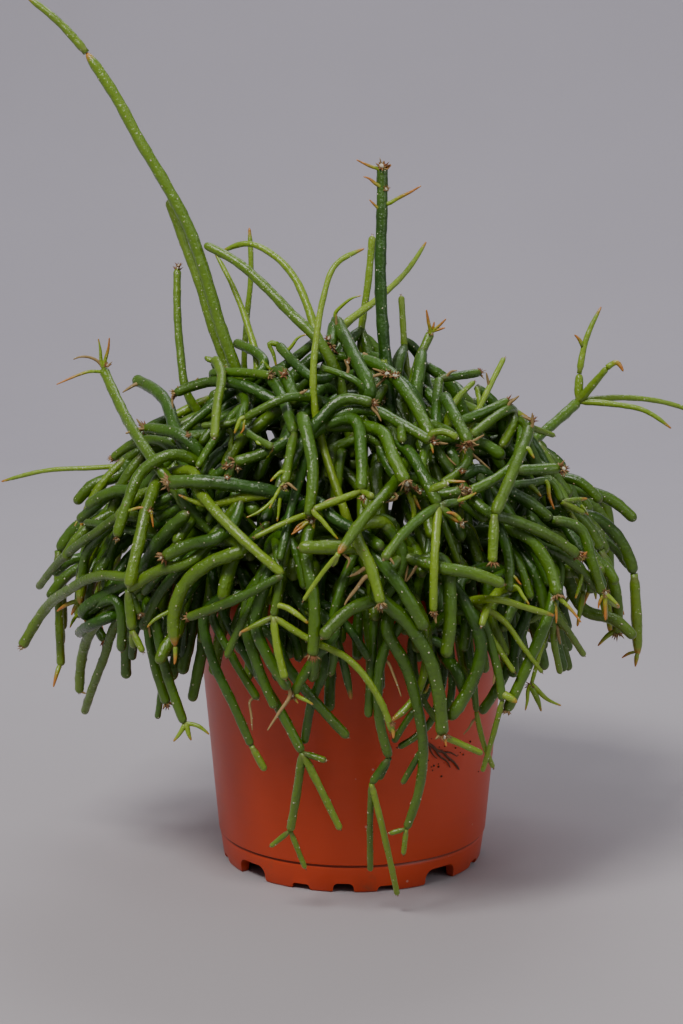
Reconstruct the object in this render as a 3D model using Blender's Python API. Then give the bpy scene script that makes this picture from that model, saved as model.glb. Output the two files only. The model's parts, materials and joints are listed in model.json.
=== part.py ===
import math
import bpy
import bmesh
import numpy as np
from mathutils import Vector

# ---------------------------------------------------------------- driving dimensions (metres)
POT_HEIGHT = 0.1130            # floor to rim
POT_FOOT_RADIUS = 0.0503       # outside of the foot band on the floor
POT_BASE_RADIUS = 0.0523       # outside of the wall just above the foot band
POT_TOP_RADIUS = 0.0603        # outside of the wall just below the collar
POT_COLLAR_RADIUS = 0.0620     # outside of the rolled collar
POT_COLLAR_HEIGHT = 0.0110     # height of the collar
POT_WALL = 0.0013              # wall thickness
FOOT_HEIGHT = 0.0104           # height of the foot band
FLOOR_TOP = 0.0126             # upper face of the pot's floor
SOIL_TOP = 0.1035              # level of the soil at its edge
GAP = 0.0003                   # play between neighbouring pieces
STEM_MARGIN = 0.00055          # play kept between stems of different shoots
NOTCH_PHASE = -4.0             # degrees, turn of the drainage pattern about the axis

# Front elevation: the centrelines of the visible stems are laid out on a drawing grid
# seen from EYE. One grid unit is about 0.39 mm on the pot's axis, x to the right, y down.
EYE = (-0.0042, -0.906, 0.305)
EYE_PITCH = math.radians(10.6)
GRID_REACH = 2400.0            # grid units per unit of slope
GRID_X0, GRID_Y0 = 340.2, 510.4
# Crown: half-axes of the outer surface that the front stems lie on
CROWN_RX, CROWN_RY = 0.114, 0.104
CROWN_RZ_UP, CROWN_RZ_DOWN = 0.090, 0.165
CROWN_Z = 0.122
# Half depth of the whole plant, front to back
PLANT_HALF_DEPTH = 0.1120
# youngest twigs too thin to be worked as solids of their own
THIN = ("T22", "B26", "C04", "C11", "C14", "F20", "F25", "F28", "F36", "F37", "F51", "G26", "G35", "G08")

# name, joined to, width at base, width at tip, depth rule, depth at base, depth at tip, youth, tip form, centreline
# depth rule S: millimetres behind the crown's outer surface; Y: millimetres along Y from the pot's axis
STEMS = (
 # tall shoots above the crown
 ("T01", "", 11, 10, "Y", -22, -2, 0.35, "t", ((236, 372), (233, 362), (220, 327), (208, 286), (194, 242), (179, 208), (167, 187), (145, 150), (128, 121), (107, 82), (85, 51))),
 ("T02", "T01", 9, 6, "Y", -2, 2, 0.55, "t", ((85, 51), (70, 35), (57, 20), (45, 10), (32, 0), (24, -6))),
 ("T03", "", 8, 8, "Y", -12, 4, 0.45, "", ((228, 370), (223, 362), (213, 334), (204, 303), (191, 262), (179, 233), (171, 214), (167, 198))),
 ("T04", "", 8, 7, "Y", -10, 6, 0.35, "b", ((186, 392), (182, 370), (179, 350), (177, 330), (176, 308), (177, 287), (176, 267))),
 ("T05", "", 10, 8, "Y", -38, -16, 0.3, "", ((316, 338), (312, 333), (299, 321), (283, 305), (266, 287), (249, 272), (230, 256), (216, 248), (203, 243))),
 ("T06", "", 9, 5, "Y", -30, -4, 0.75, "t", ((316, 334), (309, 312), (302, 295), (295, 279), (285, 267), (273, 254), (260, 246), (245, 242), (230, 244), (219, 251))),
 ("T07", "", 8, 4, "Y", -24, -2, 0.8, "t", ((256, 366), (252, 349), (247, 326), (241, 307), (232, 286), (221, 263), (212, 248))),
 ("T08", "", 6, 5, "Y", 14, 22, 0.6, "t", ((243, 366), (244, 340), (246, 310), (248, 285), (251, 260), (250, 240), (248, 226))),
 ("T09", "", 9, 5, "Y", -78, -48, 0.85, "t", ((345, 515), (338, 492), (333, 480), (326, 460), (320, 437), (315, 415), (312, 395), (312, 370), (314, 345), (320, 305), (330, 272), (345, 249), (363, 247))),
 ("T10", "", 12, 10, "Y", -34, -18, 0.05, "w", ((390, 414), (387, 395), (385, 365), (382, 340), (380, 300), (379, 260), (380, 230), (381, 200), (381, 163))),
 ("T11", "", 7, 7, "Y", -10, -2, 0.65, "w", ((356, 372), (358, 345), (361, 320), (365, 290), (370, 262), (371, 234))),
 ("T12", "", 8, 4, "Y", -20, 8, 0.85, "t", ((345, 322), (358, 313), (372, 301), (384, 291), (394, 282), (405, 270), (415, 256), (425, 240))),
 ("T14", "", 7, 6, "Y", -18, -8, 0.7, "w", ((406, 384), (404, 365), (403, 345), (402, 325), (401, 308), (400, 294))),
 ("T15", "", 9, 8, "Y", -22, -12, 0.3, "w", ((408, 388), (412, 375), (417, 360), (423, 345), (430, 330))),
 ("T16", "", 7, 5, "Y", -62, -42, 0.85, "w", ((463, 440), (469, 426), (475, 414), (482, 398), (490, 381), (497, 368), (503, 356))),
 ("T17", "", 9, 10, "Y", -16, 6, 0.15, "", ((520, 446), (533, 438), (545, 428), (557, 418), (567, 408), (577, 400))),
 ("T18", "T17", 9, 8, "Y", 6, 8, 0.7, "", ((577, 400), (576, 388), (578, 372))),
 ("T19", "T18", 7, 4, "Y", 8, 12, 0.8, "t", ((578, 372), (581, 356), (584, 342), (588, 326), (593, 314), (600, 305))),
 ("T20", "T17", 11, 6, "Y", 6, 0, 0.6, "", ((577, 400), (583, 391), (591, 380), (599, 371), (606, 366))),
 ("T21", "T17", 7, 4, "Y", 6, 14, 0.7, "t", ((577, 400), (600, 396), (620, 396), (640, 397), (660, 400), (683, 407), (704, 415))),
 ("T22", "T17", 7, 4, "Y", 6, -2, 0.75, "t", ((577, 400), (590, 402), (605, 402), (622, 404), (640, 408), (656, 414), (670, 427))),
 ("T23", "", 6, 4, "Y", 2, 12, 0.85, "t", ((185, 465), (160, 464), (138, 464), (100, 466), (70, 467), (45, 469), (22, 472), (0, 480))),
 # upper left of the crown
 ("A01", "", 11, 9, "S", 6, 2, 0.3, "w", ((168, 480), (160, 468), (150, 455), (138, 438), (127, 418), (116, 400), (108, 383), (102, 367))),
 ("A02", "", 12, 11, "S", 14, 12, 0.1, "", ((177, 434), (174, 420), (168, 405), (158, 392), (146, 383), (134, 378))),
 ("A03", "", 12, 10, "S", 10, 8, 0.1, "b", ((188, 440), (174, 437), (160, 433), (143, 427))),
 ("A04", "", 10, 8, "S", 18, 20, 0.2, "b", ((160, 440), (148, 438), (136, 441), (124, 444), (116, 450), (111, 457))),
 ("A06", "", 11, 10, "S", 6, 0, 0.25, "w", ((172, 453), (158, 457), (146, 464), (137, 476), (131, 489), (125, 504), (119, 519), (115, 536))),
 ("A07", "", 11, 12, "S", 22, 20, 0.15, "", ((140, 486), (126, 489), (114, 490), (104, 493), (94, 498), (86, 505))),
 ("A08", "A07", 9, 10, "S", 20, 20, 0.15, "", ((114, 490), (104, 502), (94, 510), (85, 515), (77, 519))),
 ("A09", "", 8, 8, "S", 28, 26, 0.1, "", ((136, 530), (122, 527), (108, 525), (95, 522), (84, 521))),
 ("A10", "", 10, 9, "S", 12, 8, 0.0, "", ((182, 484), (170, 488), (158, 493), (148, 500), (140, 508))),
 ("A11", "", 9, 8, "S", 14, 10, 0.1, "b", ((214, 402), (203, 410), (194, 416), (184, 426), (175, 435))),
 ("A12", "", 7, 6, "S", 12, 10, 0.2, "", ((236, 419), (224, 418), (212, 419), (200, 424))),
 ("A14", "", 8, 7, "S", 10, 8, 0.1, "", ((208, 446), (202, 455), (196, 466))),
 # upper middle of the crown
 ("B08", "", 9, 9, "S", 10, 6, 0.1, "", ((318, 378), (308, 367), (297, 357), (287, 348), (277, 343))),
 ("B09", "", 9, 8, "S", 14, 10, 0.15, "", ((286, 362), (298, 352), (309, 341), (320, 334))),
 ("B10", "", 9, 8, "S", 14, 8, 0.15, "b", ((212, 372), (226, 371), (240, 371), (255, 372), (270, 374))),
 ("B11", "", 12, 9, "S", 8, 4, 0.1, "b", ((278, 400), (262, 391), (246, 385), (230, 382), (213, 380), (198, 382), (184, 386), (173, 392))),
 ("B12", "", 9, 8, "S", 6, 0, 0.45, "w", ((220, 372), (218, 386), (216, 402), (214, 420), (213, 437))),
 ("B13", "", 9, 9, "S", 14, 16, 0.1, "", ((262, 366), (252, 357), (242, 349), (234, 341))),
 ("B14", "", 8, 7, "S", 6, 4, 0.15, "", ((286, 396), (272, 400), (260, 405), (250, 411), (243, 417))),
 ("B15", "", 7, 7, "S", 8, 4, 0.15, "", ((240, 424), (252, 430), (263, 438), (272, 446))),
 ("B16", "", 11, 11, "S", 6, 2, 0.1, "b", ((282, 441), (268, 444), (255, 448), (243, 453), (232, 461))),
 ("B17", "B16", 9, 9, "S", 2, 4, 0.1, "", ((232, 461), (221, 471), (210, 478))),
 ("B18", "", 13, 13, "S", 6, 0, 0.1, "b", ((236, 484), (222, 482), (206, 481), (190, 478), (178, 477), (166, 481))),
 ("B19", "B16", 10, 10, "S", 2, 10, 0.1, "", ((232, 461), (227, 478), (221, 492), (214, 506), (207, 522))),
 ("B20", "", 14, 14, "S", 12, 8, 0.05, "", ((222, 484), (234, 492), (246, 502), (257, 512))),
 ("B21", "", 12, 12, "S", 12, 10, 0.05, "", ((282, 372), (286, 384), (290, 394), (294, 403))),
 ("B22", "", 10, 10, "S", 8, 8, 0.05, "", ((278, 390), (284, 405), (290, 420), (293, 432))),
 ("B23", "B22", 9, 9, "S", 8, 2, 0.25, "", ((293, 432), (290, 448), (287, 464), (283, 482))),
 ("B24", "", 12, 10, "S", 4, 0, 0.15, "w", ((303, 422), (306, 437), (309, 454), (312, 472), (311, 494), (307, 515))),
 ("B25", "", 9, 8, "S", 14, 8, 0.05, "", ((303, 452), (299, 475), (292, 500), (286, 520), (282, 540), (278, 560))),
 ("B26", "", 6, 4, "S", 4, 0, 0.9, "t", ((206, 503), (197, 498), (188, 493), (177, 493))),
 ("B27", "", 13, 12, "S", 8, 6, 0.05, "", ((368, 392), (358, 370), (350, 348), (342, 330), (334, 318))),
 ("B28", "B27", 12, 12, "S", 6, 12, 0.05, "b", ((334, 318), (331, 331), (329, 346))),
 ("B29", "", 7, 6, "S", 6, 4, 0.1, "", ((360, 385), (344, 379), (331, 372), (319, 366))),
 ("B30", "", 11, 10, "S", 2, 0, 0.1, "w", ((318, 418), (330, 404), (345, 397), (360, 398), (372, 402))),
 ("B31", "", 11, 10, "S", 4, 0, 0.1, "w", ((334, 415), (350, 410), (368, 408), (386, 415), (404, 425), (418, 433), (430, 440))),
 ("B32", "", 12, 12, "S", 6, 2, 0.1, "", ((384, 368), (394, 378), (404, 390), (414, 404), (423, 419), (430, 436))),
 ("B33", "B31", 9, 9, "S", 0, 2, 0.2, "", ((386, 415), (392, 430), (401, 441))),
 # upper right of the crown
 ("C01", "", 11, 9, "S", 12, 10, 0.1, "", ((436, 428), (436, 412), (437, 396), (438, 377))),
 ("C02", "C01", 9, 8, "S", 10, 12, 0.15, "b", ((438, 377), (450, 373), (464, 371), (479, 371))),
 ("C03", "", 7, 5, "S", 6, 6, 0.5, "w", ((450, 407), (458, 398), (466, 389), (473, 380))),
 ("C04", "", 5, 5, "S", 14, 14, 0.5, "", ((475, 416), (476, 402), (475, 385))),
 ("C05", "", 11, 11, "S", 4, 2, 0.1, "b", ((444, 396), (452, 411), (460, 427), (468, 442))),
 ("C06", "", 9, 9, "S", 8, 6, 0.15, "", ((511, 408), (500, 412), (488, 419), (478, 427), (470, 434))),
 ("C07", "", 10, 8, "S", 10, 6, 0.1, "b", ((472, 415), (484, 408), (495, 403), (507, 399))),
 ("C09", "", 12, 12, "S", 13, 11, 0.05, "", ((476, 441), (486, 446), (495, 451), (503, 457))),
 ("C10", "", 9, 7, "S", 24, 20, 0.4, "t", ((496, 408), (506, 409), (517, 413), (528, 417))),
 ("C11", "C10", 5, 4, "S", 18, 16, 0.7, "", ((528, 417), (526, 427), (522, 437))),
 ("C12", "", 11, 11, "S", 6, 0, 0.25, "", ((527, 425), (522, 441), (516, 457), (511, 472), (505, 488), (498, 502), (493, 513))),
 ("C13", "C12", 12, 10, "S", 0, 0, 0.5, "b", ((493, 513), (490, 528), (490, 546), (491, 562))),
 ("C14", "C12", 7, 5, "S", 2, 6, 0.5, "w", ((522, 441), (533, 439), (543, 437), (553, 434))),
 ("C15", "C12", 11, 11, "S", 4, 0, 0.15, "b", ((516, 462), (528, 465), (542, 464), (559, 467))),
 ("C16", "", 10, 9, "S", 22, 18, 0.3, "", ((510, 415), (505, 430), (500, 446))),
 # front of the crown, upper band
 ("D01", "", 12, 11, "S", 4, 0, 0.1, "w", ((352, 418), (357, 436), (360, 454), (361, 472), (360, 490))),
 ("D02", "D01", 8, 7, "S", 0, 0, 0.7, "w", ((360, 488), (346, 492), (331, 499), (312, 508))),
 ("D03", "D01", 7, 7, "S", 0, 2, 0.6, "", ((360, 488), (371, 495))),
 ("D04", "", 7, 6, "S", 12, 12, 0.15, "", ((372, 420), (375, 434), (377, 448), (379, 462))),
 ("D05", "", 12, 12, "S", 4, 0, 0.15, "b", ((380, 430), (387, 447), (396, 463), (405, 482))),
 ("D06", "", 7, 7, "S", 10, 8, 0.2, "", ((399, 459), (412, 455), (427, 450))),
 ("D07", "", 8, 7, "S", 8, 4, 0.1, "w", ((428, 441), (426, 455), (424, 470), (423, 486))),
 ("D08", "", 11, 11, "S", 4, 0, 0.1, "", ((405, 448), (415, 463), (425, 480), (437, 504))),
 ("D09", "D08", 10, 9, "S", 0, 0, 0.15, "w", ((437, 504), (422, 514), (409, 525), (396, 539), (382, 558))),
 ("D10", "D08", 9, 8, "S", 0, 0, 0.75, "b", ((437, 504), (436, 525), (434, 548), (432, 572), (431, 592), (432, 611))),
 ("D11", "", 11, 10, "S", 6, 4, 0.1, "b", ((425, 492), (438, 489), (450, 488), (461, 489))),
 ("D12", "D08", 8, 8, "S", 0, 0, 0.15, "b", ((437, 504), (446, 501), (458, 500))),
 ("D13", "D08", 9, 8, "S", 0, 0, 0.2, "t", ((437, 504), (447, 512), (458, 521))),
 ("D14", "", 10, 10, "S", 6, 4, 0.1, "b", ((511, 464), (497, 470), (484, 480), (468, 490))),
 ("D15", "", 11, 10, "S", 14, 12, 0.1, "b", ((448, 448), (452, 462), (456, 474), (462, 480))),
 ("D16", "", 9, 8, "S", 14, 10, 0.2, "", ((467, 452), (459, 461), (448, 472), (441, 482))),
 ("D17", "", 12, 10, "S", 12, 8, 0.05, "", ((455, 497), (466, 503), (476, 510), (486, 519))),
 # left side, drooping
 ("E01", "", 9, 7, "S", 20, 14, 0.3, "w", ((130, 512), (118, 518), (105, 524), (92, 533), (78, 545), (62, 556), (50, 568), (42, 578), (37, 586))),
 ("E02", "", 9, 10, "S", 10, 8, 0.35, "w", ((138, 575), (124, 572), (110, 572), (95, 575), (80, 581), (65, 590), (50, 602), (38, 615), (28, 630), (20, 646))),
 ("E03", "", 9, 9, "S", 24, 20, 0.1, "", ((124, 516), (112, 524), (100, 533), (90, 545), (83, 558), (80, 572), (81, 583))),
 ("E04", "", 8, 8, "S", 34, 32, 0.05, "", ((122, 522), (110, 536), (103, 550), (97, 563), (92, 577), (88, 592), (86, 606), (86, 618))),
 ("E05", "", 10, 9, "S", 30, 30, 0.05, "", ((120, 526), (113, 540), (109, 555), (106, 570), (104, 588))),
 ("E06", "", 12, 12, "S", 26, 24, 0.05, "", ((132, 571), (122, 580), (113, 590), (104, 602), (97, 614))),
 ("E07", "", 11, 9, "S", 22, 18, 0.35, "w", ((131, 592), (118, 602), (105, 611), (95, 622), (88, 635), (82, 650), (79, 670), (78, 691))),
 ("E08", "", 9, 8, "S", 26, 24, 0.3, "w", ((124, 612), (116, 628), (108, 645), (101, 661), (94, 678), (88, 694), (83, 711))),
 ("E09", "", 9, 9, "S", 36, 36, 0.0, "b", ((88, 606), (95, 622), (104, 640))),
 ("E13", "", 12, 11, "S", 4, 2, 0.4, "", ((148, 500), (143, 512), (140, 528), (137, 544), (134, 560), (131, 574), (127, 586))),
 ("E15", "", 11, 11, "S", 8, 2, 0.3, "", ((192, 559), (178, 562), (164, 566), (151, 573), (139, 580), (127, 588))),
 ("E14", "E15", 11, 10, "S", 2, 0, 0.35, "", ((127, 588), (124, 598), (124, 608), (127, 618), (131, 629))),
 ("E16", "E14", 9, 7, "S", 0, 2, 0.5, "", ((131, 629), (130, 637), (132, 646))),
 ("E17", "E14", 8, 6, "S", 0, 0, 0.6, "w", ((131, 629), (136, 640), (142, 651))),
 ("E18", "E15", 8, 7, "S", 6, 6, 0.2, "b", ((130, 587), (135, 600), (139, 613))),
 ("E19", "", 13, 12, "S", 12, 6, 0.05, "w", ((140, 568), (150, 552), (162, 534), (174, 521), (187, 511))),
 ("E20", "", 11, 10, "S", 14, 12, 0.05, "", ((192, 494), (178, 500), (164, 507), (154, 517))),
 ("E21", "", 9, 10, "S", 10, 8, 0.1, "", ((178, 568), (166, 582), (156, 596), (147, 611), (141, 628))),
 ("E22", "", 8, 8, "S", 16, 14, 0.05, "w", ((164, 569), (152, 580), (142, 592))),
 ("E23", "", 13, 12, "S", 4, 0, 0.35, "t", ((240, 548), (222, 556), (205, 563), (190, 575), (179, 590), (173, 607), (173, 626), (174, 645))),
 ("E24", "", 12, 12, "S", 8, 2, 0.15, "b", ((216, 536), (203, 539), (189, 543), (175, 548), (161, 556))),
 ("E25", "", 9, 9, "S", 18, 16, 0.1, "b", ((146, 622), (148, 643), (153, 662), (159, 682), (166, 703))),
 ("E26", "", 10, 9, "S", 14, 12, 0.15, "", ((153, 618), (157, 637), (161, 655), (165, 670), (171, 690), (177, 707), (183, 722))),
 ("E27", "", 7, 6, "S", 30, 30, 0.05, "", ((161, 668), (160, 690), (156, 717))),
 ("E28", "", 10, 10, "S", 30, 30, 0.0, "", ((128, 632), (125, 655), (125, 677))),
 ("E29", "", 10, 9, "S", 18, 16, 0.1, "w", ((116, 600), (114, 618), (116, 634), (120, 650))),
 ("E30", "", 7, 6, "S", 34, 36, 0.0, "", ((184, 598), (184, 622), (182, 645), (181, 667))),
 ("E31", "", 9, 8, "S", 26, 26, 0.0, "", ((136, 622), (134, 640), (131, 658))),
 ("E32", "", 8, 8, "S", 22, 20, 0.05, "", ((168, 612), (164, 628), (160, 650), (164, 672))),
 # front, middle band
 ("F01", "", 11, 9, "S", 4, 0, 0.55, "", ((200, 492), (208, 502), (222, 517), (237, 533), (253, 549), (268, 562), (282, 573))),
 ("F02", "F01", 10, 9, "S", 0, 0, 0.2, "b", ((282, 573), (270, 580), (255, 588), (238, 596), (222, 602), (204, 609), (186, 616))),
 ("F04", "", 13, 13, "S", 6, 2, 0.25, "", ((237, 540), (232, 552), (228, 567), (224, 583), (221, 599))),
 ("F06", "", 10, 10, "S", 12, 12, 0.1, "", ((182, 497), (194, 511), (206, 526), (218, 538), (230, 548))),
 ("F07", "", 9, 8, "S", 12, 10, 0.05, "", ((232, 549), (243, 537), (255, 528), (268, 521))),
 ("F08", "", 11, 10, "S", 16, 12, 0.05, "", ((202, 506), (206, 520), (216, 534), (230, 546))),
 ("F09", "", 6, 5, "S", 4, 0, 0.75, "w", ((303, 514), (290, 518), (277, 524), (265, 531), (253, 536))),
 ("F12", "", 13, 13, "S", 4, 0, 0.3, "w", ((350, 546), (335, 545), (322, 544), (309, 545), (297, 546))),
 ("F13", "", 12, 11, "S", 4, 0, 0.2, "b", ((305, 552), (307, 568), (311, 584), (313, 602), (313, 620), (312, 638), (311, 655))),
 ("F15", "", 9, 9, "S", 16, 14, 0.05, "", ((287, 536), (292, 550), (298, 567), (304, 588))),
 ("F16", "", 8, 8, "S", 8, 6, 0.2, "", ((278, 576), (276, 590), (273, 603), (272, 615))),
 ("F17", "F16", 8, 8, "S", 6, 2, 0.8, "w", ((272, 615), (273, 632), (277, 650), (281, 665), (284, 678))),
 ("F19", "F16", 7, 7, "S", 6, 0, 0.75, "b", ((272, 613), (290, 625), (305, 636), (320, 644), (335, 650), (350, 660), (364, 675), (375, 692), (384, 711), (391, 730))),
 ("F20", "F16", 7, 5, "S", 6, 2, 0.6, "t", ((272, 614), (262, 618), (250, 624), (239, 631))),
 ("F21", "", 8, 7, "S", 10, 8, 0.1, "w", ((248, 606), (242, 620), (233, 636), (225, 656))),
 ("F22", "", 12, 10, "S", 12, 8, 0.1, "", ((262, 588), (256, 602), (254, 620), (258, 638), (266, 654), (277, 672), (288, 688))),
 ("F23", "", 10, 9, "S", 18, 14, 0.05, "w", ((244, 624), (248, 642), (255, 660), (262, 678), (268, 692), (274, 707))),
 ("F24", "", 9, 9, "S", 22, 12, 0.1, "", ((258, 672), (270, 694), (280, 711), (291, 731), (301, 751))),
 ("F25", "F24", 6, 6, "S", 12, 8, 0.3, "w", ((301, 751), (312, 754), (325, 759))),
 ("F26", "F24", 8, 7, "S", 12, 6, 0.6, "w", ((301, 751), (312, 772), (322, 793), (331, 811), (339, 828))),
 ("F27", "F24", 9, 8, "S", 12, 12, 0.4, "", ((301, 751), (298, 775), (294, 800), (289, 829))),
 ("F28", "F27", 6, 5, "S", 12, 10, 0.5, "w", ((289, 829), (279, 837), (269, 845))),
 ("F29", "F27", 6, 5, "S", 12, 8, 0.5, "w", ((289, 829), (297, 848), (304, 867))),
 ("F30", "", 10, 8, "S", 14, 12, 0.1, "w", ((203, 612), (204, 630), (207, 648), (215, 666), (225, 688), (237, 714), (250, 744))),
 ("F31", "F30", 8, 7, "S", 12, 12, 0.65, "", ((250, 744), (257, 757), (264, 769))),
 ("F32", "", 8, 8, "S", 20, 18, 0.1, "w", ((211, 612), (218, 630), (227, 648), (237, 666), (247, 684), (257, 698))),
 ("F33", "", 8, 8, "S", 28, 26, 0.05, "", ((220, 606), (228, 626), (239, 645), (251, 664), (263, 684))),
 ("F34", "", 11, 11, "S", 14, 10, 0.05, "", ((316, 500), (322, 513), (335, 518), (348, 525), (361, 532), (372, 539), (381, 547))),
 ("F35", "", 11, 10, "S", 8, 0, 0.2, "t", ((398, 474), (388, 486), (376, 500), (364, 515), (353, 530), (344, 544), (337, 552))),
 ("F36", "F35", 7, 6, "S", 0, 0, 0.8, "w", ((337, 552), (331, 564))),
 ("F37", "F35", 5, 4, "S", 0, -2, 0.9, "w", ((337, 552), (327, 563), (315, 580), (302, 599))),
 ("F38", "", 13, 10, "S", 4, -2, 0.5, "b", ((354, 528), (360, 542), (366, 557), (372, 572), (377, 588), (380, 603))),
 ("F39", "", 12, 12, "S", 6, 2, 0.1, "", ((374, 550), (386, 566), (396, 581), (406, 595), (416, 610), (424, 628))),
 ("F40", "", 12, 12, "S", 6, 0, 0.15, "w", ((384, 592), (370, 597), (355, 603), (341, 615), (329, 627), (320, 637))),
 ("F41", "", 14, 12, "S", 4, 0, 0.2, "b", ((376, 590), (390, 604), (405, 620), (419, 640), (429, 660), (436, 686), (440, 710), (441, 734))),
 ("F42", "F41", 7, 6, "S", 0, 0, 0.75, "w", ((440, 722), (455, 733), (468, 743), (481, 752))),
 ("F43", "", 9, 9, "S", 16, 14, 0.0, "", ((352, 556), (345, 571), (339, 588), (334, 604), (331, 620))),
 ("F44", "", 9, 8, "S", 20, 14, 0.05, "", ((378, 600), (375, 622), (372, 645), (370, 668), (368, 692), (367, 716))),
 ("F45", "", 10, 9, "S", 14, 12, 0.1, "", ((404, 614), (392, 630), (384, 645), (379, 665), (376, 688), (377, 712), (382, 734), (388, 756))),
 ("F46", "F45", 8, 7, "S", 12, 10, 0.1, "", ((386, 750), (379, 765), (370, 782))),
 ("F47", "F46", 6, 6, "S", 10, 12, 0.35, "", ((370, 782), (368, 805), (369, 835), (369, 869))),
 ("F48", "F46", 7, 6, "S", 10, 4, 0.8, "w", ((370, 782), (378, 810), (386, 848), (396, 893))),
 ("F49", "F45", 7, 6, "S", 12, 12, 0.15, "", ((388, 756), (384, 767), (378, 778))),
 ("F50", "", 12, 8, "S", 8, 2, 0.2, "w", ((386, 626), (394, 642), (402, 658), (409, 678), (415, 700), (420, 724), (422, 750), (420, 776), (414, 802), (405, 827))),
 ("F51", "F50", 5, 5, "S", 2, 2, 0.4, "", ((405, 827), (397, 829), (388, 832))),
 ("F52", "F50", 6, 5, "S", 2, 0, 0.7, "w", ((405, 827), (404, 841), (402, 853))),
 ("F53", "F50", 6, 6, "S", 2, 6, 0.15, "w", ((422, 750), (411, 768), (401, 782))),
 ("F54", "", 8, 7, "S", 14, 10, 0.5, "t", ((414, 695), (401, 706), (389, 720))),
 ("F55", "", 7, 6, "S", 20, 16, 0.1, "", ((424, 694), (413, 709), (402, 724), (392, 741))),
 ("F56", "", 7, 6, "S", 22, 18, 0.1, "w", ((428, 722), (412, 735), (397, 746))),
 ("F57", "", 7, 6, "S", 16, 14, 0.2, "", ((418, 690), (428, 705), (437, 720))),
 ("F58", "", 8, 7, "S", 18, 16, 0.0, "", ((446, 648), (451, 668), (450, 690), (446, 712))),
 ("F59", "", 9, 8, "S", 24, 20, 0.05, "", ((324, 660), (316, 678), (311, 698), (307, 720), (303, 742))),
 ("F60", "", 10, 9, "S", 14, 10, 0.1, "", ((334, 628), (322, 646), (308, 664), (298, 680), (291, 694))),
 ("F61", "", 10, 9, "S", 14, 10, 0.15, "w", ((288, 668), (300, 684), (314, 700), (329, 718), (347, 736))),
 ("F62", "", 8, 8, "S", 20, 20, 0.05, "w", ((332, 640), (330, 658), (329, 674))),
 ("F63", "", 8, 7, "S", 20, 18, 0.05, "t", ((340, 654), (346, 668), (350, 684), (350, 698))),
 ("F64", "", 8, 8, "S", 18, 16, 0.05, "", ((342, 620), (352, 634), (362, 648), (368, 658))),
 ("F65", "", 9, 9, "S", 22, 20, 0.05, "", ((286, 626), (292, 642), (298, 660))),
 ("F66", "", 10, 9, "S", 24, 22, 0.05, "", ((338, 600), (336, 620), (335, 642), (336, 660))),
 # right side
 ("G01", "", 12, 11, "S", 6, 0, 0.25, "w", ((440, 566), (452, 571), (466, 571), (480, 574), (492, 579), (503, 583))),
 ("G02", "", 13, 12, "S", 6, 4, 0.2, "", ((440, 558), (444, 575), (448, 595), (449, 615), (447, 636), (444, 656))),
 ("G03", "", 12, 12, "S", 8, 2, 0.15, "", ((446, 578), (458, 595), (469, 611), (477, 629), (480, 648), (477, 667), (468, 686), (457, 702), (447, 718))),
 ("G04", "", 9, 8, "S", 8, 4, 0.1, "w", ((474, 612), (484, 630), (491, 648), (496, 668), (499, 685), (501, 699))),
 ("G05", "G04", 6, 5, "S", 4, 8, 0.6, "", ((501, 699), (497, 715), (490, 740), (481, 770))),
 ("G06", "G04", 8, 5, "S", 8, 4, 0.65, "w", ((484, 630), (495, 643), (505, 657), (513, 671))),
 ("G07", "", 7, 6, "S", 14, 12, 0.1, "w", ((471, 676), (474, 694), (475, 710))),
 ("G08", "G07", 6, 5, "S", 12, 8, 0.8, "w", ((475, 710), (479, 730), (485, 750), (492, 766))),
 ("G09", "", 10, 9, "S", 20, 20, 0.05, "", ((502, 676), (490, 695), (479, 712))),
 ("G10", "", 11, 10, "S", 4, 0, 0.2, "b", ((486, 510), (500, 517), (515, 520), (530, 525), (546, 533), (561, 543), (577, 554))),
 ("G11", "", 11, 11, "S", 10, 8, 0.1, "", ((498, 484), (510, 490), (522, 497), (535, 506), (550, 518))),
 ("G12", "G11", 11, 9, "S", 8, 4, 0.2, "", ((550, 518), (564, 518), (576, 524), (584, 537), (589, 553), (594, 573), (601, 593))),
 ("G13", "", 10, 9, "S", 10, 8, 0.15, "", ((528, 537), (544, 545), (560, 553), (574, 563), (587, 577), (598, 590))),
 ("G14", "G12", 8, 7, "S", 4, 4, 0.7, "t", ((601, 593), (610, 599), (618, 606))),
 ("G15", "G12", 8, 7, "S", 4, 4, 0.7, "t", ((601, 593), (603, 605), (605, 618))),
 ("G16", "", 10, 9, "S", 8, 4, 0.1, "", ((493, 514), (500, 530), (506, 548), (508, 568), (508, 590))),
 ("G17", "", 12, 11, "S", 10, 6, 0.15, "b", ((500, 522), (515, 529), (530, 539), (542, 554), (551, 573), (556, 595))),
 ("G18", "", 9, 8, "S", 14, 10, 0.1, "", ((506, 538), (514, 554), (522, 572), (530, 598))),
 ("G19", "", 11, 11, "S", 18, 14, 0.1, "", ((512, 540), (524, 556), (535, 574), (543, 594), (545, 614))),
 ("G20", "", 7, 6, "S", 4, 0, 0.8, "t", ((496, 598), (510, 602), (525, 606), (540, 610), (553, 614))),
 ("G21", "", 7, 6, "S", 22, 22, 0.05, "", ((556, 556), (558, 575), (557, 597))),
 ("G22", "", 11, 10, "S", 12, 8, 0.15, "b", ((552, 598), (546, 615), (540, 631), (533, 648), (524, 668), (515, 688), (505, 710))),
 ("G23", "", 10, 10, "S", 22, 20, 0.05, "", ((526, 612), (517, 632), (513, 652), (512, 676))),
 ("G24", "", 7, 6, "S", 14, 14, 0.4, "w", ((550, 604), (560, 619), (571, 636), (583, 654))),
 ("G25", "", 7, 6, "S", 18, 18, 0.35, "", ((548, 612), (552, 632), (554, 652), (559, 672))),
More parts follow.
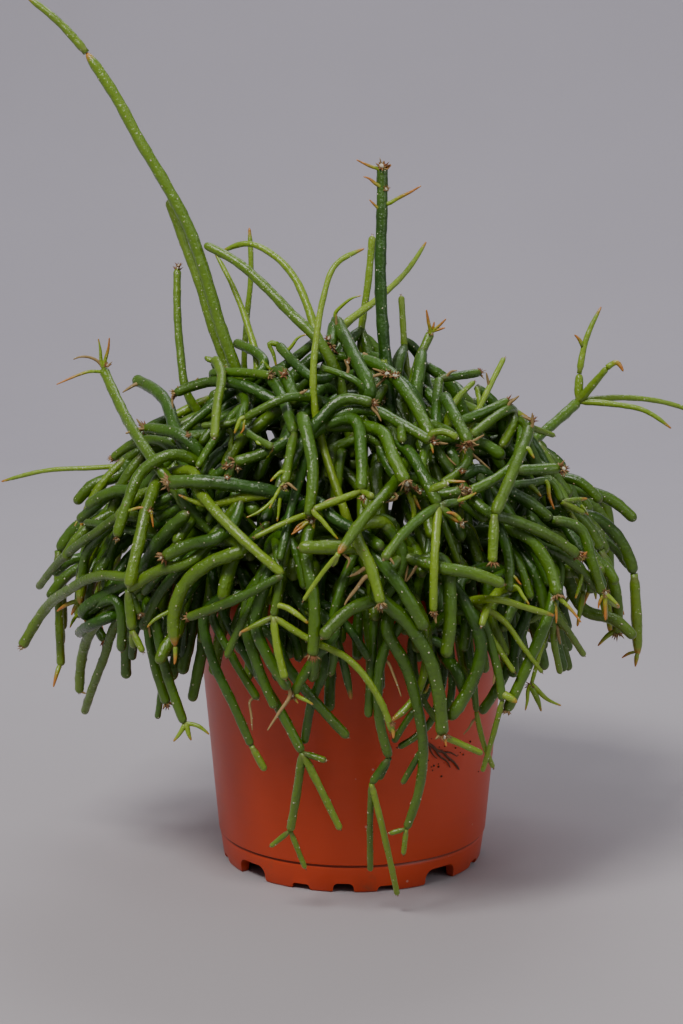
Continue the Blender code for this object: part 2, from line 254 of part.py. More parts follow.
 ("G26", "", 5, 4, "S", 22, 18, 0.7, "", ((547, 626), (541, 645), (535, 664), (530, 683))),
 ("G27", "", 6, 4, "S", 4, 0, 0.8, "w", ((503, 620), (514, 636), (527, 652), (541, 671))),
 ("G28", "", 10, 9, "S", 8, 6, 0.15, "", ((514, 600), (506, 613), (501, 630))),
 ("G29", "", 9, 8, "S", 14, 12, 0.35, "", ((492, 602), (494, 620), (499, 638), (506, 654))),
 ("G30", "", 8, 7, "S", 6, 2, 0.8, "w", ((489, 600), (485, 612), (480, 625))),
 ("G31", "", 8, 7, "S", 18, 16, 0.1, "", ((507, 486), (521, 484), (534, 480), (547, 479), (555, 486), (560, 500))),
 ("G32", "G31", 6, 5, "S", 16, 14, 0.5, "t", ((558, 490), (572, 490), (586, 497))),
 ("G33", "G31", 7, 6, "S", 16, 16, 0.7, "w", ((560, 500), (572, 505), (583, 512))),
 ("G34", "", 8, 7, "S", 20, 18, 0.15, "", ((574, 560), (580, 576), (582, 590))),
 ("G35", "G34", 6, 5, "S", 18, 18, 0.6, "t", ((582, 588), (580, 606), (576, 625))),
 ("G36", "", 10, 10, "S", 20, 16, 0.05, "", ((488, 582), (489, 600), (486, 618), (480, 640))),
 ("G37", "", 11, 10, "S", 20, 16, 0.05, "", ((458, 582), (463, 604), (466, 626), (462, 650))),
 ("G38", "", 8, 7, "S", 16, 14, 0.1, "", ((430, 512), (427, 530), (425, 548), (423, 566))),
 ("G39", "", 7, 6, "S", 12, 10, 0.2, "", ((440, 516), (447, 532), (453, 547), (458, 562))),
)


def view_basis():
    c, s = math.cos(EYE_PITCH), math.sin(EYE_PITCH)
    return np.array([1.0, 0, 0]), np.array([0, c, -s]), np.array([0, s, c])


def grid_ray(gx, gy):
    """Direction from EYE through a point of the drawing grid, with one unit of travel along Y."""
    right, ahead, up = view_basis()
    d = ahead + right * ((gx - GRID_X0) / GRID_REACH) + up * ((GRID_Y0 - gy) / GRID_REACH)
    return d / d[1]


def grid_point(gx, gy, y):
    return np.array(EYE) + grid_ray(gx, gy) * (y - EYE[1])


def crown_y(gx, gy):
    """Y of the crown's outer surface on the ray through a grid point."""
    y = -0.05
    for _ in range(12):
        p = grid_point(gx, gy, y)
        rz = CROWN_RZ_UP if p[2] > CROWN_Z else CROWN_RZ_DOWN
        q = 1.0 - (p[0] / CROWN_RX) ** 2 - ((p[2] - CROWN_Z) / rz) ** 2
        depth = CROWN_RY * math.sqrt(0.5 * (q + math.sqrt(q * q + 0.012)))
        y = 0.5 * y + 0.5 * (-depth)
    return y


def unit_to_m(y):
    return (y - EYE[1]) / (math.cos(EYE_PITCH) * GRID_REACH) * 0.985


def catmull(P, t):
    """Centripetal-like smooth curve through P, t in 0..len(P)-1."""
    n = len(P)
    i = min(int(t), n - 2)
    u = t - i
    p1, p2 = P[i], P[i + 1]
    p0 = P[i - 1] if i > 0 else 2 * p1 - p2
    p3 = P[i + 2] if i + 2 < n else 2 * p2 - p1
    return 0.5 * ((2 * p1) + (p2 - p0) * u + (2 * p0 - 5 * p1 + 4 * p2 - p3) * u * u
                  + (3 * p1 - p0 - 3 * p2 + p3) * u ** 3)


def resample(P, spans):
    """Points at equal steps of length along the smooth curve through P."""
    P = [np.array(p, float) for p in P]
    fine = [catmull(P, (len(P) - 1) * k / 120.0) for k in range(121)]
    L = [0.0]
    for a, b in zip(fine, fine[1:]):
        L.append(L[-1] + float(np.linalg.norm(b - a)))
    out = []
    for k in range(spans + 1):
        s = L[-1] * k / spans
        j = max(0, min(119, int(np.searchsorted(L, s)) - 1))
        f = (s - L[j]) / max(L[j + 1] - L[j], 1e-12)
        out.append(fine[j] * (1 - f) + fine[j + 1] * f)
    return out, L[-1]


def turn_of(P):
    P = [np.array(p, float) for p in P]
    total = 0.0
    for a, b, c in zip(P, P[1:], P[2:]):
        u, v = b - a, c - b
        cosv = float(u @ v) / max(np.linalg.norm(u) * np.linalg.norm(v), 1e-12)
        total += math.acos(max(-1.0, min(1.0, cosv)))
    return total


def to_grid(p):
    """Place of a point on the drawing grid."""
    right, ahead, up = view_basis()
    v = np.asarray(p, float) - np.array(EYE)
    a = v @ ahead
    return GRID_X0 + GRID_REACH * (v @ right) / a, GRID_Y0 - GRID_REACH * (v @ up) / a


def crown_outline(gx):
    """Upper edge of the crown on the drawing grid, half an ellipse."""
    q = 1.0 - ((gx - 335.0) / 262.0) ** 2
    return 572.0 - 206.0 * math.sqrt(max(q, 0.0))


class Plant:
    """Centrelines of every stem as chains of shared points, with the radius at each."""

    def __init__(self):
        self.pos, self.rad, self.kind, self.ray = [], [], [], []
        self.stems = []

    def add_point(self, p, r, kind, ray=None):
        self.pos.append(np.array(p, float))
        self.rad.append(float(r))
        self.kind.append(kind)            # 0 fixed, 1 slides along its sight line, 2 free
        self.ray.append(np.array(ray if ray is not None else (0, 1, 0), float))
        return len(self.pos) - 1

    def add_stem(self, name, ids, radii, shoot, parent, youth, tip, front):
        self.stems.append(dict(name=name, ids=ids, radii=radii, shoot=shoot, parent=parent,
                               youth=youth, tip=tip, front=front))
        return len(self.stems) - 1


def wall_radius(z):
    """Outside radius of the pot at height z, with the collar."""
    if z > POT_HEIGHT - POT_COLLAR_HEIGHT - 0.002:
        return POT_COLLAR_RADIUS
    f = (z - FOOT_HEIGHT) / (POT_HEIGHT - POT_COLLAR_HEIGHT - FOOT_HEIGHT)
    return POT_BASE_RADIUS + (POT_TOP_RADIUS - POT_BASE_RADIUS) * max(0.0, min(1.0, f))


# Shoots: each is one rooted cutting. Azimuth from the front (degrees, counter-clockwise seen
# from above, 0 toward -Y), radius and height of the point where its stem first forks.
def shoot_plan():
    plan = []
    for k in range(11):                                # over the rim, front half
        plan.append((-90.0 + k * 18.0, 0.0668, 0.131 + 0.005 * (k % 2), 0.046))
    for k in range(5):                                 # over the rim, rear half
        plan.append((118.0 + k * 31.0, 0.0665, 0.131 + 0.004 * (k % 2), 0.045))
    for k in range(7):                                 # shoulder of the crown, front half
        plan.append((-84.0 + k * 28.0, 0.045, 0.158 + 0.006 * (k % 2), 0.030))
    for k in range(4):                                 # shoulder of the crown, rear half
        plan.append((122.0 + k * 38.0, 0.046, 0.158 + 0.005 * (k % 2), 0.031))
    for k in range(5):                                 # middle of the crown
        plan.append((k * 72.0 - 20.0, 0.019, 0.178 + 0.005 * (k % 2), 0.013))
    return plan


def polar(az, r, z):
    a = math.radians(az)
    return np.array([r * math.sin(a), -r * math.cos(a), z])


def build_plant():
    rng = np.random.RandomState(11)
    plant = Plant()
    hubs = []
    # rooted lower stems
    for k, (az, r, z, r0) in enumerate(shoot_plan()):
        root = polar(az + rng.uniform(-5, 5), r0, SOIL_TOP + 0.0034)
        hub = polar(az, r, z)
        mid = polar(az, r0 + (r - r0) * 0.30, root[2] + (z - root[2]) * 0.62)
        rad = 0.0024
        ids = [plant.add_point(root, rad, 0), plant.add_point(mid, rad, 2), plant.add_point(hub, rad, 2)]
        plant.add_stem("trunk%02d" % k, ids, [rad, rad, rad], k, -1, 0.0, "", False)
        hubs.append(hub)
    # places where a stem may start: [point, shoot, stem, room]
    sockets = [[plant.stems[k]["ids"][2], k, k, 3] for k in range(len(hubs))]
    load = np.zeros(len(hubs))
    by_name = {}
    # stems drawn on the front elevation
    for name, parent, w0, w1, rule, d0, d1, youth, tip, line in STEMS:
        n = len(line)
        pts = []
        length = sum(math.dist(a, b) for a, b in zip(line, line[1:]))
        run = 0.0
        for i, (gx, gy) in enumerate(line):
            if i:
                run += math.dist(line[i - 1], line[i])
            f = run / length
            off = (d0 + (d1 - d0) * f) * 0.001
            y = off if rule == "Y" else crown_y(gx, gy) + off
            pts.append((gx, gy, y * 1000.0))
        spans = int(max(1, min(8, round(length / 52.0 + turn_of(line) / 1.0))))
        if length > 55:
            spans = max(spans, 2)
        fine, _ = resample(pts, spans)
        ids, radii = [], []
        for i, q in enumerate(fine):
            f = i / float(len(fine) - 1)
            y = q[2] * 0.001
            w = w0 + (w1 - w0) * f
            r = 0.5 * w * unit_to_m(y)
            radii.append(r)
            if i == 0 and parent:
                ps = plant.stems[by_name[parent]]
                best = min(ps["ids"][1:], key=lambda j: float(np.linalg.norm(
                    np.cross(plant.pos[j] - np.array(EYE), grid_ray(q[0], q[1]))
                    / np.linalg.norm(grid_ray(q[0], q[1])))))
                ids.append(best)
                continue
            ids.append(plant.add_point(grid_point(q[0], q[1], y), r, 1, grid_ray(q[0], q[1])))
        if parent:
            ps = plant.stems[by_name[parent]]
            # the joint fixes the depth at the foot of the stem: shift the rest to meet it
            dy = plant.pos[ids[0]][1] - fine[0][2] * 0.001
            for i, j in enumerate(ids[1:], 1):
                f = i / float(len(ids) - 1)
                plant.pos[j] = plant.pos[j] + plant.ray[j] * dy * (1 - 0.5 * f)
            by_name[name] = plant.add_stem(name, ids, radii, ps["shoot"], by_name[parent], youth, tip, True)
            continue
        # hidden run back to the nearest fork of a shoot
        base = plant.pos[ids[0]]
        tan = plant.pos[ids[1]] - base
        tan = tan / np.linalg.norm(tan)
        spot = np.array([plant.pos[q[0]] for q in sockets])
        room = np.array([q[3] for q in sockets])
        aim = spot - base
        dist = np.linalg.norm(aim, axis=1) + 1e-6
        cosb = (aim @ (-tan)) / dist
        inward = (np.hypot(spot[:, 0], spot[:, 1]) - math.hypot(base[0], base[1])) + 0.4 * (spot[:, 2] - base[2])
        cost = (dist * (1.35 - 0.55 * cosb) + np.where(dist < 0.010, 0.02, 0.0)
                + np.maximum(inward, 0) * 0.6 + np.where(room < 1, 10.0, 0.0)
                + 0.0011 * load[np.array([q[1] for q in sockets])])
        k = int(np.argmin(cost))
        point, shoot, owner, _ = sockets[k]
        sockets[k][3] -= 1
        load[shoot] += 1
        hub = spot[k]
        span = dist[k]
        out = base - hub
        t0 = out / span * 0.8 + np.array([0, 0, 0.35])
        count = 0 if span < 0.016 else (1 if span < 0.042 else 2)
        extra = []
        r0 = radii[0]
        rh = max(0.0017, min(r0, 0.0022))
        for c in range(1, count + 1):
            u = c / float(count + 1)
            h00, h10 = 2 * u ** 3 - 3 * u ** 2 + 1, u ** 3 - 2 * u ** 2 + u
            h01, h11 = -2 * u ** 3 + 3 * u ** 2, u ** 3 - u ** 2
            p = h00 * hub + h10 * t0 * span + h01 * base + h11 * tan * span
            p[2] = max(p[2], SOIL_TOP + 0.004)
            extra.append(plant.add_point(p, r0, 2))
        ids = [point] + extra + ids
        radii = [min(rh, 0.0021)] + [rh] * len(extra) + radii
        by_name[name] = plant.add_stem(name, ids, radii, shoot, owner, youth, tip, True)
        plant.stems[-1]["hidden"] = 1 + len(extra)
        for j in extra:
            sockets.append([j, shoot, by_name[name], 2])
    # back and flanks: arching branches that fork and droop
    plan = shoot_plan()
    serial = 0
    for k, (az, r, z, r0) in enumerate(plan):
        back = (1 - math.cos(math.radians(az))) * 0.5          # 0 front, 1 back
        low, mid = k < 16, 16 <= k < 27
        count = int(round((2.7 if low else 2.7 if mid else 2.2) * max(0.0, back * 1.3 - 0.10)))
        hub_id = plant.stems[k]["ids"][2]
        for b in range(count):
            a = az + (b - (count - 1) / 2.0) * 30.0 + rng.uniform(-8, 8)
            a = (a + 180.0) % 360.0 - 180.0
            if abs(a) < 92.0:
                a = math.copysign(92.0 + 6.0 * b, a)
            rise = rng.uniform(-8, 26) if low else rng.uniform(2, 30) if mid else rng.uniform(14, 40)
            length = rng.uniform(0.034, 0.052)
            if low and b % 2 == 1:
                rise -= 30
            radius = rng.uniform(0.0019, 0.0023)
            grow(plant, rng, k, k, hub_id, a, rise, length, radius, 0, "P%03d" % serial)
            serial += 1
    # widest reach to the back equals that to the front
    limit = np.array(plant.pos)
    back_y = limit[:, 1] > 0
    top = float(np.max(limit[:, 1] + np.array(plant.rad)))
    scale = PLANT_HALF_DEPTH / top
    for i, p in enumerate(plant.pos):
        if p[1] > 0 and plant.kind[i] == 2:
            p[1] *= 1 + (scale - 1) * min(1.0, p[1] / 0.05)
    relax(plant)
    return plant


def grow(plant, rng, shoot, parent, start, az, rise, length, radius, level, name):
    """One free stem and the stems that fork from its tip."""
    p = plant.pos[start].copy()
    ids, radii = [start], [radius * 0.9]
    spans = 3 if length > 0.042 else 2 if length > 0.024 else 1
    a, e = math.radians(az), math.radians(rise)
    for i in range(spans):
        for _ in range(6):                             # bends over below the crown's outline
            d = np.array([math.sin(a) * math.cos(e), -math.cos(a) * math.cos(e), math.sin(e)])
            q = p + d * length / spans
            gx, gy = to_grid(q)
            if gy > crown_outline(gx) or e < math.radians(-60):
                break
            e -= math.radians(9)
        p = q
        reach = math.hypot(p[0] / 0.104, p[1] / 0.106)
        if reach > 1:
            p[0] /= reach
            p[1] /= reach
        ids.append(plant.add_point(p, radius, 2))
        radii.append(radius * (1.0 if i < spans - 1 else 0.92))
        e -= math.radians(rng.uniform(16, 30) if level == 0 else rng.uniform(8, 22))
        e = max(e, math.radians(-86))
        a += math.radians(rng.uniform(-8, 8))
    s = plant.add_stem(name, ids, radii, shoot, parent, 0.1 + 0.18 * level + 0.1 * rng.rand(), "", False)
    plant.stems[-1]["hidden"] = 0
    if level < 2:
        forks = rng.choice([1, 2, 2]) if level == 0 else rng.choice([0, 0, 0, 1])
        for f in range(forks):
            spread = (f - (forks - 1) / 2.0) * 44.0 + rng.uniform(-12, 12)
            grow(plant, rng, shoot, s, ids[-1], math.degrees(a) + spread,
                 math.degrees(e) + rng.uniform(-12, 20), rng.uniform(0.020, 0.034),
                 radius * rng.uniform(0.82, 0.96), level + 1, name + "abc"[f])


def closest(p1, q1, p2, q2):
    """Closest points of many segment pairs: fractions along each."""
    d1, d2, r = q1 - p1, q2 - p2, p1 - p2
    a = np.einsum("ij,ij->i", d1, d1) + 1e-18
    e = np.einsum("ij,ij->i", d2, d2) + 1e-18
    f = np.einsum("ij,ij->i", d2, r)
    c = np.einsum("ij,ij->i", d1, r)
    b = np.einsum("ij,ij->i", d1, d2)
    den = a * e - b * b
    s = np.where(den > 1e-16, np.clip((b * f - c * e) / np.where(den > 1e-16, den, 1), 0, 1), 0.5)
    t = (b * s + f) / e
    s = np.where(t < 0, np.clip(-c / a, 0, 1), np.where(t > 1, np.clip((b - c) / a, 0, 1), s))
    t = np.clip(t, 0, 1)
    return s, t


def relax(plant, rounds=520):
    """Moves stems apart until none of different shoots touch. Stems of the front elevation
    slide along their sight lines only, so that the elevation keeps its drawing."""
    P = np.array(plant.pos)
    P0 = P.copy()
    kind = np.array(plant.kind)
    ray = np.array(plant.ray)
    ray = ray / np.linalg.norm(ray, axis=1)[:, None]
    seg, rads, owner, shoot = [], [], [], []
    order = []
    for si, s in enumerate(plant.stems):
        for i in range(len(s["ids"]) - 1):
            seg.append((s["ids"][i], s["ids"][i + 1]))
            rads.append((s["radii"][i], s["radii"][i + 1]))
            owner.append(si)
            shoot.append(s["shoot"])
            order.append(i)
    seg, rads = np.array(seg), np.array(rads)
    owner, shoot, order = np.array(owner), np.array(shoot), np.array(order)
    par = np.array([s["parent"] for s in plant.stems])
    n = len(P)
    left = np.full(n, -1)
    right = np.full(n, -1)
    for s in plant.stems:
        for i, j in enumerate(s["ids"]):
            if i > 0 and left[j] < 0:
                left[j] = s["ids"][i - 1]
            if i < len(s["ids"]) - 1 and i > 0 and right[j] < 0:
                right[j] = s["ids"][i + 1]
    inner = (left >= 0) & (right >= 0)
    ends = (left >= 0) & (right < 0)
    pairs = None
    eye = np.array(EYE)
    for it in range(rounds):
        if it % 12 == 0:
            A, B = P[seg[:, 0]], P[seg[:, 1]]
            mid = (A + B) / 2
            half = np.linalg.norm(B - A, axis=1) / 2 + rads.max(1)
            m32 = mid.astype(np.float32)
            sq = (m32 ** 2).sum(1)
            d2 = sq[:, None] + sq[None, :] - 2 * m32 @ m32.T
            reach = (half[:, None] + half[None, :] + 0.005).astype(np.float32)
            hit = np.triu(d2 < reach ** 2, 1)
            I, J = np.nonzero(hit)
            same = owner[I] == owner[J]
            share = ((seg[I, 0] == seg[J, 0]) | (seg[I, 0] == seg[J, 1])
                     | (seg[I, 1] == seg[J, 0]) | (seg[I, 1] == seg[J, 1]))
            kin = (shoot[I] == shoot[J]) & (((par[owner[I]] == owner[J]) & (order[I] < 1))
                                            | ((par[owner[J]] == owner[I]) & (order[J] < 1))
                                            | ((par[owner[I]] == par[owner[J]]) & (order[I] < 1) & (order[J] < 1)))
            ok = ~(same | share | kin)
            pairs = (I[ok], J[ok])
        I, J = pairs
        a0, a1, b0, b1 = seg[I, 0], seg[I, 1], seg[J, 0], seg[J, 1]
        s, t = closest(P[a0], P[a1], P[b0], P[b1])
        pa = P[a0] * (1 - s)[:, None] + P[a1] * s[:, None]
        pb = P[b0] * (1 - t)[:, None] + P[b1] * t[:, None]
        ra = rads[I, 0] * (1 - s) + rads[I, 1] * s
        rb = rads[J, 0] * (1 - t) + rads[J, 1] * t
        kin = shoot[I] == shoot[J]
        need = ra + rb + np.where(kin, 0.0001, STEM_MARGIN)
        d = pb - pa
        dist = np.linalg.norm(d, axis=1)
        bad = dist < need
        if it % 40 == 39 or it == rounds - 1:
            worst = float((need - dist)[bad & ~kin].max()) if (bad & ~kin).any() else 0.0
            plant.report = (it, int((bad & ~kin).sum()), worst * 1000)
            if worst < 0.00008 and it > 200:
                break
        if not bad.any():
            continue
        I, J, s, t, d, dist, need = I[bad], J[bad], s[bad], t[bad], d[bad], dist[bad], need[bad]
        a0, a1, b0, b1 = seg[I, 0], seg[I, 1], seg[J, 0], seg[J, 1]
        ka = np.where(s < 0.5, kind[a0], kind[a1])
        kb = np.where(t < 0.5, kind[b0], kind[b1])
        u = (pa[bad] + pb[bad]) / 2 - eye
        u = u / np.linalg.norm(u, axis=1)[:, None]
        du = np.einsum("ij,ij->i", d, u)
        perp2 = np.maximum(dist ** 2 - du ** 2, 0)
        sgn = np.where(np.abs(du) > 1e-5, np.sign(du), np.where(I < J, 1.0, -1.0))
        want = np.sqrt(np.maximum(need ** 2 - perp2, 0))
        both = (ka == 1) & (kb == 1)
        push_ray = np.clip(want - np.abs(du), 0, 0.0012)
        unit = d / np.maximum(dist, 1e-7)[:, None]
        # a hidden stem gives way to a drawn one, mostly to the rear
        toward = np.where((ka == 2) & (kb == 1), -1.0, np.where((ka == 1) & (kb == 2), 1.0, 0.0))
        mix = unit + 0.55 * u * toward[:, None]
        mix = mix / np.maximum(np.linalg.norm(mix, axis=1), 1e-7)[:, None]
        push_free = np.clip(need - dist, 0, 0.0012)
        vec = np.where(both[:, None], u * (sgn * push_ray)[:, None], mix * push_free[:, None])
        mob = np.array([0.0, 1.0, 2.5])
        wa, wb = mob[ka], mob[kb]
        tot = np.maximum(wa + wb, 1e-9)
        fa, fb = wa / tot, wb / tot
        step = 0.62
        move = np.zeros_like(P)
        weight = np.zeros(n)
        for idx, w, v in ((a0, 1 - s, -vec * fa[:, None]), (a1, s, -vec * fa[:, None]),
                          (b0, 1 - t, vec * fb[:, None]), (b1, t, vec * fb[:, None])):
            norm = np.maximum((w ** 2 + (1 - w) ** 2), 0.5)
            np.add.at(move, idx, v * (w / norm)[:, None])
            np.add.at(weight, idx, w)
        move = move / np.maximum(weight, 1.0)[:, None] ** 0.5 * step
        # drawn points slide along their sight line
        along = np.einsum("ij,ij->i", move, ray)
        move = np.where((kind == 1)[:, None], ray * along[:, None], move)
        move[kind == 0] = 0
        P = P + move
        # keep the displacement smooth along each stem
        if it < rounds * 0.7:
            lam = 0.10
            D = P - P0
            S = D.copy()
            S[inner] += lam * (D[left[inner]] + D[right[inner]] - 2 * D[inner])
            S[ends] += lam * 0.5 * (D[left[ends]] - D[ends])
            along = np.einsum("ij,ij->i", S, ray)
            S = np.where((kind == 1)[:, None], ray * along[:, None], S)
            S[kind == 0] = 0
            P = P0 + S
        P = clear_pot(P, kind, ray, seg, rads)
    plant.pos = [p for p in P]


def clear_pot(P, kind, ray, seg, rads):
    """Keeps every stem clear of the pot's wall and collar and of the soil."""
    for f in (0.0, 0.5, 1.0):
        Q = P[seg[:, 0]] * (1 - f) + P[seg[:, 1]] * f
        r = rads.max(1) + 0.0007
        rho = np.hypot(Q[:, 0], Q[:, 1])
        z = Q[:, 2]
        inside = rho < POT_TOP_RADIUS - 0.004
        rim = POT_HEIGHT
        # soil and rim seen as a surface under the stems that are above the pot
        floor = np.where(inside, SOIL_TOP + 0.0015, rim)
        over = (rho < POT_COLLAR_RADIUS + r * 0.5) & (z > rim - 0.012) & (z < floor + r)
        lift = np.where(over, floor + r - z, 0.0)
        body = np.clip((z - FOOT_HEIGHT) / (POT_HEIGHT - POT_COLLAR_HEIGHT - FOOT_HEIGHT), 0, 1)
        wall = POT_BASE_RADIUS + (POT_TOP_RADIUS - POT_BASE_RADIUS) * body
        wall = np.where(z > POT_HEIGHT - POT_COLLAR_HEIGHT - 0.004, POT_COLLAR_RADIUS, wall)
        beside = (~over) & (z < rim + r * 0.7) & (rho < wall + r)
        out = np.where(beside, wall + r - rho, 0.0)
        dirxy = np.stack([Q[:, 0], Q[:, 1], np.zeros(len(Q))], 1) / np.maximum(rho, 1e-6)[:, None]
        for end, w in ((0, 1 - f), (1, f)):
            if w == 0:
                continue
            idx = seg[:, end]
            k = kind[idx]
            v = dirxy * out[:, None]
            v[:, 2] += lift
            v = np.clip(v, -0.002, 0.002)
            # drawn points: slide toward the viewer until clear
            facing = np.abs(dirxy[:, 1])
            slide = -(np.where(beside, out / np.maximum(facing, 0.35), 0.0))
            vr = ray[idx] * (np.clip(slide, -0.002, 0.002))[:, None]
            v = np.where((k == 1)[:, None], vr, v)
            v[k == 0] = 0
            mag = np.linalg.norm(v, axis=1)
            pick = mag > 0
            np.add.at(P, idx[pick], v[pick] * 0.5)
    return P


# ---------------------------------------------------------------- solids
def make_material(name, color, roughness):
    m = bpy.data.materials.new(name)
    m.use_nodes = True
    b = m.node_tree.nodes["Principled BSDF"]
    b.inputs["Base Color"].default_value = (*color, 1.0)
    b.inputs["Roughness"].default_value = roughness
    m.diffuse_color = (*color, 1.0)
    return m


def add_object(name, verts, faces, material=None):
    me = bpy.data.meshes.new(name)
    me.from_pydata([tuple(map(float, v)) for v in verts], [], faces)
    me.validate()
    bm = bmesh.new()
    bm.from_mesh(me)
    bmesh.ops.recalc_face_normals(bm, faces=bm.faces)
    bm.to_mesh(me)
    bm.free()
    if material is not None:
        me.materials.append(material)
    ob = bpy.data.objects.new(name, me)
    bpy.context.scene.collection.objects.link(ob)
    return ob


def stem_solid(plant, s, phase):
    """Tube along one stem: rings across the centreline, a flat foot and a blunt domed tip."""
    pts = [np.array(plant.pos[j]) for j in s["ids"]]
    rad = list(s["radii"])
    sides = 5 if s["front"] and max(rad) > 0.00222 else 4
    first = pts[1] - pts[0]
    if s["name"].startswith("trunk"):                   # stands square on the soil
        pts[0][2] = SOIL_TOP + 0.0008 + GAP
        first = np.array((0.0, 0.0, 1.0))
    else:
        rad[0] *= 0.86
    last = pts[-1] - pts[-2]
    last = last / np.linalg.norm(last)
    verts, faces = [], []
    normal = np.cross(first, (0.31, 0.52, 0.79))
    normal = normal / np.linalg.norm(normal)
    for i, p in enumerate(pts):
        if i == 0:
            t = first
        elif i == len(pts) - 1:
            t = last
        else:
            u, v = pts[i] - pts[i - 1], pts[i + 1] - pts[i]
            t = u / np.linalg.norm(u) + v / np.linalg.norm(v)
        t = t / np.linalg.norm(t)
        normal = normal - t * float(normal @ t)
        normal = normal / np.linalg.norm(normal)
        side = np.cross(t, normal)
        q = p if i < len(pts) - 1 else p - last * rad[i] * 0.35
        for k in range(sides):
            a = 2 * math.pi * k / sides + phase
            verts.append(q + (normal * math.cos(a) + side * math.sin(a)) * rad[i])
    for i in range(len(pts) - 1):
        for k in range(sides):
            a, b = i * sides + k, i * sides + (k + 1) % sides
            faces.append((a, b, b + sides, a + sides))
    faces.append(tuple(range(sides)))
    verts.append(pts[-1] + last * rad[-1] * 0.55)
    tip = len(verts) - 1
    base = (len(pts) - 1) * sides
    for k in range(sides):
        faces.append((base + k, base + (k + 1) % sides, tip))
    return verts, faces


def one_closed_body(me):
    """How many edges join more than two faces; -1 where the mesh is open or in pieces."""
    me.calc_loop_triangles()
    t = np.array([f.vertices for f in me.loop_triangles])
    if not len(t):
        return -1
    ends = np.concatenate([t[:, [0, 1]], t[:, [1, 2]], t[:, [2, 0]]])
    way = set(map(tuple, ends.tolist()))
    if any((b, a) not in way for a, b in way):
        return -1
    near = {}
    for a, b in way:
        near.setdefault(a, []).append(b)
    seen, stack = set(), [next(iter(near))]
    while stack:
        v = stack.pop()
        if v not in seen:
            seen.add(v)
            stack.extend(near[v])
    return len(ends) - len(way) if len(seen) == len(near) else -1


def fuse(name, solids, material):
    """All stems of a shoot as one closed body."""
    parts = [add_object("%s_%02d" % (name, i), v, f) for i, (v, f) in enumerate(solids)]
    body = parts[0]
    rest = bpy.data.collections.new(name + "_rest")
    bpy.context.scene.collection.children.link(rest)
    for o in parts[1:]:
        rest.objects.link(o)
    mod = body.modifiers.new("join", "BOOLEAN")
    mod.operation = "UNION"
    mod.solver = "EXACT"
    mod.operand_type = "COLLECTION"
    mod.collection = rest
    deps = bpy.context.evaluated_depsgraph_get()
    me = bpy.data.meshes.new_from_object(body.evaluated_get(deps))
    for o in parts:
        old = o.data
        bpy.data.objects.remove(o, do_unlink=True)
        bpy.data.meshes.remove(old)
    bpy.data.collections.remove(rest)
    bm = bmesh.new()
    bm.from_mesh(me)
    bmesh.ops.triangulate(bm, faces=bm.faces)
    bmesh.ops.recalc_face_normals(bm, faces=bm.faces)
    bm.to_mesh(me)
    bm.free()
    me.name = name
    me.materials.clear()
    me.materials.append(material)
    for p in me.polygons:
        p.use_smooth = True
    return me


def lathe(profile, count):
    """Closed solid of revolution; points on the axis become single vertices."""
    verts, rows, faces = [], [], []
    for r, z in profile:
        if r < 1e-9:
            rows.append([len(verts)] * count)
            verts.append((0, 0, z))
        else:
            rows.append(list(range(len(verts), len(verts) + count)))
            for k in range(count):
                a = 2 * math.pi * k / count
                verts.append((r * math.cos(a), r * math.sin(a), z))
    n = len(rows)
    for i in range(n):
        a, b = rows[i], rows[(i + 1) % n]
        if a[0] == a[1] and b[0] == b[1]:
            continue
        for k in range(count):
            m = (k + 1) % count
            f = [a[k], a[m], b[m], b[k]]
            f = [v for j, v in enumerate(f) if v not in f[:j]]
            faces.append(tuple(f))
    return verts, faces


def prism(points, y0, y1, turn):
    """Upright outline in X-Z swept along the radial direction, turned about the axis."""
    n = len(points)
    verts, faces = [], []
    c, s = math.cos(turn), math.sin(turn)
    for y in (y0, y1):
        for x, z in points:
            verts.append((x * c - y * s, x * s + y * c, z))
    faces.append(tuple(range(n)))
    faces.append(tuple(range(2 * n - 1, n - 1, -1)))
    for k in range(n):
        m = (k + 1) % n
        faces.append((k, k + n, m + n, m))
    return verts, faces


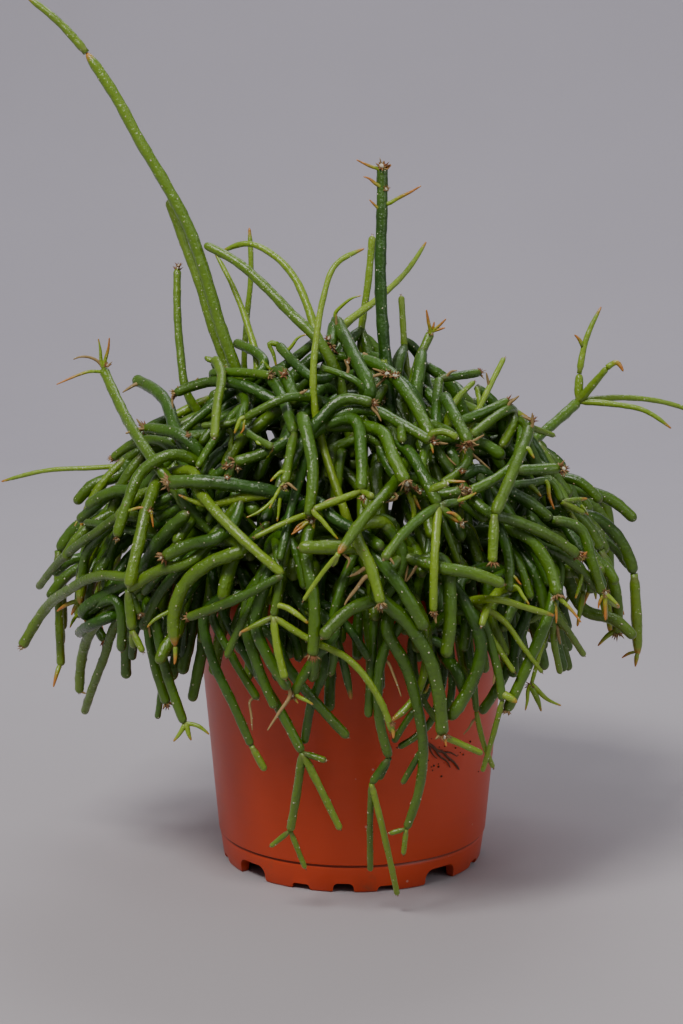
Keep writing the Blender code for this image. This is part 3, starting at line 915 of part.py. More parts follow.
def build_pot(material):
    h = POT_HEIGHT
    collar = h - POT_COLLAR_HEIGHT
    t = POT_WALL
    profile = [
        (0.0, 0.0098), (POT_FOOT_RADIUS - 0.0042, 0.0098), (POT_FOOT_RADIUS - 0.0034, 0.0),
        (POT_FOOT_RADIUS - 0.0006, 0.0), (POT_FOOT_RADIUS + 0.0002, 0.0009),
        (POT_BASE_RADIUS - 0.0010, FOOT_HEIGHT - 0.0006), (POT_BASE_RADIUS, FOOT_HEIGHT + 0.0006),
        (POT_TOP_RADIUS, collar), (POT_COLLAR_RADIUS - 0.0004, collar + 0.0008),
        (POT_COLLAR_RADIUS, h - 0.0008), (POT_COLLAR_RADIUS - 0.0006, h),
        (POT_COLLAR_RADIUS - 0.0022, h), (POT_TOP_RADIUS - t, collar - 0.001),
        (POT_BASE_RADIUS - t - 0.0002, FLOOR_TOP + 0.0012), (POT_BASE_RADIUS - t - 0.0020, FLOOR_TOP),
        (0.0, FLOOR_TOP),
    ]
    verts, faces = lathe(profile, 40)
    pot = add_object("pot", verts, faces, material)
    cuts = bpy.data.collections.new("pot_cuts")
    bpy.context.scene.collection.children.link(cuts)
    made = []

    def cut(v, f):
        o = add_object("pot_cut_%02d" % len(made), v, f)
        o.hide_render = True
        o.display_type = "WIRE"
        cuts.objects.link(o)
        made.append(o)

    def notch(width, depth, angle):
        w = width / 2.0
        pts = [(-w - 0.0010, -0.001), (w + 0.0010, -0.001), (w, depth * 0.55), (w * 0.72, depth),
               (-w * 0.72, depth), (-w, depth * 0.55)]
        v, f = prism(pts, 0.040, 0.060, math.radians(180 + angle))
        cut(v, f)

    for q in range(4):
        base = NOTCH_PHASE + 90.0 * q
        notch(0.0145, 0.0062, base - 45.0)
        notch(0.0078, 0.0037, base)
        notch(0.0070, 0.0024, base - 18.7)
        notch(0.0070, 0.0024, base + 18.7)
    for q in range(5):                                  # drainage holes through the floor
        a = math.radians(72 * q + 10)
        r = 0.030
        ring = [(r * math.cos(a) + 0.0035 * math.cos(j * math.pi / 4),
                 r * math.sin(a) + 0.0035 * math.sin(j * math.pi / 4)) for j in range(8)]
        v = [(x, y, 0.008) for x, y in ring] + [(x, y, 0.0145) for x, y in ring]
        f = [tuple(range(7, -1, -1)), tuple(range(8, 16))]
        f += [(k, (k + 1) % 8, 8 + (k + 1) % 8, 8 + k) for k in range(8)]
        cut(v, f)
    mod = pot.modifiers.new("drainage", "BOOLEAN")
    mod.operation = "DIFFERENCE"
    mod.solver = "EXACT"
    mod.operand_type = "COLLECTION"
    mod.collection = cuts
    deps = bpy.context.evaluated_depsgraph_get()
    me = bpy.data.meshes.new_from_object(pot.evaluated_get(deps))
    old = pot.data
    pot.modifiers.clear()
    pot.data = me
    bpy.data.meshes.remove(old)
    me.name = "pot"
    for o in made:
        om = o.data
        bpy.data.objects.remove(o, do_unlink=True)
        bpy.data.meshes.remove(om)
    bpy.data.collections.remove(cuts)
    bm = bmesh.new()
    bm.from_mesh(me)
    bmesh.ops.remove_doubles(bm, verts=bm.verts, dist=0.00002)
    bmesh.ops.triangulate(bm, faces=bm.faces)
    bmesh.ops.recalc_face_normals(bm, faces=bm.faces)
    bm.to_mesh(me)
    bm.free()
    for p in me.polygons:
        p.use_smooth = True
    return pot


def build_soil(material):
    t = POT_WALL + GAP

    def inner(z):
        f = (z - FOOT_HEIGHT) / (POT_HEIGHT - POT_COLLAR_HEIGHT - FOOT_HEIGHT)
        return POT_BASE_RADIUS + (POT_TOP_RADIUS - POT_BASE_RADIUS) * f - t - 0.0006

    count = 28
    rows = [(inner(FLOOR_TOP) - 0.0022, FLOOR_TOP + GAP), (inner(0.016) - 0.0004, 0.0165),
            (inner(SOIL_TOP - 0.003), SOIL_TOP - 0.0028), (inner(SOIL_TOP) - 0.0020, SOIL_TOP - 0.0006),
            (0.041, SOIL_TOP + 0.0002), (0.022, SOIL_TOP + 0.0004)]
    rng = np.random.RandomState(5)
    verts, faces = [(0, 0, FLOOR_TOP + GAP)], []
    for i, (r, z) in enumerate(rows):
        for k in range(count):
            a = 2 * math.pi * k / count
            dz = rng.uniform(-0.0009, 0.0004) if i >= 3 else 0.0
            verts.append((r * math.cos(a), r * math.sin(a), z + dz))
    verts.append((0, 0, SOIL_TOP + 0.0004))
    top = len(verts) - 1
    for k in range(count):
        m = (k + 1) % count
        faces.append((0, 1 + m, 1 + k))
        for i in range(len(rows) - 1):
            a, b = 1 + i * count, 1 + (i + 1) * count
            faces.append((a + k, a + m, b + m, b + k))
        a = 1 + (len(rows) - 1) * count
        faces.append((a + k, a + m, top))
    ob = add_object("soil", verts, faces, material)
    for p in ob.data.polygons:
        p.use_smooth = True
    return ob


def slight(plant, s):
    """A hair-thin youngest twig with nothing growing from it."""
    return s["front"] and s["name"] in THIN and not any(
        t["parent"] >= 0 and plant.stems[t["parent"]] is s for t in plant.stems)


def main():
    for o in list(bpy.data.objects):
        bpy.data.objects.remove(o, do_unlink=True)
    plant = build_plant()
    build_pot(make_material("pot_terracotta", (0.42, 0.075, 0.022), 0.42))
    build_soil(make_material("soil_peat", (0.035, 0.022, 0.014), 0.95))
    shoots = sorted(set(s["shoot"] for s in plant.stems))
    for k in shoots:
        tone = 0.5 + 0.5 * math.sin(k * 2.1)
        name = "shoot_%02d" % (k + 1)
        mat = make_material(name + "_skin", (0.045 + 0.02 * tone, 0.13 + 0.03 * tone, 0.02), 0.38)
        best = None
        for attempt in range(7):
            solids = [stem_solid(plant, s, 0.37 * (attempt + 1) + 0.61 * i)
                      for i, s in enumerate(t for t in plant.stems if t["shoot"] == k and not slight(plant, t))]
            me = fuse(name, solids, mat)
            faults = one_closed_body(me)
            if faults >= 0 and (best is None or faults < best[0]):
                best = (faults, me)
            if faults == 0:
                break
        me = best[1] if best else me
        ob = bpy.data.objects.new(name, me)
        bpy.context.scene.collection.objects.link(ob)


main()
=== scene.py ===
import json
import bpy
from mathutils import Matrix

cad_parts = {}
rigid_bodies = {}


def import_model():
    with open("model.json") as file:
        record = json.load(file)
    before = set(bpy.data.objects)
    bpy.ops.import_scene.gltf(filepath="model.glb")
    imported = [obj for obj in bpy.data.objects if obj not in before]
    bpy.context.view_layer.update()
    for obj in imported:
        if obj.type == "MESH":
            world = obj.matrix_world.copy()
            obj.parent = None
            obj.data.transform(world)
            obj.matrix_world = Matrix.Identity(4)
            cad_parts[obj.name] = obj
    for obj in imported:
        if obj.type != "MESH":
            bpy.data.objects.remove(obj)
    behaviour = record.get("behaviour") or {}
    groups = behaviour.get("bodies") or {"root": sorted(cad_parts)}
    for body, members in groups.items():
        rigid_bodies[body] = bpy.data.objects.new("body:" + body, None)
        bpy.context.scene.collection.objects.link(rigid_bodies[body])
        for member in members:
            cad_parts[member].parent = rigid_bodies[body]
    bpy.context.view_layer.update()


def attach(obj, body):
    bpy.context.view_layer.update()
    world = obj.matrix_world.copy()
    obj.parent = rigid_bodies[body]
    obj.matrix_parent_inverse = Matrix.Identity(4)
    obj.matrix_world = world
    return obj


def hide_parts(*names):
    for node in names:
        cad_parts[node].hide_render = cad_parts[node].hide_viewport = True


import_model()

import math
import bpy
import bmesh
import numpy as np
from mathutils import Vector

# ---------------------------------------------------------------- driving dimensions (metres)
POT_HEIGHT = 0.1130            # floor to rim
POT_FOOT_RADIUS = 0.0503       # outside of the foot band on the floor
POT_BASE_RADIUS = 0.0523       # outside of the wall just above the foot band
POT_TOP_RADIUS = 0.0603        # outside of the wall just below the collar
POT_COLLAR_RADIUS = 0.0620     # outside of the rolled collar
POT_COLLAR_HEIGHT = 0.0110     # height of the collar
POT_WALL = 0.0013              # wall thickness
FOOT_HEIGHT = 0.0104           # height of the foot band
FLOOR_TOP = 0.0126             # upper face of the pot's floor
SOIL_TOP = 0.1035              # level of the soil at its edge
GAP = 0.0003                   # play between neighbouring pieces
STEM_MARGIN = 0.00055          # play kept between stems of different shoots
NOTCH_PHASE = -4.0             # degrees, turn of the drainage pattern about the axis

# Front elevation: the centrelines of the visible stems are laid out on a drawing grid
# seen from EYE. One grid unit is about 0.39 mm on the pot's axis, x to the right, y down.
EYE = (-0.0042, -0.906, 0.305)
EYE_PITCH = math.radians(10.6)
GRID_REACH = 2400.0            # grid units per unit of slope
GRID_X0, GRID_Y0 = 340.2, 510.4
# Crown: half-axes of the outer surface that the front stems lie on
CROWN_RX, CROWN_RY = 0.114, 0.104
CROWN_RZ_UP, CROWN_RZ_DOWN = 0.090, 0.165
CROWN_Z = 0.122
# Half depth of the whole plant, front to back
PLANT_HALF_DEPTH = 0.1120
# youngest twigs too thin to be worked as solids of their own
THIN = ("T22", "B26", "C04", "C11", "C14", "F20", "F25", "F28", "F36", "F37", "F51", "G26", "G35", "G08")

# name, joined to, width at base, width at tip, depth rule, depth at base, depth at tip, youth, tip form, centreline
# depth rule S: millimetres behind the crown's outer surface; Y: millimetres along Y from the pot's axis
STEMS = (
 # tall shoots above the crown
 ("T01", "", 11, 10, "Y", -22, -2, 0.35, "t", ((236, 372), (233, 362), (220, 327), (208, 286), (194, 242), (179, 208), (167, 187), (145, 150), (128, 121), (107, 82), (85, 51))),
 ("T02", "T01", 9, 6, "Y", -2, 2, 0.55, "t", ((85, 51), (70, 35), (57, 20), (45, 10), (32, 0), (24, -6))),
 ("T03", "", 8, 8, "Y", -12, 4, 0.45, "", ((228, 370), (223, 362), (213, 334), (204, 303), (191, 262), (179, 233), (171, 214), (167, 198))),
 ("T04", "", 8, 7, "Y", -10, 6, 0.35, "b", ((186, 392), (182, 370), (179, 350), (177, 330), (176, 308), (177, 287), (176, 267))),
 ("T05", "", 10, 8, "Y", -38, -16, 0.3, "", ((316, 338), (312, 333), (299, 321), (283, 305), (266, 287), (249, 272), (230, 256), (216, 248), (203, 243))),
 ("T06", "", 9, 5, "Y", -30, -4, 0.75, "t", ((316, 334), (309, 312), (302, 295), (295, 279), (285, 267), (273, 254), (260, 246), (245, 242), (230, 244), (219, 251))),
 ("T07", "", 8, 4, "Y", -24, -2, 0.8, "t", ((256, 366), (252, 349), (247, 326), (241, 307), (232, 286), (221, 263), (212, 248))),
 ("T08", "", 6, 5, "Y", 14, 22, 0.6, "t", ((243, 366), (244, 340), (246, 310), (248, 285), (251, 260), (250, 240), (248, 226))),
 ("T09", "", 9, 5, "Y", -78, -48, 0.85, "t", ((345, 515), (338, 492), (333, 480), (326, 460), (320, 437), (315, 415), (312, 395), (312, 370), (314, 345), (320, 305), (330, 272), (345, 249), (363, 247))),
 ("T10", "", 12, 10, "Y", -34, -18, 0.05, "w", ((390, 414), (387, 395), (385, 365), (382, 340), (380, 300), (379, 260), (380, 230), (381, 200), (381, 163))),
 ("T11", "", 7, 7, "Y", -10, -2, 0.65, "w", ((356, 372), (358, 345), (361, 320), (365, 290), (370, 262), (371, 234))),
 ("T12", "", 8, 4, "Y", -20, 8, 0.85, "t", ((345, 322), (358, 313), (372, 301), (384, 291), (394, 282), (405, 270), (415, 256), (425, 240))),
 ("T14", "", 7, 6, "Y", -18, -8, 0.7, "w", ((406, 384), (404, 365), (403, 345), (402, 325), (401, 308), (400, 294))),
 ("T15", "", 9, 8, "Y", -22, -12, 0.3, "w", ((408, 388), (412, 375), (417, 360), (423, 345), (430, 330))),
 ("T16", "", 7, 5, "Y", -62, -42, 0.85, "w", ((463, 440), (469, 426), (475, 414), (482, 398), (490, 381), (497, 368), (503, 356))),
 ("T17", "", 9, 10, "Y", -16, 6, 0.15, "", ((520, 446), (533, 438), (545, 428), (557, 418), (567, 408), (577, 400))),
 ("T18", "T17", 9, 8, "Y", 6, 8, 0.7, "", ((577, 400), (576, 388), (578, 372))),
 ("T19", "T18", 7, 4, "Y", 8, 12, 0.8, "t", ((578, 372), (581, 356), (584, 342), (588, 326), (593, 314), (600, 305))),
 ("T20", "T17", 11, 6, "Y", 6, 0, 0.6, "", ((577, 400), (583, 391), (591, 380), (599, 371), (606, 366))),
 ("T21", "T17", 7, 4, "Y", 6, 14, 0.7, "t", ((577, 400), (600, 396), (620, 396), (640, 397), (660, 400), (683, 407), (704, 415))),
 ("T22", "T17", 7, 4, "Y", 6, -2, 0.75, "t", ((577, 400), (590, 402), (605, 402), (622, 404), (640, 408), (656, 414), (670, 427))),
 ("T23", "", 6, 4, "Y", 2, 12, 0.85, "t", ((185, 465), (160, 464), (138, 464), (100, 466), (70, 467), (45, 469), (22, 472), (0, 480))),
 # upper left of the crown
 ("A01", "", 11, 9, "S", 6, 2, 0.3, "w", ((168, 480), (160, 468), (150, 455), (138, 438), (127, 418), (116, 400), (108, 383), (102, 367))),
 ("A02", "", 12, 11, "S", 14, 12, 0.1, "", ((177, 434), (174, 420), (168, 405), (158, 392), (146, 383), (134, 378))),
 ("A03", "", 12, 10, "S", 10, 8, 0.1, "b", ((188, 440), (174, 437), (160, 433), (143, 427))),
 ("A04", "", 10, 8, "S", 18, 20, 0.2, "b", ((160, 440), (148, 438), (136, 441), (124, 444), (116, 450), (111, 457))),
 ("A06", "", 11, 10, "S", 6, 0, 0.25, "w", ((172, 453), (158, 457), (146, 464), (137, 476), (131, 489), (125, 504), (119, 519), (115, 536))),
 ("A07", "", 11, 12, "S", 22, 20, 0.15, "", ((140, 486), (126, 489), (114, 490), (104, 493), (94, 498), (86, 505))),
 ("A08", "A07", 9, 10, "S", 20, 20, 0.15, "", ((114, 490), (104, 502), (94, 510), (85, 515), (77, 519))),
 ("A09", "", 8, 8, "S", 28, 26, 0.1, "", ((136, 530), (122, 527), (108, 525), (95, 522), (84, 521))),
 ("A10", "", 10, 9, "S", 12, 8, 0.0, "", ((182, 484), (170, 488), (158, 493), (148, 500), (140, 508))),
 ("A11", "", 9, 8, "S", 14, 10, 0.1, "b", ((214, 402), (203, 410), (194, 416), (184, 426), (175, 435))),
 ("A12", "", 7, 6, "S", 12, 10, 0.2, "", ((236, 419), (224, 418), (212, 419), (200, 424))),
 ("A14", "", 8, 7, "S", 10, 8, 0.1, "", ((208, 446), (202, 455), (196, 466))),
 # upper middle of the crown
 ("B08", "", 9, 9, "S", 10, 6, 0.1, "", ((318, 378), (308, 367), (297, 357), (287, 348), (277, 343))),
 ("B09", "", 9, 8, "S", 14, 10, 0.15, "", ((286, 362), (298, 352), (309, 341), (320, 334))),
 ("B10", "", 9, 8, "S", 14, 8, 0.15, "b", ((212, 372), (226, 371), (240, 371), (255, 372), (270, 374))),
 ("B11", "", 12, 9, "S", 8, 4, 0.1, "b", ((278, 400), (262, 391), (246, 385), (230, 382), (213, 380), (198, 382), (184, 386), (173, 392))),
 ("B12", "", 9, 8, "S", 6, 0, 0.45, "w", ((220, 372), (218, 386), (216, 402), (214, 420), (213, 437))),
 ("B13", "", 9, 9, "S", 14, 16, 0.1, "", ((262, 366), (252, 357), (242, 349), (234, 341))),
 ("B14", "", 8, 7, "S", 6, 4, 0.15, "", ((286, 396), (272, 400), (260, 405), (250, 411), (243, 417))),
 ("B15", "", 7, 7, "S", 8, 4, 0.15, "", ((240, 424), (252, 430), (263, 438), (272, 446))),
 ("B16", "", 11, 11, "S", 6, 2, 0.1, "b", ((282, 441), (268, 444), (255, 448), (243, 453), (232, 461))),
 ("B17", "B16", 9, 9, "S", 2, 4, 0.1, "", ((232, 461), (221, 471), (210, 478))),
 ("B18", "", 13, 13, "S", 6, 0, 0.1, "b", ((236, 484), (222, 482), (206, 481), (190, 478), (178, 477), (166, 481))),
 ("B19", "B16", 10, 10, "S", 2, 10, 0.1, "", ((232, 461), (227, 478), (221, 492), (214, 506), (207, 522))),
 ("B20", "", 14, 14, "S", 12, 8, 0.05, "", ((222, 484), (234, 492), (246, 502), (257, 512))),
 ("B21", "", 12, 12, "S", 12, 10, 0.05, "", ((282, 372), (286, 384), (290, 394), (294, 403))),
 ("B22", "", 10, 10, "S", 8, 8, 0.05, "", ((278, 390), (284, 405), (290, 420), (293, 432))),
 ("B23", "B22", 9, 9, "S", 8, 2, 0.25, "", ((293, 432), (290, 448), (287, 464), (283, 482))),
 ("B24", "", 12, 10, "S", 4, 0, 0.15, "w", ((303, 422), (306, 437), (309, 454), (312, 472), (311, 494), (307, 515))),
 ("B25", "", 9, 8, "S", 14, 8, 0.05, "", ((303, 452), (299, 475), (292, 500), (286, 520), (282, 540), (278, 560))),
 ("B26", "", 6, 4, "S", 4, 0, 0.9, "t", ((206, 503), (197, 498), (188, 493), (177, 493))),
 ("B27", "", 13, 12, "S", 8, 6, 0.05, "", ((368, 392), (358, 370), (350, 348), (342, 330), (334, 318))),
 ("B28", "B27", 12, 12, "S", 6, 12, 0.05, "b", ((334, 318), (331, 331), (329, 346))),
 ("B29", "", 7, 6, "S", 6, 4, 0.1, "", ((360, 385), (344, 379), (331, 372), (319, 366))),
 ("B30", "", 11, 10, "S", 2, 0, 0.1, "w", ((318, 418), (330, 404), (345, 397), (360, 398), (372, 402))),
 ("B31", "", 11, 10, "S", 4, 0, 0.1, "w", ((334, 415), (350, 410), (368, 408), (386, 415), (404, 425), (418, 433), (430, 440))),
 ("B32", "", 12, 12, "S", 6, 2, 0.1, "", ((384, 368), (394, 378), (404, 390), (414, 404), (423, 419), (430, 436))),
 ("B33", "B31", 9, 9, "S", 0, 2, 0.2, "", ((386, 415), (392, 430), (401, 441))),
 # upper right of the crown
 ("C01", "", 11, 9, "S", 12, 10, 0.1, "", ((436, 428), (436, 412), (437, 396), (438, 377))),
 ("C02", "C01", 9, 8, "S", 10, 12, 0.15, "b", ((438, 377), (450, 373), (464, 371), (479, 371))),
 ("C03", "", 7, 5, "S", 6, 6, 0.5, "w", ((450, 407), (458, 398), (466, 389), (473, 380))),
 ("C04", "", 5, 5, "S", 14, 14, 0.5, "", ((475, 416), (476, 402), (475, 385))),
 ("C05", "", 11, 11, "S", 4, 2, 0.1, "b", ((444, 396), (452, 411), (460, 427), (468, 442))),
 ("C06", "", 9, 9, "S", 8, 6, 0.15, "", ((511, 408), (500, 412), (488, 419), (478, 427), (470, 434))),
 ("C07", "", 10, 8, "S", 10, 6, 0.1, "b", ((472, 415), (484, 408), (495, 403), (507, 399))),
 ("C09", "", 12, 12, "S", 13, 11, 0.05, "", ((476, 441), (486, 446), (495, 451), (503, 457))),
 ("C10", "", 9, 7, "S", 24, 20, 0.4, "t", ((496, 408), (506, 409), (517, 413), (528, 417))),
 ("C11", "C10", 5, 4, "S", 18, 16, 0.7, "", ((528, 417), (526, 427), (522, 437))),
 ("C12", "", 11, 11, "S", 6, 0, 0.25, "", ((527, 425), (522, 441), (516, 457), (511, 472), (505, 488), (498, 502), (493, 513))),
 ("C13", "C12", 12, 10, "S", 0, 0, 0.5, "b", ((493, 513), (490, 528), (490, 546), (491, 562))),
 ("C14", "C12", 7, 5, "S", 2, 6, 0.5, "w", ((522, 441), (533, 439), (543, 437), (553, 434))),
 ("C15", "C12", 11, 11, "S", 4, 0, 0.15, "b", ((516, 462), (528, 465), (542, 464), (559, 467))),
 ("C16", "", 10, 9, "S", 22, 18, 0.3, "", ((510, 415), (505, 430), (500, 446))),
 # front of the crown, upper band
 ("D01", "", 12, 11, "S", 4, 0, 0.1, "w", ((352, 418), (357, 436), (360, 454), (361, 472), (360, 490))),
 ("D02", "D01", 8, 7, "S", 0, 0, 0.7, "w", ((360, 488), (346, 492), (331, 499), (312, 508))),
 ("D03", "D01", 7, 7, "S", 0, 2, 0.6, "", ((360, 488), (371, 495))),
 ("D04", "", 7, 6, "S", 12, 12, 0.15, "", ((372, 420), (375, 434), (377, 448), (379, 462))),
 ("D05", "", 12, 12, "S", 4, 0, 0.15, "b", ((380, 430), (387, 447), (396, 463), (405, 482))),
 ("D06", "", 7, 7, "S", 10, 8, 0.2, "", ((399, 459), (412, 455), (427, 450))),
 ("D07", "", 8, 7, "S", 8, 4, 0.1, "w", ((428, 441), (426, 455), (424, 470), (423, 486))),
 ("D08", "", 11, 11, "S", 4, 0, 0.1, "", ((405, 448), (415, 463), (425, 480), (437, 504))),
 ("D09", "D08", 10, 9, "S", 0, 0, 0.15, "w", ((437, 504), (422, 514), (409, 525), (396, 539), (382, 558))),
 ("D10", "D08", 9, 8, "S", 0, 0, 0.75, "b", ((437, 504), (436, 525), (434, 548), (432, 572), (431, 592), (432, 611))),
 ("D11", "", 11, 10, "S", 6, 4, 0.1, "b", ((425, 492), (438, 489), (450, 488), (461, 489))),
 ("D12", "D08", 8, 8, "S", 0, 0, 0.15, "b", ((437, 504), (446, 501), (458, 500))),
 ("D13", "D08", 9, 8, "S", 0, 0, 0.2, "t", ((437, 504), (447, 512), (458, 521))),
 ("D14", "", 10, 10, "S", 6, 4, 0.1, "b", ((511, 464), (497, 470), (484, 480), (468, 490))),
 ("D15", "", 11, 10, "S", 14, 12, 0.1, "b", ((448, 448), (452, 462), (456, 474), (462, 480))),
 ("D16", "", 9, 8, "S", 14, 10, 0.2, "", ((467, 452), (459, 461), (448, 472), (441, 482))),
 ("D17", "", 12, 10, "S", 12, 8, 0.05, "", ((455, 497), (466, 503), (476, 510), (486, 519))),
 # left side, drooping
 ("E01", "", 9, 7, "S", 20, 14, 0.3, "w", ((130, 512), (118, 518), (105, 524), (92, 533), (78, 545), (62, 556), (50, 568), (42, 578), (37, 586))),
 ("E02", "", 9, 10, "S", 10, 8, 0.35, "w", ((138, 575), (124, 572), (110, 572), (95, 575), (80, 581), (65, 590), (50, 602), (38, 615), (28, 630), (20, 646))),
 ("E03", "", 9, 9, "S", 24, 20, 0.1, "", ((124, 516), (112, 524), (100, 533), (90, 545), (83, 558), (80, 572), (81, 583))),
 ("E04", "", 8, 8, "S", 34, 32, 0.05, "", ((122, 522), (110, 536), (103, 550), (97, 563), (92, 577), (88, 592), (86, 606), (86, 618))),
 ("E05", "", 10, 9, "S", 30, 30, 0.05, "", ((120, 526), (113, 540), (109, 555), (106, 570), (104, 588))),
 ("E06", "", 12, 12, "S", 26, 24, 0.05, "", ((132, 571), (122, 580), (113, 590), (104, 602), (97, 614))),
 ("E07", "", 11, 9, "S", 22, 18, 0.35, "w", ((131, 592), (118, 602), (105, 611), (95, 622), (88, 635), (82, 650), (79, 670), (78, 691))),
 ("E08", "", 9, 8, "S", 26, 24, 0.3, "w", ((124, 612), (116, 628), (108, 645), (101, 661), (94, 678), (88, 694), (83, 711))),
 ("E09", "", 9, 9, "S", 36, 36, 0.0, "b", ((88, 606), (95, 622), (104, 640))),
 ("E13", "", 12, 11, "S", 4, 2, 0.4, "", ((148, 500), (143, 512), (140, 528), (137, 544), (134, 560), (131, 574), (127, 586))),
 ("E15", "", 11, 11, "S", 8, 2, 0.3, "", ((192, 559), (178, 562), (164, 566), (151, 573), (139, 580), (127, 588))),
 ("E14", "E15", 11, 10, "S", 2, 0, 0.35, "", ((127, 588), (124, 598), (124, 608), (127, 618), (131, 629))),
 ("E16", "E14", 9, 7, "S", 0, 2, 0.5, "", ((131, 629), (130, 637), (132, 646))),
 ("E17", "E14", 8, 6, "S", 0, 0, 0.6, "w", ((131, 629), (136, 640), (142, 651))),
 ("E18", "E15", 8, 7, "S", 6, 6, 0.2, "b", ((130, 587), (135, 600), (139, 613))),
 ("E19", "", 13, 12, "S", 12, 6, 0.05, "w", ((140, 568), (150, 552), (162, 534), (174, 521), (187, 511))),
 ("E20", "", 11, 10, "S", 14, 12, 0.05, "", ((192, 494), (178, 500), (164, 507), (154, 517))),
 ("E21", "", 9, 10, "S", 10, 8, 0.1, "", ((178, 568), (166, 582), (156, 596), (147, 611), (141, 628))),
 ("E22", "", 8, 8, "S", 16, 14, 0.05, "w", ((164, 569), (152, 580), (142, 592))),
 ("E23", "", 13, 12, "S", 4, 0, 0.35, "t", ((240, 548), (222, 556), (205, 563), (190, 575), (179, 590), (173, 607), (173, 626), (174, 645))),
 ("E24", "", 12, 12, "S", 8, 2, 0.15, "b", ((216, 536), (203, 539), (189, 543), (175, 548), (161, 556))),
 ("E25", "", 9, 9, "S", 18, 16, 0.1, "b", ((146, 622), (148, 643), (153, 662), (159, 682), (166, 703))),
 ("E26", "", 10, 9, "S", 14, 12, 0.15, "", ((153, 618), (157, 637), (161, 655), (165, 670), (171, 690), (177, 707), (183, 722))),
 ("E27", "", 7, 6, "S", 30, 30, 0.05, "", ((161, 668), (160, 690), (156, 717))),
 ("E28", "", 10, 10, "S", 30, 30, 0.0, "", ((128, 632), (125, 655), (125, 677))),
 ("E29", "", 10, 9, "S", 18, 16, 0.1, "w", ((116, 600), (114, 618), (116, 634), (120, 650))),
 ("E30", "", 7, 6, "S", 34, 36, 0.0, "", ((184, 598), (184, 622), (182, 645), (181, 667))),
 ("E31", "", 9, 8, "S", 26, 26, 0.0, "", ((136, 622), (134, 640), (131, 658))),
 ("E32", "", 8, 8, "S", 22, 20, 0.05, "", ((168, 612), (164, 628), (160, 650), (164, 672))),
 # front, middle band
 ("F01", "", 11, 9, "S", 4, 0, 0.55, "", ((200, 492), (208, 502), (222, 517), (237, 533), (253, 549), (268, 562), (282, 573))),
 ("F02", "F01", 10, 9, "S", 0, 0, 0.2, "b", ((282, 573), (270, 580), (255, 588), (238, 596), (222, 602), (204, 609), (186, 616))),
 ("F04", "", 13, 13, "S", 6, 2, 0.25, "", ((237, 540), (232, 552), (228, 567), (224, 583), (221, 599))),
 ("F06", "", 10, 10, "S", 12, 12, 0.1, "", ((182, 497), (194, 511), (206, 526), (218, 538), (230, 548))),
 ("F07", "", 9, 8, "S", 12, 10, 0.05, "", ((232, 549), (243, 537), (255, 528), (268, 521))),
 ("F08", "", 11, 10, "S", 16, 12, 0.05, "", ((202, 506), (206, 520), (216, 534), (230, 546))),
 ("F09", "", 6, 5, "S", 4, 0, 0.75, "w", ((303, 514), (290, 518), (277, 524), (265, 531), (253, 536))),
 ("F12", "", 13, 13, "S", 4, 0, 0.3, "w", ((350, 546), (335, 545), (322, 544), (309, 545), (297, 546))),
 ("F13", "", 12, 11, "S", 4, 0, 0.2, "b", ((305, 552), (307, 568), (311, 584), (313, 602), (313, 620), (312, 638), (311, 655))),
 ("F15", "", 9, 9, "S", 16, 14, 0.05, "", ((287, 536), (292, 550), (298, 567), (304, 588))),
 ("F16", "", 8, 8, "S", 8, 6, 0.2, "", ((278, 576), (276, 590), (273, 603), (272, 615))),
 ("F17", "F16", 8, 8, "S", 6, 2, 0.8, "w", ((272, 615), (273, 632), (277, 650), (281, 665), (284, 678))),
 ("F19", "F16", 7, 7, "S", 6, 0, 0.75, "b", ((272, 613), (290, 625), (305, 636), (320, 644), (335, 650), (350, 660), (364, 675), (375, 692), (384, 711), (391, 730))),
 ("F20", "F16", 7, 5, "S", 6, 2, 0.6, "t", ((272, 614), (262, 618), (250, 624), (239, 631))),
 ("F21", "", 8, 7, "S", 10, 8, 0.1, "w", ((248, 606), (242, 620), (233, 636), (225, 656))),
 ("F22", "", 12, 10, "S", 12, 8, 0.1, "", ((262, 588), (256, 602), (254, 620), (258, 638), (266, 654), (277, 672), (288, 688))),
 ("F23", "", 10, 9, "S", 18, 14, 0.05, "w", ((244, 624), (248, 642), (255, 660), (262, 678), (268, 692), (274, 707))),
 ("F24", "", 9, 9, "S", 22, 12, 0.1, "", ((258, 672), (270, 694), (280, 711), (291, 731), (301, 751))),
 ("F25", "F24", 6, 6, "S", 12, 8, 0.3, "w", ((301, 751), (312, 754), (325, 759))),
 ("F26", "F24", 8, 7, "S", 12, 6, 0.6, "w", ((301, 751), (312, 772), (322, 793), (331, 811), (339, 828))),
 ("F27", "F24", 9, 8, "S", 12, 12, 0.4, "", ((301, 751), (298, 775), (294, 800), (289, 829))),
 ("F28", "F27", 6, 5, "S", 12, 10, 0.5, "w", ((289, 829), (279, 837), (269, 845))),
 ("F29", "F27", 6, 5, "S", 12, 8, 0.5, "w", ((289, 829), (297, 848), (304, 867))),
 ("F30", "", 10, 8, "S", 14, 12, 0.1, "w", ((203, 612), (204, 630), (207, 648), (215, 666), (225, 688), (237, 714), (250, 744))),
 ("F31", "F30", 8, 7, "S", 12, 12, 0.65, "", ((250, 744), (257, 757), (264, 769))),
 ("F32", "", 8, 8, "S", 20, 18, 0.1, "w", ((211, 612), (218, 630), (227, 648), (237, 666), (247, 684), (257, 698))),
 ("F33", "", 8, 8, "S", 28, 26, 0.05, "", ((220, 606), (228, 626), (239, 645), (251, 664), (263, 684))),
 ("F34", "", 11, 11, "S", 14, 10, 0.05, "", ((316, 500), (322, 513), (335, 518), (348, 525), (361, 532), (372, 539), (381, 547))),
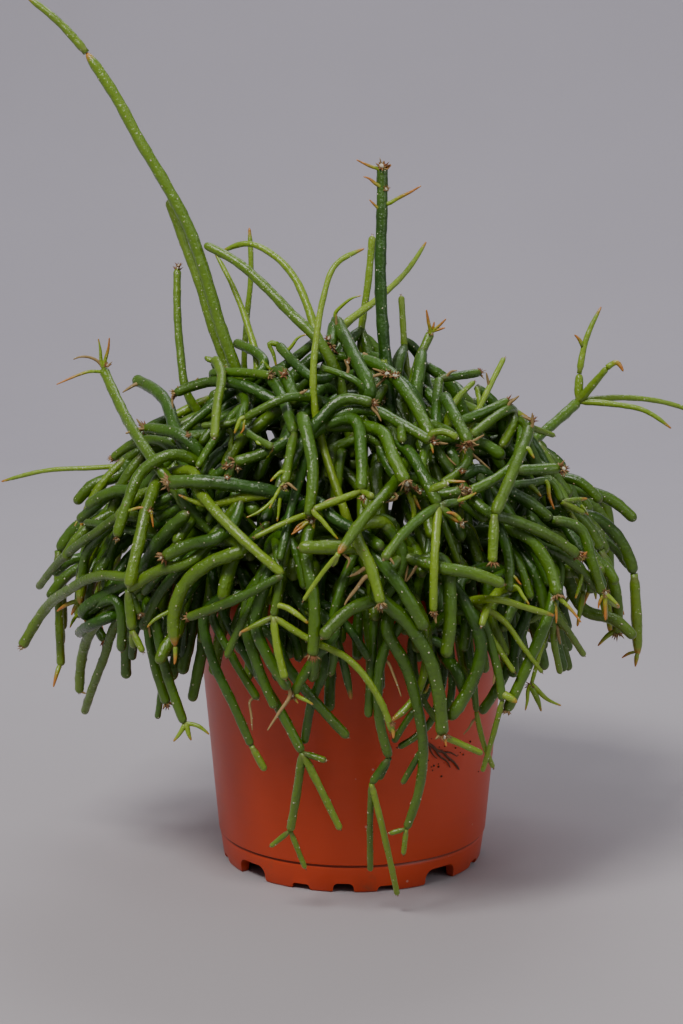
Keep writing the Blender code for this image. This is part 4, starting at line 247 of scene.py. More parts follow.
 ("F35", "", 11, 10, "S", 8, 0, 0.2, "t", ((398, 474), (388, 486), (376, 500), (364, 515), (353, 530), (344, 544), (337, 552))),
 ("F36", "F35", 7, 6, "S", 0, 0, 0.8, "w", ((337, 552), (331, 564))),
 ("F37", "F35", 5, 4, "S", 0, -2, 0.9, "w", ((337, 552), (327, 563), (315, 580), (302, 599))),
 ("F38", "", 13, 10, "S", 4, -2, 0.5, "b", ((354, 528), (360, 542), (366, 557), (372, 572), (377, 588), (380, 603))),
 ("F39", "", 12, 12, "S", 6, 2, 0.1, "", ((374, 550), (386, 566), (396, 581), (406, 595), (416, 610), (424, 628))),
 ("F40", "", 12, 12, "S", 6, 0, 0.15, "w", ((384, 592), (370, 597), (355, 603), (341, 615), (329, 627), (320, 637))),
 ("F41", "", 14, 12, "S", 4, 0, 0.2, "b", ((376, 590), (390, 604), (405, 620), (419, 640), (429, 660), (436, 686), (440, 710), (441, 734))),
 ("F42", "F41", 7, 6, "S", 0, 0, 0.75, "w", ((440, 722), (455, 733), (468, 743), (481, 752))),
 ("F43", "", 9, 9, "S", 16, 14, 0.0, "", ((352, 556), (345, 571), (339, 588), (334, 604), (331, 620))),
 ("F44", "", 9, 8, "S", 20, 14, 0.05, "", ((378, 600), (375, 622), (372, 645), (370, 668), (368, 692), (367, 716))),
 ("F45", "", 10, 9, "S", 14, 12, 0.1, "", ((404, 614), (392, 630), (384, 645), (379, 665), (376, 688), (377, 712), (382, 734), (388, 756))),
 ("F46", "F45", 8, 7, "S", 12, 10, 0.1, "", ((386, 750), (379, 765), (370, 782))),
 ("F47", "F46", 6, 6, "S", 10, 12, 0.35, "", ((370, 782), (368, 805), (369, 835), (369, 869))),
 ("F48", "F46", 7, 6, "S", 10, 4, 0.8, "w", ((370, 782), (378, 810), (386, 848), (396, 893))),
 ("F49", "F45", 7, 6, "S", 12, 12, 0.15, "", ((388, 756), (384, 767), (378, 778))),
 ("F50", "", 12, 8, "S", 8, 2, 0.2, "w", ((386, 626), (394, 642), (402, 658), (409, 678), (415, 700), (420, 724), (422, 750), (420, 776), (414, 802), (405, 827))),
 ("F51", "F50", 5, 5, "S", 2, 2, 0.4, "", ((405, 827), (397, 829), (388, 832))),
 ("F52", "F50", 6, 5, "S", 2, 0, 0.7, "w", ((405, 827), (404, 841), (402, 853))),
 ("F53", "F50", 6, 6, "S", 2, 6, 0.15, "w", ((422, 750), (411, 768), (401, 782))),
 ("F54", "", 8, 7, "S", 14, 10, 0.5, "t", ((414, 695), (401, 706), (389, 720))),
 ("F55", "", 7, 6, "S", 20, 16, 0.1, "", ((424, 694), (413, 709), (402, 724), (392, 741))),
 ("F56", "", 7, 6, "S", 22, 18, 0.1, "w", ((428, 722), (412, 735), (397, 746))),
 ("F57", "", 7, 6, "S", 16, 14, 0.2, "", ((418, 690), (428, 705), (437, 720))),
 ("F58", "", 8, 7, "S", 18, 16, 0.0, "", ((446, 648), (451, 668), (450, 690), (446, 712))),
 ("F59", "", 9, 8, "S", 24, 20, 0.05, "", ((324, 660), (316, 678), (311, 698), (307, 720), (303, 742))),
 ("F60", "", 10, 9, "S", 14, 10, 0.1, "", ((334, 628), (322, 646), (308, 664), (298, 680), (291, 694))),
 ("F61", "", 10, 9, "S", 14, 10, 0.15, "w", ((288, 668), (300, 684), (314, 700), (329, 718), (347, 736))),
 ("F62", "", 8, 8, "S", 20, 20, 0.05, "w", ((332, 640), (330, 658), (329, 674))),
 ("F63", "", 8, 7, "S", 20, 18, 0.05, "t", ((340, 654), (346, 668), (350, 684), (350, 698))),
 ("F64", "", 8, 8, "S", 18, 16, 0.05, "", ((342, 620), (352, 634), (362, 648), (368, 658))),
 ("F65", "", 9, 9, "S", 22, 20, 0.05, "", ((286, 626), (292, 642), (298, 660))),
 ("F66", "", 10, 9, "S", 24, 22, 0.05, "", ((338, 600), (336, 620), (335, 642), (336, 660))),
 # right side
 ("G01", "", 12, 11, "S", 6, 0, 0.25, "w", ((440, 566), (452, 571), (466, 571), (480, 574), (492, 579), (503, 583))),
 ("G02", "", 13, 12, "S", 6, 4, 0.2, "", ((440, 558), (444, 575), (448, 595), (449, 615), (447, 636), (444, 656))),
 ("G03", "", 12, 12, "S", 8, 2, 0.15, "", ((446, 578), (458, 595), (469, 611), (477, 629), (480, 648), (477, 667), (468, 686), (457, 702), (447, 718))),
 ("G04", "", 9, 8, "S", 8, 4, 0.1, "w", ((474, 612), (484, 630), (491, 648), (496, 668), (499, 685), (501, 699))),
 ("G05", "G04", 6, 5, "S", 4, 8, 0.6, "", ((501, 699), (497, 715), (490, 740), (481, 770))),
 ("G06", "G04", 8, 5, "S", 8, 4, 0.65, "w", ((484, 630), (495, 643), (505, 657), (513, 671))),
 ("G07", "", 7, 6, "S", 14, 12, 0.1, "w", ((471, 676), (474, 694), (475, 710))),
 ("G08", "G07", 6, 5, "S", 12, 8, 0.8, "w", ((475, 710), (479, 730), (485, 750), (492, 766))),
 ("G09", "", 10, 9, "S", 20, 20, 0.05, "", ((502, 676), (490, 695), (479, 712))),
 ("G10", "", 11, 10, "S", 4, 0, 0.2, "b", ((486, 510), (500, 517), (515, 520), (530, 525), (546, 533), (561, 543), (577, 554))),
 ("G11", "", 11, 11, "S", 10, 8, 0.1, "", ((498, 484), (510, 490), (522, 497), (535, 506), (550, 518))),
 ("G12", "G11", 11, 9, "S", 8, 4, 0.2, "", ((550, 518), (564, 518), (576, 524), (584, 537), (589, 553), (594, 573), (601, 593))),
 ("G13", "", 10, 9, "S", 10, 8, 0.15, "", ((528, 537), (544, 545), (560, 553), (574, 563), (587, 577), (598, 590))),
 ("G14", "G12", 8, 7, "S", 4, 4, 0.7, "t", ((601, 593), (610, 599), (618, 606))),
 ("G15", "G12", 8, 7, "S", 4, 4, 0.7, "t", ((601, 593), (603, 605), (605, 618))),
 ("G16", "", 10, 9, "S", 8, 4, 0.1, "", ((493, 514), (500, 530), (506, 548), (508, 568), (508, 590))),
 ("G17", "", 12, 11, "S", 10, 6, 0.15, "b", ((500, 522), (515, 529), (530, 539), (542, 554), (551, 573), (556, 595))),
 ("G18", "", 9, 8, "S", 14, 10, 0.1, "", ((506, 538), (514, 554), (522, 572), (530, 598))),
 ("G19", "", 11, 11, "S", 18, 14, 0.1, "", ((512, 540), (524, 556), (535, 574), (543, 594), (545, 614))),
 ("G20", "", 7, 6, "S", 4, 0, 0.8, "t", ((496, 598), (510, 602), (525, 606), (540, 610), (553, 614))),
 ("G21", "", 7, 6, "S", 22, 22, 0.05, "", ((556, 556), (558, 575), (557, 597))),
 ("G22", "", 11, 10, "S", 12, 8, 0.15, "b", ((552, 598), (546, 615), (540, 631), (533, 648), (524, 668), (515, 688), (505, 710))),
 ("G23", "", 10, 10, "S", 22, 20, 0.05, "", ((526, 612), (517, 632), (513, 652), (512, 676))),
 ("G24", "", 7, 6, "S", 14, 14, 0.4, "w", ((550, 604), (560, 619), (571, 636), (583, 654))),
 ("G25", "", 7, 6, "S", 18, 18, 0.35, "", ((548, 612), (552, 632), (554, 652), (559, 672))),
 ("G26", "", 5, 4, "S", 22, 18, 0.7, "", ((547, 626), (541, 645), (535, 664), (530, 683))),
 ("G27", "", 6, 4, "S", 4, 0, 0.8, "w", ((503, 620), (514, 636), (527, 652), (541, 671))),
 ("G28", "", 10, 9, "S", 8, 6, 0.15, "", ((514, 600), (506, 613), (501, 630))),
 ("G29", "", 9, 8, "S", 14, 12, 0.35, "", ((492, 602), (494, 620), (499, 638), (506, 654))),
 ("G30", "", 8, 7, "S", 6, 2, 0.8, "w", ((489, 600), (485, 612), (480, 625))),
 ("G31", "", 8, 7, "S", 18, 16, 0.1, "", ((507, 486), (521, 484), (534, 480), (547, 479), (555, 486), (560, 500))),
 ("G32", "G31", 6, 5, "S", 16, 14, 0.5, "t", ((558, 490), (572, 490), (586, 497))),
 ("G33", "G31", 7, 6, "S", 16, 16, 0.7, "w", ((560, 500), (572, 505), (583, 512))),
 ("G34", "", 8, 7, "S", 20, 18, 0.15, "", ((574, 560), (580, 576), (582, 590))),
 ("G35", "G34", 6, 5, "S", 18, 18, 0.6, "t", ((582, 588), (580, 606), (576, 625))),
 ("G36", "", 10, 10, "S", 20, 16, 0.05, "", ((488, 582), (489, 600), (486, 618), (480, 640))),
 ("G37", "", 11, 10, "S", 20, 16, 0.05, "", ((458, 582), (463, 604), (466, 626), (462, 650))),
 ("G38", "", 8, 7, "S", 16, 14, 0.1, "", ((430, 512), (427, 530), (425, 548), (423, 566))),
 ("G39", "", 7, 6, "S", 12, 10, 0.2, "", ((440, 516), (447, 532), (453, 547), (458, 562))),
)

# Small growth on the drawn stems: width at base, width at tip, colour, centreline on the drawing grid.
# colours: g fresh green, y yellow-green, o orange-brown, t dry tan, w green with a pale end
SPROUTS = (
 (4, 2, "y", ((100, 360), (99, 348), (97, 337))), (4, 2, "o", ((104, 358), (107, 347), (108, 336))),
 (3, 2, "t", ((98, 361), (92, 357), (84, 355), (76, 356), (72, 358))),
 (3.4, 2, "o", ((97, 370), (88, 370), (78, 373), (66, 378), (55, 383))),
 (4, 2, "t", ((134, 383), (127, 387), (121, 391))), (3, 2, "t", ((143, 427), (140, 423), (138, 420))),
 (3, 2, "t", ((143, 427), (138, 421), (135, 417))), (4, 2.4, "t", ((143, 427), (133, 429), (124, 432))),
 (8, 7, "w", ((165, 463), (175, 466), (187, 470))),
 (5, 4, "g", ((205, 357), (215, 361), (224, 366))), (5, 3, "g", ((268, 342), (272, 352), (275, 365))),
 (5, 3, "g", ((261, 360), (266, 365), (272, 370))), (3, 2, "t", ((172, 393), (171, 400), (172, 407))),
 (3, 2, "t", ((182, 392), (178, 388), (176, 384))), (3, 2, "t", ((190, 384), (194, 380), (197, 376))),
 (3.6, 2, "y", ((290, 345), (297, 336), (305, 333))),
 (4, 2, "o", ((378, 168), (370, 165), (363, 162), (355, 158))), (4, 2, "o", ((380, 186), (374, 182), (368, 177), (362, 175))),
 (3, 2, "o", ((377, 207), (372, 202), (368, 198))), (4.4, 2, "o", ((387, 202), (398, 196), (410, 190), (420, 184))),
 (3, 2, "o", ((384, 168), (387, 166), (390, 163))), (4, 2, "y", ((334, 312), (342, 303), (350, 297), (360, 294))),
 (4.4, 2.4, "o", ((429, 332), (427, 320), (425, 308))), (4, 2, "o", ((431, 330), (438, 324), (445, 317))),
 (4, 2, "o", ((431, 330), (437, 328), (444, 326))), (3, 2, "o", ((430, 330), (432, 325), (433, 320))),
 (5, 3, "g", ((383, 358), (385, 364), (387, 370))), (4, 2.4, "t", ((386, 372), (375, 374), (363, 378))),
 (3, 2, "t", ((383, 372), (377, 369), (371, 367))), (3, 2, "t", ((383, 377), (375, 385), (367, 393))),
 (4, 2, "t", ((371, 406), (376, 412), (380, 420))),
 (7, 6, "w", ((430, 433), (440, 430), (457, 437))), (4, 2, "t", ((437, 441), (442, 442), (447, 442))),
 (3, 2, "t", ((436, 445), (445, 455), (455, 464))), (3, 2, "t", ((436, 450), (438, 455), (440, 460))),
 (3, 2, "o", ((430, 442), (431, 447), (432, 452))), (4, 2, "t", ((462, 445), (473, 439), (483, 433))),
 (4, 2, "t", ((462, 445), (470, 444), (478, 443))), (4, 2, "y", ((462, 446), (471, 462), (480, 477))),
 (4, 2, "t", ((463, 447), (476, 457), (489, 468))), (3, 2, "t", ((487, 381), (486, 376), (485, 371))),
 (3, 2, "t", ((445, 375), (450, 370), (456, 369))), (3, 2, "t", ((347, 366), (345, 362), (343, 358))),
 (3, 2, "t", ((335, 322), (335, 318), (335, 313))), (4, 2, "t", ((362, 352), (366, 354), (370, 357))),
 (4, 2, "t", ((415, 388), (421, 389), (428, 390))), (4, 2.4, "o", ((581, 345), (578, 338), (573, 333))),
 (5.4, 3, "o", ((606, 366), (616, 361), (620, 366), (622, 370))), (4, 2, "t", ((508, 402), (513, 398), (518, 394))),
 (4, 2, "t", ((531, 424), (531, 418), (531, 411))), (3, 2, "t", ((531, 420), (526, 417), (521, 415))),
 (3.4, 2, "t", ((537, 440), (540, 450), (540, 458))), (5, 3, "y", ((527, 447), (530, 452), (533, 457))),
 (5, 3, "y", ((240, 417), (236, 425), (233, 432))), (3, 1.6, "o", ((243, 420), (242, 428), (239, 432))),
 (4, 2, "y", ((255, 441), (262, 443), (270, 446))), (4, 2, "y", ((283, 437), (277, 441), (271, 446))),
 (4, 2, "y", ((265, 456), (268, 452), (272, 448))),
 (5, 2.4, "y", ((281, 470), (275, 474), (269, 480))), (3.4, 2, "t", ((287, 482), (291, 485), (296, 489))),
 (4.4, 2.4, "y", ((280, 485), (274, 495), (268, 507))), (4.4, 2.4, "y", ((278, 488), (270, 500), (258, 510), (245, 516))),
 (5, 2.6, "y", ((278, 492), (278, 505), (276, 520))), (5, 3, "y", ((284, 490), (285, 494), (286, 497))),
 (4.4, 2.4, "t", ((335, 497), (325, 501), (315, 507), (311, 509))), (3.4, 2, "t", ((299, 392), (303, 390), (306, 388))),
 (5, 4, "w", ((230, 432), (229, 445), (231, 452))), (5, 3, "g", ((186, 405), (191, 403), (196, 402))),
 (3.6, 2, "o", ((128, 509), (140, 506), (148, 508))), (3.4, 2, "o", ((149, 510), (151, 518), (152, 526))),
 (4.4, 3, "g", ((169, 609), (158, 615), (150, 621), (146, 626))), (2.8, 2, "t", ((147, 624), (148, 630), (149, 636))),
 (5, 2.4, "o", ((174, 650), (174, 657), (173, 663))), (5, 3, "y", ((184, 722), (179, 731), (172, 740))),
 (6, 3, "y", ((185, 722), (187, 731), (190, 739))), (5, 3, "y", ((186, 722), (196, 724), (208, 733))),
 (3, 2, "t", ((80, 690), (82, 691), (85, 692))),
 (5, 2.4, "o", ((308, 520), (300, 526), (290, 533))), (5, 2.4, "o", ((312, 522), (311, 529), (310, 536))),
 (4, 2, "o", ((306, 521), (297, 524), (292, 531))), (6, 3, "y", ((313, 511), (320, 518), (330, 530), (337, 538))),
 (6, 5, "y", ((277, 604), (285, 606), (295, 612), (307, 622))), (3, 2, "t", ((240, 630), (239, 632), (238, 635))),
 (3, 1.8, "t", ((249, 699), (250, 714), (251, 729))), (4.4, 2.2, "t", ((289, 692), (277, 712), (266, 729))),
 (4.4, 3, "y", ((294, 692), (305, 699), (312, 703))), (3.4, 2, "y", ((292, 694), (294, 698), (297, 702))),
 (6, 3, "y", ((408, 490), (412, 505), (412, 520), (407, 530), (404, 538))), (6, 3, "g", ((404, 488), (396, 493), (388, 500))),
 (4.4, 2.4, "o", ((413, 495), (416, 502), (419, 508))), (3.4, 2, "t", ((396, 496), (390, 499), (384, 501))),
 (3.4, 2, "t", ((343, 553), (348, 558), (345, 567))), (3, 2, "t", ((389, 557), (391, 560), (393, 563))),
 (3.6, 2.4, "t", ((434, 612), (434, 617), (435, 622))),
 (4.4, 2.4, "o", ((460, 520), (452, 512), (445, 511))), (4, 2.2, "y", ((462, 524), (460, 535), (457, 541))),
 (3.6, 2, "y", ((463, 525), (464, 531), (464, 538))), (4.8, 2.4, "y", ((463, 521), (470, 525), (475, 535), (479, 545), (482, 550))),
 (4.6, 2.4, "y", ((456, 524), (450, 537), (444, 550), (440, 559))), (4.4, 2.4, "y", ((458, 499), (468, 495), (475, 491))),
 (4.4, 2.4, "o", ((447, 480), (455, 480), (464, 480))), (8, 7, "w", ((430, 490), (440, 484), (447, 482))),
 (4.4, 2.6, "t", ((363, 567), (355, 572), (348, 575))), (4.6, 2.2, "t", ((365, 575), (355, 587), (345, 600), (343, 604))),
 (4.4, 2.4, "t", ((405, 562), (405, 571), (404, 580))), (3.4, 2.2, "t", ((418, 562), (410, 573), (405, 580))),
 (4.4, 2.4, "o", ((443, 734), (444, 739), (445, 745))), (3.6, 2.4, "o", ((424, 690), (426, 686), (428, 682))),
 (3.2, 1.8, "t", ((386, 660), (393, 675), (400, 695))), (4.4, 2.6, "o", ((391, 728), (392, 732), (392, 737))),
 (3, 1.6, "t", ((473, 718), (468, 726), (462, 733))), (3.4, 2.2, "t", ((494, 672), (493, 677), (492, 683))),
 (4, 2.2, "o", ((581, 558), (583, 553), (586, 550))), (5, 2.6, "o", ((545, 480), (548, 495), (553, 508))),
 (6, 4, "g", ((530, 485), (535, 490), (540, 495))), (5, 3, "g", ((580, 572), (578, 585), (574, 597))),
 (4.4, 3, "y", ((515, 585), (522, 595), (528, 603))), (3.4, 2, "o", ((513, 575), (516, 579), (520, 583))),
 (4.4, 2.2, "o", ((557, 596), (567, 605), (580, 621))), (4, 2.2, "o", ((553, 600), (555, 611), (555, 622))),
 (4.4, 2.6, "t", ((555, 625), (557, 634), (559, 643))), (6, 3, "g", ((530, 685), (537, 700), (540, 710))),
 (5.4, 2.8, "y", ((533, 685), (545, 697), (560, 704))), (4.4, 2.4, "y", ((527, 688), (526, 699), (524, 709))),
 (9, 6, "y", ((503, 693), (510, 697), (516, 701))), (5, 3, "y", ((604, 592), (611, 598), (618, 605))),
 (5, 3, "o", ((603, 594), (604, 606), (604, 619))), (4, 2, "o", ((602, 592), (598, 601), (597, 607))),
)
# Bristly bud clusters on the drawn stems: place and size on the grid
BUDS = (
 (106, 364, 5), (283, 373, 6), (177, 264, 4), (381, 165, 8), (385, 188, 4), (394, 374, 6), (386, 372, 6), (373, 402, 6),
 (382, 400, 5), (432, 440, 6), (462, 445, 6), (460, 470, 4), (347, 360, 4), (327, 337, 4), (531, 419, 5), (562, 467, 6),
 (226, 465, 5), (236, 467, 4), (222, 460, 4), (226, 476, 4), (166, 481, 4), (187, 434, 4), (149, 509, 4), (20, 646, 4),
 (160, 556, 4), (139, 613, 4), (115, 537, 4), (166, 704, 4), (261, 526, 4), (283, 485, 5), (310, 520, 5), (291, 694, 5),
 (407, 488, 5), (415, 487, 4), (419, 490, 4), (362, 496, 5), (433, 612, 4), (460, 522, 5), (457, 488, 4), (462, 490, 4),
 (380, 605, 5), (311, 656, 4), (443, 735, 5), (391, 722, 4), (581, 556, 5), (529, 684, 5), (604, 591, 5), (429, 331, 5),
)



def view_basis():
    c, s = math.cos(EYE_PITCH), math.sin(EYE_PITCH)
    return np.array([1.0, 0, 0]), np.array([0, c, -s]), np.array([0, s, c])


def grid_ray(gx, gy):
    """Direction from EYE through a point of the drawing grid, with one unit of travel along Y."""
    right, ahead, up = view_basis()
    d = ahead + right * ((gx - GRID_X0) / GRID_REACH) + up * ((GRID_Y0 - gy) / GRID_REACH)
    return d / d[1]


def grid_point(gx, gy, y):
    return np.array(EYE) + grid_ray(gx, gy) * (y - EYE[1])


def crown_y(gx, gy):
    """Y of the crown's outer surface on the ray through a grid point."""
    y = -0.05
    for _ in range(12):
        p = grid_point(gx, gy, y)
        rz = CROWN_RZ_UP if p[2] > CROWN_Z else CROWN_RZ_DOWN
        q = 1.0 - (p[0] / CROWN_RX) ** 2 - ((p[2] - CROWN_Z) / rz) ** 2
        depth = CROWN_RY * math.sqrt(0.5 * (q + math.sqrt(q * q + 0.012)))
        y = 0.5 * y + 0.5 * (-depth)
    return y


def unit_to_m(y):
    return (y - EYE[1]) / (math.cos(EYE_PITCH) * GRID_REACH) * 0.985


def catmull(P, t):
    """Centripetal-like smooth curve through P, t in 0..len(P)-1."""
    n = len(P)
    i = min(int(t), n - 2)
    u = t - i
    p1, p2 = P[i], P[i + 1]
    p0 = P[i - 1] if i > 0 else 2 * p1 - p2
    p3 = P[i + 2] if i + 2 < n else 2 * p2 - p1
    return 0.5 * ((2 * p1) + (p2 - p0) * u + (2 * p0 - 5 * p1 + 4 * p2 - p3) * u * u
                  + (3 * p1 - p0 - 3 * p2 + p3) * u ** 3)


def resample(P, spans):
    """Points at equal steps of length along the smooth curve through P."""
    P = [np.array(p, float) for p in P]
    fine = [catmull(P, (len(P) - 1) * k / 120.0) for k in range(121)]
    L = [0.0]
    for a, b in zip(fine, fine[1:]):
        L.append(L[-1] + float(np.linalg.norm(b - a)))
    out = []
    for k in range(spans + 1):
        s = L[-1] * k / spans
        j = max(0, min(119, int(np.searchsorted(L, s)) - 1))
        f = (s - L[j]) / max(L[j + 1] - L[j], 1e-12)
        out.append(fine[j] * (1 - f) + fine[j + 1] * f)
    return out, L[-1]


def turn_of(P):
    P = [np.array(p, float) for p in P]
    total = 0.0
    for a, b, c in zip(P, P[1:], P[2:]):
        u, v = b - a, c - b
        cosv = float(u @ v) / max(np.linalg.norm(u) * np.linalg.norm(v), 1e-12)
        total += math.acos(max(-1.0, min(1.0, cosv)))
    return total


def to_grid(p):
    """Place of a point on the drawing grid."""
    right, ahead, up = view_basis()
    v = np.asarray(p, float) - np.array(EYE)
    a = v @ ahead
    return GRID_X0 + GRID_REACH * (v @ right) / a, GRID_Y0 - GRID_REACH * (v @ up) / a


def crown_outline(gx):
    """Upper edge of the crown on the drawing grid, half an ellipse."""
    q = 1.0 - ((gx - 335.0) / 262.0) ** 2
    return 572.0 - 206.0 * math.sqrt(max(q, 0.0))


class Plant:
    """Centrelines of every stem as chains of shared points, with the radius at each."""

    def __init__(self):
        self.pos, self.rad, self.kind, self.ray = [], [], [], []
        self.stems = []

    def add_point(self, p, r, kind, ray=None):
        self.pos.append(np.array(p, float))
        self.rad.append(float(r))
        self.kind.append(kind)            # 0 fixed, 1 slides along its sight line, 2 free
        self.ray.append(np.array(ray if ray is not None else (0, 1, 0), float))
        return len(self.pos) - 1

    def add_stem(self, name, ids, radii, shoot, parent, youth, tip, front):
        self.stems.append(dict(name=name, ids=ids, radii=radii, shoot=shoot, parent=parent,
                               youth=youth, tip=tip, front=front))
        return len(self.stems) - 1


def wall_radius(z):
    """Outside radius of the pot at height z, with the collar."""
    if z > POT_HEIGHT - POT_COLLAR_HEIGHT - 0.002:
        return POT_COLLAR_RADIUS
    f = (z - FOOT_HEIGHT) / (POT_HEIGHT - POT_COLLAR_HEIGHT - FOOT_HEIGHT)
    return POT_BASE_RADIUS + (POT_TOP_RADIUS - POT_BASE_RADIUS) * max(0.0, min(1.0, f))


# Shoots: each is one rooted cutting. Azimuth from the front (degrees, counter-clockwise seen
# from above, 0 toward -Y), radius and height of the point where its stem first forks.
def shoot_plan():
    plan = []
    for k in range(11):                                # over the rim, front half
        plan.append((-90.0 + k * 18.0, 0.0668, 0.131 + 0.005 * (k % 2), 0.046))
    for k in range(5):                                 # over the rim, rear half
        plan.append((118.0 + k * 31.0, 0.0665, 0.131 + 0.004 * (k % 2), 0.045))
    for k in range(7):                                 # shoulder of the crown, front half
        plan.append((-84.0 + k * 28.0, 0.045, 0.158 + 0.006 * (k % 2), 0.030))
    for k in range(4):                                 # shoulder of the crown, rear half
        plan.append((122.0 + k * 38.0, 0.046, 0.158 + 0.005 * (k % 2), 0.031))
    for k in range(5):                                 # middle of the crown
        plan.append((k * 72.0 - 20.0, 0.019, 0.178 + 0.005 * (k % 2), 0.013))
    return plan


def polar(az, r, z):
    a = math.radians(az)
    return np.array([r * math.sin(a), -r * math.cos(a), z])


def build_plant():
    rng = np.random.RandomState(11)
    plant = Plant()
    hubs = []
    # rooted lower stems
    for k, (az, r, z, r0) in enumerate(shoot_plan()):
        root = polar(az + rng.uniform(-5, 5), r0, SOIL_TOP + 0.0034)
        hub = polar(az, r, z)
        mid = polar(az, r0 + (r - r0) * 0.30, root[2] + (z - root[2]) * 0.62)
        rad = 0.0024
        ids = [plant.add_point(root, rad, 0), plant.add_point(mid, rad, 2), plant.add_point(hub, rad, 2)]
        plant.add_stem("trunk%02d" % k, ids, [rad, rad, rad], k, -1, 0.0, "", False)
        hubs.append(hub)
    # places where a stem may start: [point, shoot, stem, room]
    sockets = [[plant.stems[k]["ids"][2], k, k, 3] for k in range(len(hubs))]
    load = np.zeros(len(hubs))
    by_name = {}
    # stems drawn on the front elevation
    for name, parent, w0, w1, rule, d0, d1, youth, tip, line in STEMS:
        n = len(line)
        pts = []
        length = sum(math.dist(a, b) for a, b in zip(line, line[1:]))
        run = 0.0
        for i, (gx, gy) in enumerate(line):
            if i:
                run += math.dist(line[i - 1], line[i])
            f = run / length
            off = (d0 + (d1 - d0) * f) * 0.001
            y = off if rule == "Y" else crown_y(gx, gy) + off
            pts.append((gx, gy, y * 1000.0))
        spans = int(max(1, min(8, round(length / 52.0 + turn_of(line) / 1.0))))
        if length > 55:
            spans = max(spans, 2)
        fine, _ = resample(pts, spans)
        ids, radii = [], []
        for i, q in enumerate(fine):
            f = i / float(len(fine) - 1)
            y = q[2] * 0.001
            w = w0 + (w1 - w0) * f
            r = 0.5 * w * unit_to_m(y)
            radii.append(r)
            if i == 0 and parent:
                ps = plant.stems[by_name[parent]]
                best = min(ps["ids"][1:], key=lambda j: float(np.linalg.norm(
                    np.cross(plant.pos[j] - np.array(EYE), grid_ray(q[0], q[1]))
                    / np.linalg.norm(grid_ray(q[0], q[1])))))
                ids.append(best)
                continue
            ids.append(plant.add_point(grid_point(q[0], q[1], y), r, 1, grid_ray(q[0], q[1])))
        if parent:
            ps = plant.stems[by_name[parent]]
            # the joint fixes the depth at the foot of the stem: shift the rest to meet it
            dy = plant.pos[ids[0]][1] - fine[0][2] * 0.001
            for i, j in enumerate(ids[1:], 1):
                f = i / float(len(ids) - 1)
                plant.pos[j] = plant.pos[j] + plant.ray[j] * dy * (1 - 0.5 * f)
            by_name[name] = plant.add_stem(name, ids, radii, ps["shoot"], by_name[parent], youth, tip, True)
            continue
        # hidden run back to the nearest fork of a shoot
        base = plant.pos[ids[0]]
        tan = plant.pos[ids[1]] - base
        tan = tan / np.linalg.norm(tan)
        spot = np.array([plant.pos[q[0]] for q in sockets])
        room = np.array([q[3] for q in sockets])
        aim = spot - base
        dist = np.linalg.norm(aim, axis=1) + 1e-6
        cosb = (aim @ (-tan)) / dist
        inward = (np.hypot(spot[:, 0], spot[:, 1]) - math.hypot(base[0], base[1])) + 0.4 * (spot[:, 2] - base[2])
        cost = (dist * (1.35 - 0.55 * cosb) + np.where(dist < 0.010, 0.02, 0.0)
                + np.maximum(inward, 0) * 0.6 + np.where(room < 1, 10.0, 0.0)
                + 0.0011 * load[np.array([q[1] for q in sockets])])
        k = int(np.argmin(cost))
        point, shoot, owner, _ = sockets[k]
        sockets[k][3] -= 1
        load[shoot] += 1
        hub = spot[k]
        span = dist[k]
        out = base - hub
        t0 = out / span * 0.8 + np.array([0, 0, 0.35])
        count = 0 if span < 0.016 else (1 if span < 0.042 else 2)
        extra = []
        r0 = radii[0]
        rh = max(0.0017, min(r0, 0.0022))
        for c in range(1, count + 1):
            u = c / float(count + 1)
            h00, h10 = 2 * u ** 3 - 3 * u ** 2 + 1, u ** 3 - 2 * u ** 2 + u
            h01, h11 = -2 * u ** 3 + 3 * u ** 2, u ** 3 - u ** 2
            p = h00 * hub + h10 * t0 * span + h01 * base + h11 * tan * span
            p[2] = max(p[2], SOIL_TOP + 0.004)
            extra.append(plant.add_point(p, r0, 2))
        ids = [point] + extra + ids
        radii = [min(rh, 0.0021)] + [rh] * len(extra) + radii
        by_name[name] = plant.add_stem(name, ids, radii, shoot, owner, youth, tip, True)
        plant.stems[-1]["hidden"] = 1 + len(extra)
        for j in extra:
            sockets.append([j, shoot, by_name[name], 2])
    # back and flanks: arching branches that fork and droop
    plan = shoot_plan()
    serial = 0
    for k, (az, r, z, r0) in enumerate(plan):
        back = (1 - math.cos(math.radians(az))) * 0.5          # 0 front, 1 back
        low, mid = k < 16, 16 <= k < 27
        count = int(round((2.7 if low else 2.7 if mid else 2.2) * max(0.0, back * 1.3 - 0.10)))
        hub_id = plant.stems[k]["ids"][2]
        for b in range(count):
            a = az + (b - (count - 1) / 2.0) * 30.0 + rng.uniform(-8, 8)
            a = (a + 180.0) % 360.0 - 180.0
            if abs(a) < 92.0:
                a = math.copysign(92.0 + 6.0 * b, a)
            rise = rng.uniform(-8, 26) if low else rng.uniform(2, 30) if mid else rng.uniform(14, 40)
            length = rng.uniform(0.034, 0.052)
            if low and b % 2 == 1:
                rise -= 30
            radius = rng.uniform(0.0019, 0.0023)
            grow(plant, rng, k, k, hub_id, a, rise, length, radius, 0, "P%03d" % serial)
            serial += 1
    # widest reach to the back equals that to the front
    limit = np.array(plant.pos)
    back_y = limit[:, 1] > 0
    top = float(np.max(limit[:, 1] + np.array(plant.rad)))
    scale = PLANT_HALF_DEPTH / top
    for i, p in enumerate(plant.pos):
        if p[1] > 0 and plant.kind[i] == 2:
            p[1] *= 1 + (scale - 1) * min(1.0, p[1] / 0.05)
    relax(plant)
    return plant


